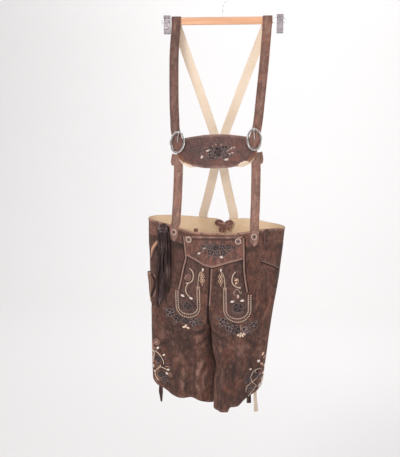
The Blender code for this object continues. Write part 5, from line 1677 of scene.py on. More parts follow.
# Its lower edge is rolled into a cord, with a dark line of shadow under it.
edge = [(off, look_up(YOKE_EDGE, "off", "z", off)) for off in spread(-0.0765, 0.0885, 34)]
bead_into(
    piece, [(off, z + 0.0024) for off, z in edge], 0.0056, 0.0024, on_front, YOKE_LIFTS[1] - 0.0006, 4,
    0.0018, 0.05
)
bead_into(piece, [(off, z - 0.002) for off, z in edge], 0.0026, 0.0006, on_front, FLAP_TOP_LIFT, 5, 0.003)
lower = [(off, look_up(YOKE_EDGE, "off", "z", off) + 0.0068) for off in spread(-0.07, 0.082, 24)]
sew_into(piece, yoke_ground, lower, kind=STITCH)
sew_into(piece, yoke_ground, [(off, flap_top(off) - 0.004) for off in spread(-0.074, 0.084, 20)], kind=STITCH)
lay_flat(piece.build("leather_yoke", "brown_leather", ["flap_yoke"]), (0.178, 0.094), 0.016)


# %% [markdown]
# ## Buttons, pockets and loops
# The buttons are turned from horn: a raised rim, a dished middle and four holes sewn with dark thread. They
# are spun from a profile. The buttonholes are oversewn with thread, which also gives each button its shadow.

# %% Horn buttons
STRAP_ON_BAND = LIFT + STRAP_THICK
Button = namedtuple("Button", "name off z lift place")
BUTTONS = (
    Button("strap_button_right", -0.116, -0.7192, STRAP_ON_BAND, on_front),
    Button("strap_button_left", 0.1241, -0.726, STRAP_ON_BAND, on_front),
    Button("flap_button_right", -0.0696, -0.7385, FLAP_LIFTS[1] + 0.002, on_front),
    Button("flap_button_left", 0.078, -0.7392, FLAP_LIFTS[1] + 0.002, on_front),
    Button("back_button_right", -0.052, -0.73, STRAP_ON_BAND, on_back),
    Button("back_button_left", 0.045, -0.73, STRAP_ON_BAND, on_back),
)
HOLE_OFF = 0.0018
# Marks on the button's rings from foot to middle: the raised rim is pale, painted highlight; the foot and the
# dished middle are dark, painted shade.
BUTTON_LIGHT_AND_SHADE = (-0.6, 0.0, 0.5, 0.9, 1.0, 0.6, 0.1, -0.5, -0.9, -1.0, -1.0)
# Half of the button's section: (radius, height).
BUTTON_SPIN = (
    (0.0, 0.0), (0.008, 0.0), (0.009, 0.0006), (0.0095, 0.0018), (0.0094, 0.0028),
    (0.0089, 0.0036), (0.0081, 0.0041), (0.0072, 0.004), (0.0064, 0.0035), (0.0056, 0.0028),
    (0.0047, 0.0025), (0.003, 0.0027), (0.0, 0.0029),
)


def button_into(piece, button):
    up = normal_at(button.place, button.off, button.z)
    turn = up.to_track_quat("Z", "Y")
    foot = button.place(button.off, button.z, button.lift + 0.0007)
    count, points = 40, []

    def put(x, y, z):
        return foot + turn @ Vector((x, y, z))

    for r, h in BUTTON_SPIN[1:-1]:
        for k in range(count):
            a = 2 * math.pi * k / count
            wobble = 1 + 0.012 * math.sin(2 * a + 30 * button.off)
            points.append(put(r * wobble * math.cos(a), r * wobble * math.sin(a), h))
    rings = len(BUTTON_SPIN) - 2
    points += [foot, put(0, 0, BUTTON_SPIN[-1][1])]
    faces = skin(rings, count)[:-2]
    faces += [[rings * count, (k + 1) % count, k] for k in range(count)]
    last = (rings - 1) * count
    faces += [[rings * count + 1, last + k, last + (k + 1) % count] for k in range(count)]
    marks = [mark for mark in BUTTON_LIGHT_AND_SHADE for _ in range(count)]
    piece.add(points, faces, 0, marks + [0.0, -1.0])
    # Thread over the four holes.
    for x, y in ((-1, -1), (-1, 1)):
        a, b = put(x * HOLE_OFF, y * HOLE_OFF, 0.0027), put(-x * HOLE_OFF, -y * HOLE_OFF, 0.0027)
        dash_into(piece, a, b, 0.00075, 1, 0.0006, up)
    # An oversewn buttonhole lies under it.
    for row in (-1, 1):
        for k in range(9):
            x = mix(-0.0085, 0.0085, k / 8)
            dash_into(
                piece, put(x, row * 0.0006, -0.0006), put(x, row * 0.0032, -0.0007), 0.0004, 1, 0.0002, up
            )


for button in BUTTONS:
    piece = Piece(button_horn, dark_thread)
    button_into(piece, button)
    piece.build(f"horn_{button.name}", "horn", [button.name])

# %% Pocket welts and knife pocket
WELTS = {
    RIGHT: [(-0.1715, -0.76), (-0.1838, -0.778), (-0.192, -0.796), (-0.199, -0.814)],
    LEFT: [(0.1454, -0.8006), (0.1629, -0.8085), (0.18, -0.8181), (0.193, -0.83)],
}
for side, who in SIDES.items():
    piece = Piece(piping_hide if side == RIGHT else strap_nubuck, seam_thread, tan_nubuck, shadow_hide)
    bead_into(piece, WELTS[side], 0.005, 0.003, on_front, 0.0011, step=0.0016, twist=0.04)
    # A near-black strip under the welt is painted shadow.
    bead_into(
        piece, [(off, z - 0.0048) for off, z in WELTS[side]], 0.0036, 0.0006, on_front, 0.0006, 3, 0.004
    )
    if side == RIGHT:
        # A worn patch of lighter leather beside the pocket's mouth.
        patch = path_points(
            [(-0.1735, -0.754), (-0.185, -0.769), (-0.1935, -0.786), (-0.1975, -0.802)], 0.003
        )
        widths = [mix(0.0045, 0.008, math.sin(math.pi * k / (len(patch) - 1))) for k in range(len(patch))]
        sweep_into(
            piece, patch, [(-0.5, 0.0004), (-0.3, 0.0012), (0.3, 0.0012), (0.5, 0.0004)], on_front, widths, 2
        )
    for shift in (0.0052, 0.0078):
        sew_into(piece, on_front, [(off, z + shift) for off, z in WELTS[side]], kind=1)
    piece.build(f"welt_{who}", "brown_leather", [f"pocket_welt_{who}"])

heights = spread(-0.864, -0.962, 34)


def knife_place(across, z, lift):
    run = (heights[0] - z) / (heights[0] - heights[-1])
    bulge = 0.0075 * (1 - across**2) * (1 - run) ** 0.7
    along = mix(-0.014, -0.009, run) + across * mix(0.02, 0.011, run**2)
    face = FRONT if along < 0 else BACK
    return surface(RIGHT, face, 1 - abs(along) / FOLD_SPAN, z, lift + bulge)


piece = Piece(strap_nubuck, cream_flesh, cut_edge, seam_thread)
rows = [[(across, z) for across in spread(-1.0, 1.0, 25)] for z in heights]
wall_into(
    piece, rows, knife_place, LIFT, LIFT + 0.0018,
    wear_and_light=lambda a, z: 0.8 * abs(a) ** 4 + 0.9 * ease((z + 0.872) / 0.006) - 0.2
)
for across in (-0.86, 0.86):
    sew_into(
        piece, knife_place, [(across, z) for z in spread(-0.868, -0.956, 12)], kind=STITCH, lift=LIFT + 0.0019
    )
lay_flat(piece.build("leather_knife_pocket", "brown_leather", ["knife_pocket"]), (0.04, 0.1), 0.0026)
# A near-black strip down the fold beside the pocket is painted shade, and a bead of paler strap leather next
# to it is painted highlight on the ridge.
piece = Piece(shadow_hide, strap_nubuck)
for shift, width, high, kind in ((0.0, 0.005, 0.0009, 0), (0.0062, 0.006, 0.0013, 1)):
    fold = ((-0.196, -0.864), (-0.1905, -0.879), (-0.188, -0.896), (-0.192, -0.916), (-0.1985, -0.94))
    fold = [(off + shift, z) for off, z in fold]
    bead_into(piece, fold, width, high, on_front, 0.0004, kind, 0.004)
piece.build("pocket_fold", "brown_leather")

# %% Belt loops
LOOP_STEPS, LOOP_WIDTH, LOOP_THICK = 28, 0.012, 0.0016
LOOPS = (
    ("belt_loop_front_right", -0.148, "front", 0.034, on_front),
    ("belt_loop_front_left", 0.1585, "front", 0.047, on_front),
    ("belt_loop_back_right", -0.115, "back", 0.047, on_back),
    ("belt_loop_back_left", 0.115, "back", 0.047, on_back),
)
for name, off, word, length, place in LOOPS:
    top = look_up(WAIST_EDGE, "off", word, off) - 0.0008
    line, faces = [], []
    for run in spread(0.0, 1.0, LOOP_STEPS):
        z = top - length * run
        line.append(place(off, z, LIFT + 0.0008 + 0.0026 * math.sin(math.pi * run)))
        faces.append(normal_at(place, off, z))
    # The loops' cut edges are near-black: painted shadow in the gap under each loop.
    piece = Piece(lobe_nubuck, cream_flesh, shadow_hide, seam_thread)
    strip_into(piece, line, faces, [LOOP_WIDTH] * LOOP_STEPS, LOOP_THICK, wear_and_light=lambda i, u: 0.9 * u**4 - 0.1)
    for i in range(1, LOOP_STEPS - 2, 2):
        for aside in (-0.0042, 0.0042):
            side_way = (line[i + 1] - line[i]).cross(faces[i]).normalized() * aside
            a, b = line[i] + faces[i] * 0.0009 + side_way, line[i + 1] + faces[i] * 0.0009 + side_way
            dash_into(piece, a, b, SEAM_THREAD, STITCH, 0.0002, faces[i])
    piece.build(f"leather_{name}", "dark_leather", [name])
print("buttons, welts, knife pocket and loops made")

# %% [markdown]
# ## The braces
# Two long straps start at the chest buckles, go over the bar, cross at the back and button to the waist. The
# straps hang in flat planes because the weight pulls them tight. Each is a ribbon with a napped outside, a
# pale flesh side that shows on the far straps, cut edges and a fine row of stitches along both sides.

# %% Routes of the straps
CHEST_SLOPE, BACK_SLOPE = 0.1184, 0.127
OVER_BAR = 0.0018
STRAP_STEP = 0.0045
TIP_WIDTH, POINT_WIDTH = 0.024, 0.004
CROSS = Vector((-0.0165, 0.0, -0.4825))


def front_plane(z):
    """Y of the plane in which the front straps hang, from the bar down to the waist."""
    return -(BAR_DEPTH / 2 + OVER_BAR) - CHEST_SLOPE * max(0.0, BAR_Z - 0.005 - z)


def back_plane(z):
    return (BAR_DEPTH / 2 + OVER_BAR) + BACK_SLOPE * max(0.0, BAR_Z - 0.005 - z)


FRONT_OUT = Vector((0, -1, CHEST_SLOPE)).normalized()
BACK_OUT = Vector((0, 1, BACK_SLOPE)).normalized()

# The route of each long strap: front X by height above the buckle, then the back's X by height.
FRONT_ROUTE = {
    RIGHT: table_of(
        "z x", (-0.11, -0.138), (-0.212, -0.1425), (-0.328, -0.1405), (-0.401, -0.136), (-0.449, -0.1275),
        (-0.4815, -0.124)
    ),
    LEFT: table_of(
        "z x", (-0.11, 0.1305), (-0.212, 0.1245), (-0.327, 0.1155), (-0.398, 0.1095), (-0.437, 0.1035),
        (-0.469, 0.1015)
    ),
}
BUCKLE_Z = {RIGHT: -0.451, LEFT: -0.4395}
BUCKLE_X = {RIGHT: -0.1262, LEFT: 0.1022}
BACK_END = {RIGHT: (-0.052, -0.744), LEFT: (0.045, -0.744)}
RING_GAP = 0.013
LOWER_ROUTE = {
    RIGHT: table_of("z x", (-0.492, -0.1245), (-0.533, -0.124), (-0.61, -0.1255), (-0.69, -0.129)),
    LEFT: table_of("z x", (-0.482, 0.105), (-0.528, 0.108), (-0.61, 0.1085), (-0.69, 0.1075)),
}
LOWER_END = {RIGHT: (-0.117, -0.737), LEFT: (0.125, -0.745)}


def strap_depth(side, z):
    """How far the front strap stands before the plane of the straps: over the chest bar and the hinge rod."""
    drop = BUCKLE_Z[side] - z
    over_bar = 0.0074 * ease((0.06 + drop) / 0.022)
    over_rod = 0.0026 * (1 - ease((abs(drop) - 0.005) / 0.014))
    return over_bar + over_rod


def long_strap_line(side):
    """Points, outward directions and widths of one strap, from its buckle over the bar to its back button."""
    route = FRONT_ROUTE[side]
    points, normals = [], []
    low, top = route[-1].z, route[0].z
    near = [BUCKLE_Z[side] + d for d in (-0.019, -0.011, -0.004, 0.004, 0.011, 0.019, 0.032)]
    for z in [low, *near, *spread(BUCKLE_Z[side] + 0.046, top, 17)]:
        points.append(Vector((look_up(route, "z", "x", z), front_plane(z) - strap_depth(side, z), z)))
        normals.append(FRONT_OUT)
    corner_y, corner_z = BAR_DEPTH / 2 - BAR_ROUND, BAR_Z + BAR_HEIGHT / 2 - BAR_ROUND
    reach, x_top = BAR_ROUND + OVER_BAR, route[0].x
    for y_sign in (-1, 1):
        for turn in spread(0, 90, 4):
            angle = math.radians(turn if y_sign < 0 else 90 - turn)
            c, s = math.cos(angle), math.sin(angle)
            points.append(Vector((x_top, y_sign * (corner_y + reach * c), corner_z + reach * s)))
            normals.append(Vector((0, y_sign * c, s)))
    end_off, end_z = BACK_END[-side]
    behind = 0.0 if side == RIGHT else STRAP_THICK + 0.0004
    inward = 0.005 if side == LEFT else 0.0
    waist = on_back(end_off, -0.703, LIFT + STRAP_THICK / 2)
    route_back = [
        (x_top - inward, -0.114, 0.0),
        (mix(x_top, CROSS.x, 0.27) - inward, -0.213, 0.0),
        (mix(x_top, CROSS.x, 0.6) - inward / 2, -0.331, 0.0),
        (CROSS.x, CROSS.z, 0.0),
        (mix(CROSS.x, waist.x, 0.52), -0.595, 0.0),
        (waist.x, -0.69, 0.0),
    ]
    for p in smooth_path(route_back, 20):
        hump = behind * (1 - ease((abs(p.y - CROSS.z) - 0.078) / 0.05))
        points.append(Vector((p.x, mix(back_plane(p.y), waist.y, ease((-0.6 - p.y) / 0.09)) + hump, p.y)))
        normals.append(BACK_OUT)
    for z in (-0.703, -0.712, -0.722, -0.732, -0.74, end_z, end_z - 0.006, end_z - 0.011):
        points.append(on_back(end_off, z, LIFT + STRAP_THICK / 2))
        normals.append(normal_at(on_back, end_off, z))
    widths = [
        STRAP_WIDTH + 0.0055 * math.exp(-(((p.z - BUCKLE_Z[side]) / 0.014) ** 4)) * (p.y < 0)
        for p in points[:-3]
    ]
    return points, normals, widths + [TIP_WIDTH, 0.015, POINT_WIDTH]


def lower_strap_line(side):
    """The short strap from behind the chest bar down to the waist button."""
    route = LOWER_ROUTE[side]
    off, end_z = LOWER_END[side]
    points = [
        Vector((look_up(route, "z", "x", z), front_plane(z), z)) for z in spread(route[0].z, route[-1].z, 12)
    ]
    normals = [FRONT_OUT] * len(points)
    for z in (-0.706, -0.716, -0.726, end_z + 0.008, end_z, end_z - 0.006, end_z - 0.011):
        if z < points[-1].z - 0.004:
            points.append(on_front(off, z, LIFT + STRAP_THICK / 2))
            normals.append(normal_at(on_front, off, z))
    return points, normals, [STRAP_WIDTH] * (len(points) - 3) + [TIP_WIDTH, 0.014, POINT_WIDTH]


# %% Straps
def strap_piece(name, line, thick, finishes, replaced, slot, flat, seed):
    """A strap with a row of stitches along both edges, and a little uneven wear."""
    points, normals, widths = refined(*line, STRAP_STEP)
    piece = Piece(*finishes, seam_thread)

    def wear_and_light(i, u):
        sewn = bell(abs(u) - 0.78, 0.1)
        lumps = (
            noise.noise(Vector((u * 1.5, i * 0.11, seed)))
            + 0.6 * noise.noise(Vector((u * 3.0, i * 0.35, seed)))
        )
        return 0.25 * (1 - u * u) + 0.35 * abs(u) ** 8 - 0.7 * sewn + 0.35 * lumps

    strip_into(piece, points, normals, widths, thick, across=16, wear_and_light=wear_and_light)
    for sign in (-1, 1):
        for i in range(1, len(points) - 4):
            ahead = (points[i + 1] - points[i]).normalized()
            up = (normals[i] - ahead * normals[i].dot(ahead)).normalized()
            aside = ahead.cross(up) * sign * (widths[i] / 2 - 0.0032)
            a = points[i] + aside + up * (thick / 2 + 0.00005)
            dash_into(piece, a, a + ahead * 0.0026, 0.00026, STITCH, 0.00018, up)
    obj = piece.build(name, slot, replaced)
    lay_flat(obj, flat, flat[0] * flat[1] * 0.99)
    return points


for side, who in SIDES.items():
    hides = (strap_nubuck if side == RIGHT else lit_left_strap_nubuck, pale_flesh, cut_edge)
    points = strap_piece(
        f"leather_strap_{who}", long_strap_line(side), STRAP_THICK, hides, [f"strap_{who}"], "brown_leather",
        (0.031, 1.08), 3.0 + side
    )
    print(f"strap {who}: {length_of(points):.3f} m long")
    hides = (lit_strap_nubuck, pale_flesh, cut_edge)
    points = strap_piece(
        f"leather_lower_strap_{who}", lower_strap_line(side), STRAP_THICK, hides, [f"lower_strap_{who}"],
        "brown_leather", (0.028, 0.27), 7.0 + side
    )
    print(f"lower strap {who}: {length_of(points):.3f} m long")
    x = LOWER_ROUTE[side][0].x + side * 0.0065
    top = LOWER_ROUTE[side][0].z + 0.004
    tail = [
        Vector((x + side * 0.0015 * i, front_plane(z) + STRAP_THICK + 0.0005 + 0.0004 * i, z))
        for i, z in enumerate(spread(top, top - 0.034, 5))
    ]
    strap_piece(
        f"leather_strap_tail_{who}", (tail, [FRONT_OUT] * 5, [STRAP_WIDTH] * 3 + [0.026, 0.018]), STRAP_THICK,
        hides, [f"strap_tail_{who}"], "dark_leather", (0.028, 0.034), 1.0 + side
    )

# %% Patch behind the crossing
patch_y = back_plane(CROSS.z) + 2 * STRAP_THICK - 0.0001


def patch_place(x, z, lift):
    return Vector((CROSS.x + x, patch_y + lift + BACK_SLOPE * (CROSS.z - z), z))


PATCH_TALL, PATCH_WIDE = 25, 16
rows = []
for run in spread(-1.0, 1.0, PATCH_TALL):
    half = 0.024 * (1 - 0.45 * abs(run)) * (1 - 0.1 * max(0.0, abs(run) - 0.92) / 0.08)
    rows.append([(x, CROSS.z - run * 0.032) for x in spread(-half, half, PATCH_WIDE)])
piece = Piece(strap_nubuck, cream_flesh, cut_edge, seam_thread)
wall_into(piece, rows, patch_place, 0.0, LEATHER, wear_and_light=lambda x, z: 30 * abs(x) - 0.4)
rim = [(k, PATCH_WIDE - 1) for k in range(0, PATCH_TALL, 3)] + [(k, 0) for k in range(PATCH_TALL - 1, -1, -3)]
outline = [(0.8 * rows[i][j][0], CROSS.z + 0.88 * (rows[i][j][1] - CROSS.z)) for i, j in [*rim, rim[0]]]
for a, b in zip(outline, outline[1:]):
    sew_into(piece, patch_place, [a, b], kind=STITCH, lift=LEATHER + 0.0001)
lay_flat(piece.build("leather_cross_patch", "dark_leather", ["cross_patch"]), (0.05, 0.066), 0.0027)


# %% [markdown]
# ## Chest bar and buckles
# The bar across the chest joins the straps and carries the finest embroidery. A pale backing peeps out under
# its lower edge. Each buckle is cast: an oval with a rope round the outside, a smooth channel and a beaded
# inner ring. The rope is two twisted strands, and the hollows are marked dark so that the ridges shine.

# %% Chest bar
CHEST_BAR = table_of(
    "share top bottom backing",
    (0.0, -0.4265, -0.5255, -0.5235),
    (0.25, -0.4275, -0.5245, -0.5225),
    (0.5, -0.431, -0.52, -0.5195),
    (0.65, -0.4335, -0.516, -0.52),
    (0.8, -0.4365, -0.5095, -0.515),
    (0.91, -0.4385, -0.499, -0.502),
    (0.97, -0.4395, -0.488, -0.487),
    (1.0, -0.44, -0.474, -0.473),
)
CHEST_X, CHEST_HALF, CHEST_TILT = -0.0096, 0.121, 0.029
BAR_BACK, BAR_FACE = 0.003, 0.005
BAR_TALL, BAR_WIDE = 42, 101
CORNER, CORNER_OUT = 4, 0.62


def chest_place(x, z, depth):
    """A point this far before the plane of the front straps; the bar bows forward a little."""
    bow = 0.003 * (1 - ((x - CHEST_X) / CHEST_HALF) ** 2)
    return Vector((x, front_plane(z) - depth - bow, z))


def bar_edge(x, column):
    share = (x - CHEST_X) / CHEST_HALF
    return look_up(CHEST_BAR, "share", column, abs(share)) + CHEST_TILT * (x - CHEST_X)


def bar_rim(x, z):
    """0 in the bar's middle and 1 on its rim, from the nearest of its edges."""
    near = min(bar_edge(x, "top") - z, z - bar_edge(x, "bottom"), (CHEST_HALF - abs(x - CHEST_X)) * 1.2)
    return bell(near, 0.0075)


def bar_place(x, z, depth):
    """The bar's face is padded: full in the middle, with a soft rim."""
    rim = bar_rim(x, z)
    puff = 0.0008 * (1 - rim) + 0.0006 * bell(rim - 0.75, 0.3) if depth > 0.0045 else 0.0
    return chest_place(x, z, depth + puff)


def bar_ground(x, z, lift):
    return bar_place(x, z, BAR_FACE + lift)


def backing_drop(x):
    """The backing sags a little below the bar on both sides of its middle."""
    middle = 0.62 if x < CHEST_X else 0.58
    return 0.003 * bell(abs(x - CHEST_X) / CHEST_HALF - middle, 0.12)


def bar_rows(column, tall):
    rows = []
    for run in spread(0.0, 1.0, tall):
        row = []
        for share in [math.sin(math.radians(a)) for a in spread(-90, 90, BAR_WIDE)]:
            x = CHEST_X + share * CHEST_HALF
            low = bar_edge(x, column) - (backing_drop(x) if column == "backing" else 0.0)
            row.append((x, mix(bar_edge(x, "top"), low, run)))
        rows.append(row)
    return rows


piece = Piece(bar_nubuck, pale_flesh, cut_edge, seam_thread, corner_nubuck)
wall_into(
    piece, bar_rows("bottom", BAR_TALL), bar_place, BAR_BACK, BAR_FACE,
    wear_and_light=lambda x, z: 0.75 * bar_rim(x, z) - 0.1 + dull(x, z) * 0.6
)
# Its two lower corners are faced with redder leather.
for k in range(0, 2 * (BAR_TALL - 1) * (BAR_WIDE - 1), 2):
    row, column = divmod(k // 2, BAR_WIDE - 1)
    corner = piece.points[row * BAR_WIDE + column]
    out, drop = abs(corner.x - CHEST_X) / CHEST_HALF, bar_edge(corner.x, "top") - corner.z
    if out > CORNER_OUT and drop > mix(0.082, 0.028, (out - CORNER_OUT) / (1 - CORNER_OUT)):
        piece.kinds[k] = CORNER
    # The cream lining is turned over the lower edge on both sides of the middle.
    middle, tall = (0.72, 0.0044) if corner.x < CHEST_X else (0.65, 0.0115)
    if corner.z - bar_edge(corner.x, "bottom") < tall * math.exp(-(((out - middle) / 0.13) ** 4)) - 0.0015:
        piece.kinds[k] = FLESH
for share_low, share_high, column, inset in ((-0.93, 0.93, "top", -0.0046), (-0.9, 0.9, "bottom", 0.0046)):
    row = [CHEST_X + share * CHEST_HALF for share in spread(share_low, share_high, 30)]
    sew_into(piece, bar_ground, [(x, bar_edge(x, column) + inset) for x in row], kind=STITCH)
lay_flat(
    piece.build("leather_chest_bar", "brown_leather", ["chest_bar"]), (0.242, 0.101), 0.0218
)

piece = Piece(pale_flesh, pale_flesh, pale_flesh)
wall_into(piece, bar_rows("backing", 24), chest_place, 0.0015, 0.0027)
lay_flat(
    piece.build("cream_chest_backing", "cream_leather", ["chest_backing"]), (0.242, 0.099), 0.0215,
)

# %% Buckles
RING_HALF_X, RING_HALF_Z = 0.0228, 0.033
RING_COUNT, BEADS = 120, 30
RING_TILT = {RIGHT: math.radians(7), LEFT: math.radians(-4)}


def buckle_frame(side):
    """put(x, y, z) places a point of the buckle, measured from its middle in the ring's own plane."""
    turn = Matrix.Rotation(RING_TILT[side], 3, "Y")
    slope = Matrix.Rotation(-math.atan(CHEST_SLOPE), 3, "X")
    centre = Vector((BUCKLE_X[side], front_plane(BUCKLE_Z[side]) - RING_GAP, BUCKLE_Z[side]))

    def put(x, y, z):
        return centre + slope @ (turn @ Vector((x, y, z)))

    return put


def oval(put, inset, angle, y=0.0):
    """A point of an oval this far inside the buckle's outer edge."""
    return put((RING_HALF_X - inset) * math.cos(angle), y, (RING_HALF_Z - inset) * math.sin(angle))


def twisted_ring(piece, put, inset, y, radius, turns, strand):
    """A rope of two strands, cast in one piece with the ring."""
    count = turns * 8
    for phase in (0.0, math.pi):
        points = []
        for i in range(count):
            angle = 2 * math.pi * i / count
            turn = angle * turns + phase
            points.append(oval(put, inset + radius * math.cos(turn), angle, y - radius * math.sin(turn)))
        tube_into(piece, points, strand, 0, 7, 0.8, loop=True)


for side, who in SIDES.items():
    put = buckle_frame(side)
    piece = Piece(ring_silver)
    # The flat body of the ring, with its hollows marked dark.
    profile = [
        (0.0004, 0.0004), (0.0004, -0.0008), (0.0022, -0.0006), (0.0031, -0.0011), (0.004, -0.0006),
        (0.0058, -0.0009), (0.006, 0.001), (0.003, 0.0012)
    ]
    marks = [-0.6, -0.2, -0.9, 0.3, -0.9, -0.2, -0.6, -0.6]
    points, wear_and_light = [], []
    for i in range(RING_COUNT):
        angle = 2 * math.pi * i / RING_COUNT
        scallop = 0.00035 * math.cos(angle * BEADS)
        points += [
            oval(put, inset + (scallop if k < 2 else 0.0), angle, y) for k, (inset, y) in enumerate(profile)
        ]
        wear_and_light += marks
    piece.add(points, skin(RING_COUNT, len(profile), True), 0, wear_and_light)
    twisted_ring(piece, put, 0.0012, -0.0008, 0.0009, 15, 0.0008)
    # A row of small beads round the inside.
    for i in range(BEADS):
        angle = 2 * math.pi * i / BEADS
        at = oval(put, 0.005, angle, -0.001)
        out_dir = (oval(put, 0.0, angle) - put(0, 0, 0)).normalized()
        level = (put(0, -0.001, 0) - put(0, 0, 0)).normalized()
        along = out_dir.cross(level)
        bead = [at + along * a for a in (-0.0014, -0.0009, 0.0, 0.0009, 0.0014)]
        tube_into(piece, bead, [0.0002, 0.0009, 0.0012, 0.0009, 0.0002], 0, 7, 0.9)
    # The hinge rod bows forward over the strap.
    route = ((0.0197, 0.0), (0.0188, 0.0036), (0.0162, 0.0054), (0.0, 0.0054))
    route = [(-x, y) for x, y in route] + [(x, y) for x, y in route[-2::-1]]
    tube_into(piece, smooth_path([put(x, y, 0.0) for x, y in route], 30), 0.0009, 0, 10, 0.4)
    piece.build(f"silver_ring_{who}", "antique_silver", [f"buckle_{who}"])

    piece = Piece(ring_silver)
    tip = ((-0.0006, 0.003), (-0.0016, 0.014), (-0.0028, 0.0245), (-0.0029, RING_HALF_Z + 0.0005))
    line = smooth_path([put(0.0, y, z) for y, z in tip], 24)
    tube_into(piece, line, [0.0013 - 0.0005 * i / 23 for i in range(24)], 0, 10, 0.5)
    # Its foot wraps round the hinge rod.
    turns = ((-0.0001, -0.5), (0.0, 0.4), (0.0001, 1.2))
    foot = [put(x, 0.0052 - 0.0062 * math.cos(a), 0.001 + 0.0014 * math.sin(a)) for x, a in turns]
    tube_into(piece, smooth_path(foot, 6), 0.0012, 0, 8, 0.4)
    piece.build(f"silver_tongue_{who}", "antique_silver", [f"buckle_tongue_{who}"])
print("buckles made")

# %% [markdown]
# ## Laces
# The dark knee laces hang in a bundle from the belt loop, folded over a wide band. Their free ends stick out
# of the hems. A lace is a flat strip of hide that keeps its width, turns a little on its way down and ends in
# a plain cut. The length of each hanging lace is printed.

# %% The bundle on the right belt loop
BUNDLE_OFF, LACE_TOP, LACE_THICK = -0.1475, -0.717, 0.002
Strand = namedtuple("Strand", "top_off end_off end_z width layer")
STRANDS = (
    Strand(-0.159, -0.179, -0.964, 0.012, 0),
    Strand(-0.1475, -0.164, -0.956, 0.0105, 1),
    Strand(-0.136, -0.15, -0.942, 0.0115, 0),
    Strand(-0.153, -0.172, -0.93, 0.011, 2),
    Strand(-0.14, -0.14, -0.915, 0.011, 2),
    Strand(-0.133, -0.131, -0.89, 0.01, 1),
)



def hang_free(obj, line, width):
    """Prints the length of a lace that hangs limp along this line."""
    tuple(line[0])
    round(length_of(line), 3)
    [tuple(p) for p in line]
    print(f"{obj.name}: {length_of(line):.3f} m hangs free")


# The folded band is in the greyer hide: painted sheen on its nap.
piece = Piece(sheen_lace_hide, sheen_lace_hide, lace_hide)
facing = normal_at(on_front, BUNDLE_OFF, -0.712)
for layer in range(4):
    line, count = [], 22
    for i, z in enumerate(spread(-0.699 - 0.0008 * layer, -0.724, count)):
        line.append(
            on_front(
                BUNDLE_OFF + 0.0016 * (layer - 1.5), z,
                0.0068 + 0.0022 * layer - 0.001 * math.sin(math.pi * i / (count - 1)) * (layer == 3)
            )
        )
    widths = [
        mix(0.03, 0.033, math.sin(math.pi * i / (count - 1))) * (1 - 0.05 * layer) for i in range(count)
    ]
    strip_into(
        piece, line, [facing] * count, widths, 0.0021,
        wear_and_light=lambda i, u, layer=layer: 0.9 * abs(u) ** 3 + 0.35 * math.sin(i * 0.7 + layer) - 0.1
    )
piece.build("lace_fold", "dark_leather", ["lace_bundle"])

for i, strand in enumerate(STRANDS):
    points, normals = [], []
    for run in spread(0.0, 1.0, 14):
        z = mix(LACE_TOP, strand.end_z, run)
        off = mix(strand.top_off, strand.end_off, run**1.3) + 0.0016 * math.sin(8 * run + 2.1 * i)
        lift = mix(0.0068, 0.004, ease(4 * run)) + 0.003 * (2 - strand.layer) + 0.0004 * math.sin(5 * run + i)
        points.append(on_front(off, z, lift))
        face = normal_at(on_front, mix(strand.top_off, strand.end_off, run), mix(-0.715, strand.end_z, run))
        normals.append((face + 0.75 * math.sin(6 * run + 1.7 * i) * Vector((1, 0, 0))).normalized())
    line, faces, widths = refined(points, normals, [strand.width] * 13 + [strand.width * 0.8], 0.004)
    # One of the strands is in the greyer hide all over: painted sheen.
    hide = sheen_lace_hide if i == 1 else lace_hide
    # The strands' cut edges are near-black: painted shade between the strands.
    piece = Piece(hide, sheen_lace_hide, shadow_hide)
    strip_into(
        piece, line, faces, widths, LACE_THICK,
        wear_and_light=lambda k, u, i=i: 0.5 * abs(u) ** 3 + 0.9 * noise.noise(Vector((u, k * 0.12, i))) - 0.1
    )
    obj = piece.build(f"lace_{i}", "dark_leather")
    hang_free(obj, line, strand.width)

# %% Lace ends at the hems
inside = -LEATHER - 0.0031
TIES = (
    (
        "hem_tie_right", -0.1755, -1.208, [(-0.001, -1.258), (0.0005, -1.294)], (0.009, 0.01, 0.0145, 0.0055),
        "dark_leather", lace_hide
    ),
    (
        "hem_tie_left", 0.133, -1.206, [(0.0005, -1.25), (0.0025, -1.275), (0.004, -1.298)],
        (0.007, 0.0088, 0.0105, 0.0122, 0.014), "cream_leather", tassel_flesh
    ),
)
for name, off, top, below, spans, slot, finish in TIES:
    points = [on_front(off, z, inside) for z in (top, top - 0.012)]
    hang = on_front(off, top - 0.02, inside - 0.001)
    points += [Vector((hang.x + x, hang.y, z)) for x, z in below]
    # Below the hem each tie turns its broad side to the front.
    facing = normal_at(on_front, off, top)
    turned = (facing + Vector((0.0, -1.5, 0.0))).normalized()
    line, faces, widths = refined(points, [facing, facing] + [turned] * len(below), spans, 0.0025)
    piece = Piece(finish, finish, cut_edge if slot == "dark_leather" else tassel_flesh)
    strip_into(piece, line, faces, widths, LACE_THICK, wear_and_light=lambda i, u: 0.8 * abs(u) ** 3 - 0.2)
    obj = piece.build(f"leather_{name}", slot, [name])
    hang_free(obj, line, round(sum(spans) / len(spans), 4))

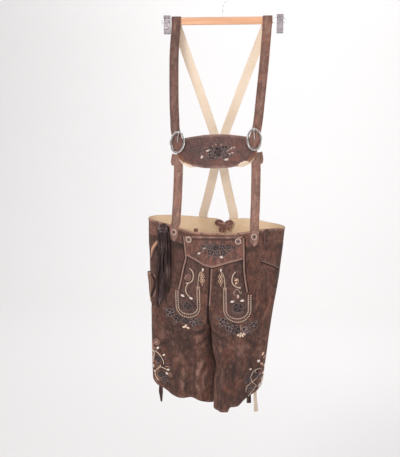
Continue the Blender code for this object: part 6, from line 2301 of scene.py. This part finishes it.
KNOT_OFF, KNOT_TOP = 0.1165, -1.222
points = [on_front(KNOT_OFF, z, -LEATHER - 0.005) for z in (KNOT_TOP, -1.245, -1.268)]
facing = normal_at(on_front, KNOT_OFF, KNOT_TOP)
piece = Piece(lace_hide, lace_hide, cut_edge)
line, faces, widths = refined(points, [facing] * 3, [0.01, 0.012, 0.013], 0.002)
for layer in (-1, 0, 1):
    moved = [p + facing * 0.0018 * layer + Vector((0.0012 * layer, 0, 0)) for p in line]
    strip_into(
        piece, moved, faces, [w * (1 - 0.1 * abs(layer)) for w in widths], 0.0019,
        wear_and_light=lambda i, u, layer=layer: 0.8 * abs(u) ** 3 - 0.2 + 0.2 * layer
    )
piece.build("lace_hem_knot", "dark_leather", ["hem_knot_left"])

# %% Back lacing and its bow
for name, ends, lift in (
    ("back_lace", ((-0.024, -0.722), (0.03, -0.744)), LIFT + 0.0008),
    ("back_lace_over", ((-0.024, -0.744), (0.03, -0.722)), LIFT + 0.0028),
):
    line, faces = [], []
    for run in spread(0.0, 1.0, 30):
        off, z = mix(ends[0][0], ends[1][0], run), mix(ends[0][1], ends[1][1], run)
        line.append(on_back(off, z, lift))
        faces.append(normal_at(on_back, off, z))
    piece = Piece(lace_hide, lace_hide, cut_edge)
    strip_into(piece, line, faces, [0.0058] * 30, 0.0016, wear_and_light=lambda i, u: 0.7 * abs(u) ** 3 - 0.2)
    piece.build(f"leather_{name}", "dark_leather", [name])

centre = on_back(NOTCH_OFF + 0.002, -0.723, -LEATHER - 0.0064)
piece = Piece(suede_bow, suede_bow, cut_edge)
knot = ((-0.0075, 0.0005), (-0.003, 0.001), (0.0, 0.0), (0.003, -0.0008), (0.0075, -0.001))
knot = [centre + Vector((x, -0.0012, z)) for x, z in knot]
strip_into(
    piece, smooth_path(knot, 12), [Vector((0, -1, 0))] * 12,
    [mix(0.0095, 0.015, math.sin(math.pi * i / 11)) for i in range(12)], 0.0085, crown=0.6,
    wear_and_light=lambda k, u: 1.0 * abs(u) ** 3 - 0.2
)
# Two plump loops, folded nearly flat, and four short ends.
BOW = (
    (
        [
            (0.003, -0.001), (-0.009, 0.0105), (-0.02, 0.012), (-0.0235, 0.005), (-0.015, 0.0),
            (0.001, -0.0015)
        ],
        0.0115
    ),
    (
        [
            (-0.003, -0.001), (0.009, 0.0085), (0.02, 0.012), (0.0245, 0.0065), (0.016, 0.0005),
            (-0.001, -0.0015)
        ],
        0.0115
    ),
    ([(0.0, 0.0), (-0.009, -0.009), (-0.0125, -0.022)], 0.012),
    ([(0.0, 0.0), (-0.002, -0.012), (-0.001, -0.024)], 0.011),
    ([(0.0, 0.0), (0.01, -0.008), (0.0185, -0.017)], 0.0105),
    ([(0.002, 0.0), (0.014, -0.004), (0.025, -0.0045)], 0.0085),
)
# The strips are dark down their middle, painted shade in the loops' hollows, and pale at their edges, painted
# highlight.
for i, (shape, width) in enumerate(BOW):
    looped = i < 2
    points = [centre + Vector((x, -0.0003 * k - 0.0004 * i, z)) for k, (x, z) in enumerate(shape)]
    line = smooth_path(points, 30 if looped else 12)
    up = Vector((0.0, -0.93, 0.37)) if looped else Vector((0.12 * (i - 3), -1, 0))
    wide = [width * (0.75 + 0.35 * math.sin(math.pi * k / (len(line) - 1))) for k in range(len(line))]
    strip_into(piece, line, [up] * len(line), wide, 0.0018, wear_and_light=lambda k, u: 1.3 * abs(u) ** 2.5 - 0.6)
piece.build("suede_bow", "brown_leather", ["back_bow"])

piece = Piece(brown_nubuck, cream_flesh, cut_edge)
rows = [[(off, z) for off in spread(-0.056, -0.044, 9)] for z in spread(-0.706, -0.736, 16)]
wall_into(piece, rows, on_front, -LEATHER - 0.0026, -LEATHER - 0.0008)
piece.build("leather_inner_tab", "brown_leather", ["inner_tab"])
print("laces and bow made")

# %% [markdown]
# ## The hanger
# A beech bar with rounded edges carries a swivel hook of bright wire. Its long clips run on wire loops at the
# ends. The frame's bar already has the true shape, so it only gets its wood. The hook and the wires are drawn
# again with more sides, because bright metal shows every flat.

# %% Bar, hook, wires and clips
def refinish(node, finish):
    obj = bpy.data.objects[node]
    for place in obj.material_slots:
        place.material = finish


refinish("hanger_bar", bar_beech)
WIRE_STEPS = 90
hook_centre = -HOOK_RADIUS + HOOK_WIRE
points = [(HOOK_RADIUS * math.cos(a), 0, hook_centre + HOOK_RADIUS * math.sin(a)) for a in [
    math.radians(t) for t in spread(196, -48, 40)
]]
points += [(0.0085, 0, -0.0455), (0.003, 0, -0.0515), (0.0, 0, -0.06), (0, 0, -0.078), (0, 0, BAR_Z + 0.002)]
piece = Piece(hook_steel)
line = smooth_path(points, WIRE_STEPS)
tube_into(piece, line, [HOOK_WIRE * 0.55, HOOK_WIRE * 0.9] + [HOOK_WIRE] * (WIRE_STEPS - 2), 0, 16)
piece.build("steel_hook", "steel", ["hanger_hook"])

for side, who in SIDES.items():
    inner_end, bend = side * (BAR_HALF - 0.018), ROD_REACH - ROD_SPREAD - ROD
    loop = [(inner_end, 0, BAR_Z + ROD_SPREAD), (side * 0.16, 0, BAR_Z + ROD_SPREAD)]
    loop += [(side * (bend + ROD_SPREAD * math.cos(a)), 0, BAR_Z + ROD_SPREAD * math.sin(a)) for a in [
        math.radians(t) for t in spread(90, -90, 15)
    ]]
    loop += [(side * 0.16, 0, BAR_Z - ROD_SPREAD), (inner_end, 0, BAR_Z - ROD_SPREAD)]
    piece = Piece(hook_steel)
    tube_into(piece, smooth_path(loop, WIRE_STEPS), ROD, 0, 14)
    piece.build(f"steel_wire_{who}", "steel", [f"hanger_wire_{who}"])
    refinish(f"clip_{who}", clip_steel)
print("hanger finished")


# %% [markdown]
# ## Embroidery
# Leather breeches wear their decoration in thread: curling stems, white leaves, dark roses and gold lattices
# on the flap, sprays under its bands, garlands up the hems and a wreath on the chest bar. Each motif here is
# built from true stitches on the surface. A stem is two twisted strands, a leaf is slanted satin stitch from
# its vein, a rose is one thread wound round. The tables only say where each goes, which way and how big.

# %% Motif makers
CREAM, WHITE, GOLD, DARK, GREY, PINK, PALE = range(7)
SATIN_GAP, SATIN_THREAD = 0.0011, 0.00058
LAY, LINE_STEP, COIL_STEP = 0.0026, 0.0018, 0.0014
grey_thread = thread("grey thread", (0.215, 0.152, 0.143), (0.128, 0.089, 0.084), 0.55, 0.08)
beige_grey_thread = thread("beige grey thread", (0.47, 0.365, 0.3), (0.3, 0.22, 0.18), 0.5, 0.15)
pink_thread = thread("old rose thread", (0.5, 0.27, 0.2), (0.32, 0.16, 0.115))
THREADS = (cream_thread, white_thread, gold_thread, dark_thread, grey_thread, pink_thread, beige_grey_thread)


def ring_path(at, radius, tall=1.0, start=0.0, sweep=360.0, count=12):
    """Places round an oval or an arc."""
    turns = [math.radians(start + sweep * k / count) for k in range(count + 1)]
    return [(at[0] + radius * math.cos(t), at[1] + radius * tall * math.sin(t)) for t in turns]


def petal_loop(at, angle, length, width):
    """The outline of a petal that starts and ends at a point."""
    c, s = heading(angle)
    found = []
    for k in range(9):
        t = math.pi * k / 8
        along, aside = length * math.sin(t), width / 2 * math.sin(2 * t)
        found.append((at[0] + along * c - aside * s, at[1] + along * s + aside * c))
    return found


def bloom_into(piece, ground, at, radius, petals, turn):
    """An open flower: satin petals, each with a fine outline, round a coiled heart."""
    for k in range(petals):
        angle = turn + 360 * k / petals
        c, s = heading(angle)
        middle = at[0] + c * radius * 0.6, at[1] + s * radius * 0.6
        leaf_into(
            piece, ground, middle, angle, radius * 0.78, radius * 0.72, DARK, 0.0002, SATIN_GAP, SATIN_THREAD
        )
        loop = petal_loop(
            (at[0] + c * radius * 0.14, at[1] + s * radius * 0.14), angle, radius * 0.9, radius * 1.05
        )
        cord_stitch_into(piece, ground, loop, radius * 0.06, GREY, LAY, 0.0005, LINE_STEP)
    rose_into(piece, ground, at, radius * 0.22, DARK, 0.0006, 0.00045)
    cord_stitch_into(piece, ground, ring_path(at, radius * 0.27), radius * 0.05, GREY, LAY, 0.0009, COIL_STEP)


def edged_leaf_into(piece, ground, at, angle, length, width):
    """A satin leaf with a fine outline and a vein."""
    c, s = heading(angle)
    leaf_into(piece, ground, at, angle, length, width, DARK, 0.0002, SATIN_GAP, SATIN_THREAD)
    foot, tip = (
        (at[0] - c * length / 2, at[1] - s * length / 2), (at[0] + c * length / 2, at[1] + s * length / 2)
    )
    cord_stitch_into(piece, ground, [foot, at, tip], width * 0.06, GREY, LAY, 0.0009, LINE_STEP)
    for sign in (-1, 1):
        bend = at[0] - s * sign * width * 0.52, at[1] + c * sign * width * 0.52
        cord_stitch_into(piece, ground, [foot, bend, tip], width * 0.08, GREY, LAY, 0.0004, LINE_STEP)


def wound_rose_into(piece, ground, at, radius, turn=0.0):
    """A full dark rose: overlapping satin petals in two rings, grey arcs between them, a coiled heart."""
    for ring, (reach, count, size) in enumerate(((0.7, 6, 0.62), (0.38, 4, 0.5))):
        for k in range(count):
            angle = turn + 360 * (k + 0.5 * ring) / count
            c, s = heading(angle)
            middle = at[0] + c * radius * reach, at[1] + s * radius * reach
            leaf_into(
                piece, ground, middle, angle + 90, radius * size * 1.3, radius * size * 0.8, DARK,
                0.0002 + 0.0004 * ring, SATIN_GAP, 0.0006
            )
            arc = ring_path(at, radius * (reach + 0.22), 1.0, angle - 26, 52, 5)
            cord_stitch_into(piece, ground, arc, radius * 0.048, GREY, LAY, 0.0007 + 0.0004 * ring, LINE_STEP)
    rose_into(piece, ground, at, radius * 0.22, DARK, 0.0012, 0.00048)
    cord_stitch_into(
        piece, ground, ring_path(at, radius * 0.26), radius * 0.042, GREY, LAY, 0.0014, COIL_STEP
    )


def sew_motifs(piece, ground, motifs):
    """Works through a table of motifs, each a kind of stitch and its own numbers."""
    for what, *facts in motifs:
        if what == "stem":
            thick, colour, *path = facts
            cord_stitch_into(piece, ground, path, thick, colour, thick * 4.6)
        elif what == "leaf":
            colour, at, angle, length, width = facts
            leaf_into(piece, ground, at, angle, length, width, colour, 0.0003, 0.0008, 0.00048)
        elif what == "edged":
            at, angle, length, width = facts
            edged_leaf_into(piece, ground, at, angle, length, width)
        elif what == "bloom":
            at, radius, petals, turn = facts
            bloom_into(piece, ground, at, radius, petals, turn)
        elif what == "rose":
            at, radius, turn = facts
            wound_rose_into(piece, ground, at, radius, turn)
        elif what == "knot":
            colour, at, radius = facts
            rose_into(piece, ground, at, radius, colour, 0.0004, 0.00055, 0.0014)
        elif what == "ring":
            colour, at, radius, tall, start, sweep = facts
            cord_stitch_into(
                piece, ground, ring_path(at, radius, tall, start, sweep), 0.00075, colour, 0.0034
            )
        elif what == "hatch":
            colour, at, wide, tall, angle = facts
            c, s = heading(angle)
            for k in range(round(wide / 0.0016)):
                x = (k + 0.5) * 0.0016 - wide / 2
                half = tall / 2 * math.sqrt(max(0.05, 1 - (2 * x / wide) ** 2))
                path = [(at[0] + x * c - y * s, at[1] + x * s + y * c) for y in (-half, 0.0, half)]
                sew_into(piece, ground, path, 0.0026, 0.0019, 0.00026, colour)


def embroider(name, ground, motifs):
    """One embroidered piece from its table of motifs."""
    piece = Piece(*THREADS)
    sew_motifs(piece, ground, motifs)
    piece.build(f"needlework_{name}", "cream_leather")


# %% Stems, leaves and roses on the lobes
LOBE_WORK = {
    RIGHT: (
        (
            "stem", 0.0012, CREAM, (-0.0675, -0.8276), (-0.059, -0.838), (-0.0566, -0.854), (-0.0614, -0.868),
            (-0.0712, -0.8745), (-0.0812, -0.8757)
        ),
        (
            "stem", 0.00105, CREAM, (-0.0735, -0.8765), (-0.0794, -0.887), (-0.0812, -0.9), (-0.077, -0.911),
            (-0.07, -0.919)
        ),
        ("leaf", WHITE, (-0.091, -0.9177), 160, 0.0125, 0.0072),
        ("leaf", WHITE, (-0.0657, -0.9238), -22, 0.012, 0.0072),
        ("rose", (-0.076, -0.95), 0.015, 10),
        ("hatch", PINK, (-0.0745, -0.859), 0.02, 0.019, 40),
        ("stem", 0.0006, PINK, (-0.085, -0.864), (-0.079, -0.852), (-0.07, -0.848), (-0.065, -0.856)),
        ("stem", 0.0005, GREY, (-0.064, -0.901), (-0.056, -0.91), (-0.054, -0.924), (-0.058, -0.935)),
        ("stem", 0.0005, GREY, (-0.088, -0.929), (-0.095, -0.937), (-0.096, -0.948)),
        ("edged", (-0.089, -0.9), 120, 0.011, 0.006),
        ("edged", (-0.069, -0.902), 60, 0.01, 0.0056),
        ("edged", (-0.093, -0.96), 220, 0.01, 0.0056),
        ("edged", (-0.059, -0.96), -40, 0.01, 0.0056),
    ),
    LEFT: (
        (
            "stem", 0.0012, CREAM, (0.0708, -0.8332), (0.0634, -0.8442), (0.0602, -0.8601), (0.0634, -0.8728),
            (0.0724, -0.8807), (0.0813, -0.8839)
        ),
        ("leaf", WHITE, (0.0826, -0.8842), -8, 0.007, 0.0042),
        ("leaf", GOLD, (0.0724, -0.86), 20, 0.011, 0.005),
        ("leaf", GOLD, (0.0724, -0.8695), 60, 0.0095, 0.0048),
        ("stem", 0.0006, GOLD, (0.067, -0.856), (0.075, -0.854), (0.08, -0.86), (0.078, -0.868)),
        (
            "stem", 0.00075, PALE, (0.068, -0.901), (0.07, -0.891), (0.076, -0.888), (0.08, -0.893),
            (0.086, -0.903), (0.089, -0.896)
        ),
        ("stem", 0.00055, PALE, (0.064, -0.896), (0.0665, -0.906), (0.0735, -0.9075)),
        ("leaf", PALE, (0.0783, -0.9125), 90, 0.0125, 0.007),
        ("leaf", WHITE, (0.0618, -0.9293), 190, 0.012, 0.0072),
        ("leaf", WHITE, (0.0903, -0.926), 12, 0.012, 0.0072),
        ("rose", (0.0782, -0.949), 0.017, 30),
        ("ring", GREY, (0.0782, -0.949), 0.0205, 1.0, 200, 130),
        ("edged", (0.057, -0.952), 240, 0.01, 0.0056),
        ("edged", (0.099, -0.95), -60, 0.01, 0.0056),
    ),
}
for side, who in SIDES.items():
    embroider(f"lobe_{who}", flap_ground, LOBE_WORK[side])


# %% Gold lattices beside the centre seam
def lattice(middle, top, colour):
    """Small diamonds laid in a column, three rows of two between single ones."""
    rows, aside = [], 0.0038
    for x, drop in ((0.0, 0), (-aside, 1), (aside, 1), (0.0, 2), (-aside, 3), (aside, 3), (0.0, 4)):
        x, z = middle + x, top - 0.0045 - 0.0065 * drop
        rows.append(("stem", 0.00062, colour, (x, z + 0.0052), (x + 0.0034, z), (x, z - 0.0052)))
        rows.append(("stem", 0.00062, colour, (x, z + 0.0052), (x - 0.0034, z), (x, z - 0.0052)))
    rows.append(("knot", colour, (middle, top - 0.039), 0.0014))
    return rows


for side, who in SIDES.items():
    piece = Piece(*THREADS)
    middle = -0.0297 if side == RIGHT else 0.0268
    motifs = lattice(middle, -0.84, GOLD)
    motifs.append(("leaf", WHITE, (side * 0.0273, -0.8305), 90, 0.0105, 0.0056))
    sew_motifs(piece, flap_ground, motifs)
    # The band's cord runs on up beside the lattice and curls over to the white leaf.
    lobe = LOBES[side]
    inner = lobe.off - lobe.half
    curl = [(inner + 0.006, -0.892), (inner + 0.0052, -0.87), (inner + 0.003, -0.852), (inner - 0.001, -0.84)]
    curl = [(side * off, z) for off, z in [*curl, (0.029, -0.8355)]]
    raised = lambda off, z, lift: on_front(off, z, BAND_RIDGE + lift + 0.0004)
    cord_stitch_into(piece, raised, curl, 0.00085, CREAM, 0.0032)
    piece.build(f"needlework_lattice_{who}", "cream_leather")

# %% Yoke cluster
YOKE_WORK = (
    ("bloom", (-0.0242, -0.7602), 0.0078, 5, 80),
    ("bloom", (-0.006, -0.758), 0.0088, 6, 20),
    ("rose", (0.0121, -0.76), 0.011, 0),
    ("bloom", (0.032, -0.759), 0.0088, 5, 60),
    ("bloom", (0.049, -0.756), 0.008, 5, 100),
    ("bloom", (-0.004, -0.7745), 0.009, 5, 10),
    ("bloom", (0.015, -0.778), 0.0096, 6, 40),
    ("bloom", (0.0345, -0.7755), 0.0084, 5, 0),
    ("edged", (0.0511, -0.769), -20, 0.012, 0.0066),
    ("edged", (0.0062, -0.7928), 250, 0.012, 0.0066),
    ("edged", (-0.009, -0.788), 220, 0.011, 0.006),
    ("edged", (0.0031, -0.7469), 100, 0.011, 0.006),
    ("edged", (-0.015, -0.748), 130, 0.01, 0.0056),
    ("edged", (0.026, -0.747), 70, 0.01, 0.0056),
    ("edged", (0.062, -0.76), 10, 0.01, 0.0056),
    ("leaf", WHITE, (-0.0226, -0.763), 200, 0.01, 0.0056),
    ("leaf", WHITE, (-0.038, -0.7793), 210, 0.01, 0.0058),
    ("leaf", WHITE, (0.0288, -0.7885), -15, 0.011, 0.006),
    ("stem", 0.00045, GREY, (-0.034, -0.776), (-0.023, -0.77), (-0.012, -0.774)),
    ("stem", 0.00045, GREY, (0.023, -0.786), (0.017, -0.79), (0.009, -0.788)),
    ("stem", 0.00045, GREY, (-0.03, -0.748), (-0.02, -0.741), (-0.006, -0.74), (0.008, -0.744)),
)
embroider("yoke", yoke_ground, YOKE_WORK)

# %% Sprays under the bands
SPRAY_WORK = {
    RIGHT: (
        ("bloom", (-0.134, -0.978), 0.013, 5, 40),
        ("edged", (-0.149, -0.97), 150, 0.016, 0.0086),
        ("edged", (-0.144, -0.99), 215, 0.015, 0.008),
        ("rose", (-0.109, -0.995), 0.014, 10),
        ("edged", (-0.121, -0.968), 100, 0.015, 0.008),
        ("edged", (-0.119, -1.011), 225, 0.015, 0.008),
        ("rose", (-0.084, -1.003), 0.013, 0),
        ("bloom", (-0.06, -1.005), 0.013, 6, 30),
        ("edged", (-0.041, -1.015), -30, 0.016, 0.0084),
        ("edged", (-0.043, -0.996), 50, 0.016, 0.0084),
        ("edged", (-0.064, -1.025), 250, 0.014, 0.0076),
        ("stem", 0.0006, CREAM, (-0.08, -0.983), (-0.079, -0.989), (-0.076, -0.994)),
        ("stem", 0.0005, GREY, (-0.131, -0.99), (-0.118, -1.001), (-0.101, -1.01), (-0.09, -1.014)),
        ("leaf", CREAM, (-0.09, -1.023), 200, 0.011, 0.0066),
        ("leaf", CREAM, (-0.079, -1.026), -30, 0.011, 0.0066),
        ("leaf", CREAM, (-0.085, -1.018), 95, 0.009, 0.006),
        ("knot", WHITE, (-0.0848, -1.0235), 0.0024),
    ),
    LEFT: (
        ("bloom", (0.034, -0.999), 0.0125, 5, 30),
        ("edged", (0.019, -0.99), 150, 0.016, 0.008),
        ("edged", (0.025, -1.013), 215, 0.015, 0.008),
        ("edged", (0.043, -0.983), 80, 0.014, 0.0076),
        ("bloom", (0.052, -1.013), 0.0125, 5, 0),
        ("rose", (0.072, -1.02), 0.016, 20),
        ("edged", (0.053, -1.033), 235, 0.015, 0.008),
        ("stem", 0.0006, GREY, (0.028, -0.987), (0.016, -0.98), (0.006, -0.982)),
        ("edged", (0.101, -1.019), 60, 0.02, 0.019),
        ("ring", GREY, (0.103, -1.019), 0.012, 1.0, 0, 360),
        ("knot", GREY, (0.103, -1.019), 0.004),
        ("edged", (0.115, -0.999), 60, 0.016, 0.0084),
        ("edged", (0.101, -0.995), 110, 0.015, 0.008),
        ("bloom", (0.126, -1.008), 0.011, 5, 20),
        ("edged", (0.133, -0.994), 50, 0.012, 0.006),
        ("edged", (0.118, -1.029), -40, 0.012, 0.0064),
        ("stem", 0.0007, CREAM, (0.088, -1.005), (0.0872, -1.012), (0.088, -1.019)),
        ("leaf", CREAM, (0.08, -1.037), 225, 0.0105, 0.0052),
        ("leaf", CREAM, (0.0865, -1.039), 255, 0.011, 0.0052),
        ("leaf", CREAM, (0.093, -1.038), 290, 0.011, 0.0052),
        ("leaf", CREAM, (0.097, -1.033), 325, 0.0105, 0.0052),
        ("knot", WHITE, (0.0882, -1.031), 0.0026),
    ),
}


def leg_ground(off, z, lift):
    return on_front(off, z, lift + 0.0002)


for side, who in SIDES.items():
    embroider(f"spray_{who}", leg_ground, SPRAY_WORK[side])

# %% Garlands up the hems
HEM_WORK = {
    RIGHT: (
        ("ring", PINK, (-0.182, -1.085), 0.0085, 1.15, 0, 360),
        ("ring", PINK, (-0.182, -1.085), 0.0045, 1.15, 40, 360),
        ("ring", PINK, (-0.189, -1.1), 0.0075, 1.1, 60, 250),
        ("knot", CREAM, (-0.182, -1.085), 0.002),
        ("leaf", WHITE, (-0.1796, -1.1064), 60, 0.011, 0.007),
        ("leaf", WHITE, (-0.1949, -1.12), 130, 0.0085, 0.0056),
        ("leaf", WHITE, (-0.162, -1.129), 40, 0.01, 0.007),
        (
            "stem", 0.0011, CREAM, (-0.188, -1.117), (-0.177, -1.125), (-0.169, -1.138), (-0.164, -1.152),
            (-0.164, -1.162)
        ),
        ("stem", 0.00095, CREAM, (-0.188, -1.117), (-0.191, -1.133), (-0.195, -1.148), (-0.196, -1.159)),
        ("rose", (-0.179, -1.144), 0.0125, 15),
        ("edged", (-0.18, -1.162), 250, 0.012, 0.0064),
        ("edged", (-0.156, -1.142), 20, 0.011, 0.006),
        ("edged", (-0.153, -1.16), -20, 0.011, 0.006),
        ("stem", 0.001, CREAM, (-0.186, -1.183), (-0.176, -1.173), (-0.172, -1.164)),
        ("stem", 0.001, CREAM, (-0.174, -1.171), (-0.162, -1.176), (-0.154, -1.18)),
        ("leaf", WHITE, (-0.15, -1.18), 10, 0.01, 0.007),
        ("leaf", WHITE, (-0.1545, -1.193), -60, 0.01, 0.0066),
        ("leaf", WHITE, (-0.195, -1.172), 110, 0.0105, 0.006),
        ("stem", 0.001, CREAM, (-0.1895, -1.189), (-0.189, -1.201), (-0.184, -1.212), (-0.179, -1.219)),
        ("leaf", CREAM, (-0.19, -1.188), 200, 0.008, 0.0056),
        ("rose", (-0.17, -1.196), 0.012, 0),
        ("bloom", (-0.161, -1.212), 0.009, 5, 30),
        ("edged", (-0.15, -1.219), -40, 0.012, 0.0064),
        ("edged", (-0.161, -1.227), -80, 0.011, 0.006),
        ("edged", (-0.174, -1.22), 240, 0.011, 0.006),
        ("hatch", PINK, (-0.143, -1.198), 0.014, 0.018, 20),
        ("stem", 0.0005, GOLD, (-0.16, -1.17), (-0.148, -1.169), (-0.14, -1.174)),
    ),
    LEFT: (
        ("leaf", GOLD, (0.1514, -1.1054), 70, 0.012, 0.0066),
        ("leaf", PINK, (0.156, -1.118), 40, 0.011, 0.006),
        ("knot", WHITE, (0.1398, -1.1266), 0.0042),
        ("leaf", PINK, (0.148, -1.138), 120, 0.01, 0.006),
        ("leaf", WHITE, (0.1564, -1.15), 80, 0.0085, 0.0052),
        ("knot", PALE, (0.1195, -1.153), 0.0036),
        (
            "stem", 0.001, PALE, (0.14, -1.152), (0.129, -1.158), (0.123, -1.17), (0.12, -1.182),
            (0.124, -1.195), (0.133, -1.208)
        ),
        ("ring", PALE, (0.14, -1.16), 0.008, 1.0, 20, 200),
        (
            "stem", 0.0009, PALE, (0.111, -1.208), (0.12, -1.199), (0.13, -1.188), (0.139, -1.176),
            (0.144, -1.166)
        ),
        ("stem", 0.0008, PALE, (0.11, -1.207), (0.106, -1.218), (0.106, -1.229)),
        ("stem", 0.00085, PALE, (0.133, -1.208), (0.126, -1.22), (0.118, -1.235), (0.113, -1.244)),
        ("rose", (0.134, -1.176), 0.011, 40),
        ("rose", (0.112, -1.187), 0.0105, 10),
        ("bloom", (0.12, -1.216), 0.009, 5, 70),
        ("edged", (0.11, -1.168), 130, 0.012, 0.0064),
        ("edged", (0.104, -1.198), 190, 0.011, 0.006),
        ("edged", (0.115, -1.232), 260, 0.012, 0.0064),
        ("leaf", WHITE, (0.15, -1.193), 60, 0.011, 0.007),
        ("leaf", CREAM, (0.153, -1.176), 100, 0.01, 0.0056),
        ("ring", WHITE, (0.144, -1.211), 0.0068, 1.1, 0, 360),
        ("knot", WHITE, (0.144, -1.211), 0.005),
        ("leaf", CREAM, (0.15, -1.202), 30, 0.009, 0.0056),
    ),
}
for side, who in SIDES.items():
    embroider(f"hem_{who}", leg_ground, HEM_WORK[side])

# %% Wreath on the chest bar
CHEST_WORK = (
    ("rose", (-0.0051, -0.477), 0.0165, 15),
    ("bloom", (-0.026, -0.472), 0.0105, 5, 30),
    ("bloom", (-0.023, -0.49), 0.01, 5, 80),
    ("bloom", (0.015, -0.469), 0.0105, 5, 60),
    ("bloom", (0.016, -0.486), 0.01, 6, 0),
    ("edged", (-0.008, -0.496), 260, 0.013, 0.0068),
    ("edged", (-0.005, -0.458), 90, 0.013, 0.0068),
    ("leaf", WHITE, (-0.035, -0.474), 25, 0.0115, 0.0066),
    ("leaf", WHITE, (-0.0525, -0.4933), 60, 0.0105, 0.0072),
    ("leaf", WHITE, (0.0206, -0.499), 15, 0.012, 0.0064),
    ("leaf", PALE, (0.0245, -0.4717), 20, 0.008, 0.0046),
    ("leaf", PALE, (0.0333, -0.4672), 40, 0.008, 0.0044),
    ("leaf", PALE, (0.042, -0.464), 10, 0.008, 0.0042),
    ("leaf", PALE, (0.0375, -0.479), -10, 0.008, 0.0044),
    ("leaf", PALE, (0.03, -0.483), -50, 0.007, 0.004),
    ("stem", 0.0006, GREY, (0.018, -0.478), (0.028, -0.475), (0.037, -0.472), (0.045, -0.465)),
    ("ring", GREY, (-0.039, -0.48), 0.017, 0.9, 40, 280),
    ("ring", GREY, (-0.0051, -0.477), 0.022, 0.85, 200, 140),
    ("ring", GREY, (0.032, -0.476), 0.0165, 0.9, -80, 200),
    ("ring", GREY, (-0.0051, -0.456), 0.012, 0.6, 0, 180),
    (
        "stem", 0.0006, GREY, (-0.022, -0.48), (-0.036, -0.485), (-0.048, -0.48), (-0.052, -0.47),
        (-0.045, -0.463)
    ),
    ("stem", 0.0006, GREY, (-0.036, -0.485), (-0.044, -0.496), (-0.036, -0.502)),
    ("edged", (-0.046, -0.47), 140, 0.012, 0.0062),
    ("edged", (-0.06, -0.478), 170, 0.014, 0.007),
    ("edged", (-0.074, -0.472), 165, 0.014, 0.0068),
    ("edged", (-0.069, -0.489), 200, 0.013, 0.0066),
    ("edged", (-0.088, -0.476), 175, 0.013, 0.0062),
    ("edged", (-0.0405, -0.496), 230, 0.012, 0.0062),
    ("edged", (0.0337, -0.488), -30, 0.013, 0.0066),
    ("edged", (0.05, -0.476), -10, 0.013, 0.0062),
    ("edged", (0.03, -0.459), 60, 0.011, 0.0058),
    ("knot", PINK, (-0.011, -0.456), 0.002),
    ("knot", PINK, (0.004, -0.456), 0.002),
    ("knot", PINK, (-0.02, -0.46), 0.0018),
    ("edged", (0.006, -0.45), 160, 0.01, 0.0052),
)
embroider("chest", bar_ground, CHEST_WORK)
print("embroidered pieces:", len([o for o in bpy.data.objects if o.name.startswith("needlework")]))


# %% [markdown]
# ## Last checks
# This prints how far the dressed model reaches past the box of its solids on each side, where thread may
# stand out by its thickness, and counts the triangles of the pieces.

# %% Sizes and finish
dressed_box = [list(corner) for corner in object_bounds()]
for axis, letter in enumerate("xyz"):
    below, above = cad_box[0][axis] - dressed_box[0][axis], dressed_box[1][axis] - cad_box[1][axis]
    print(f"{letter}: {below * 1000:+.1f} mm below and {above * 1000:+.1f} mm above the box of the solids")
shown = [obj for obj in bpy.data.objects if obj.type == "MESH" and not obj.hide_render]
triangles = {obj.name: sum(len(face.vertices) - 2 for face in obj.data.polygons) for obj in shown}
print("triangles of the biggest pieces:", sorted(triangles.items(), key=lambda pair: -pair[1])[:6])
print("triangles in all:", sum(triangles.values()))
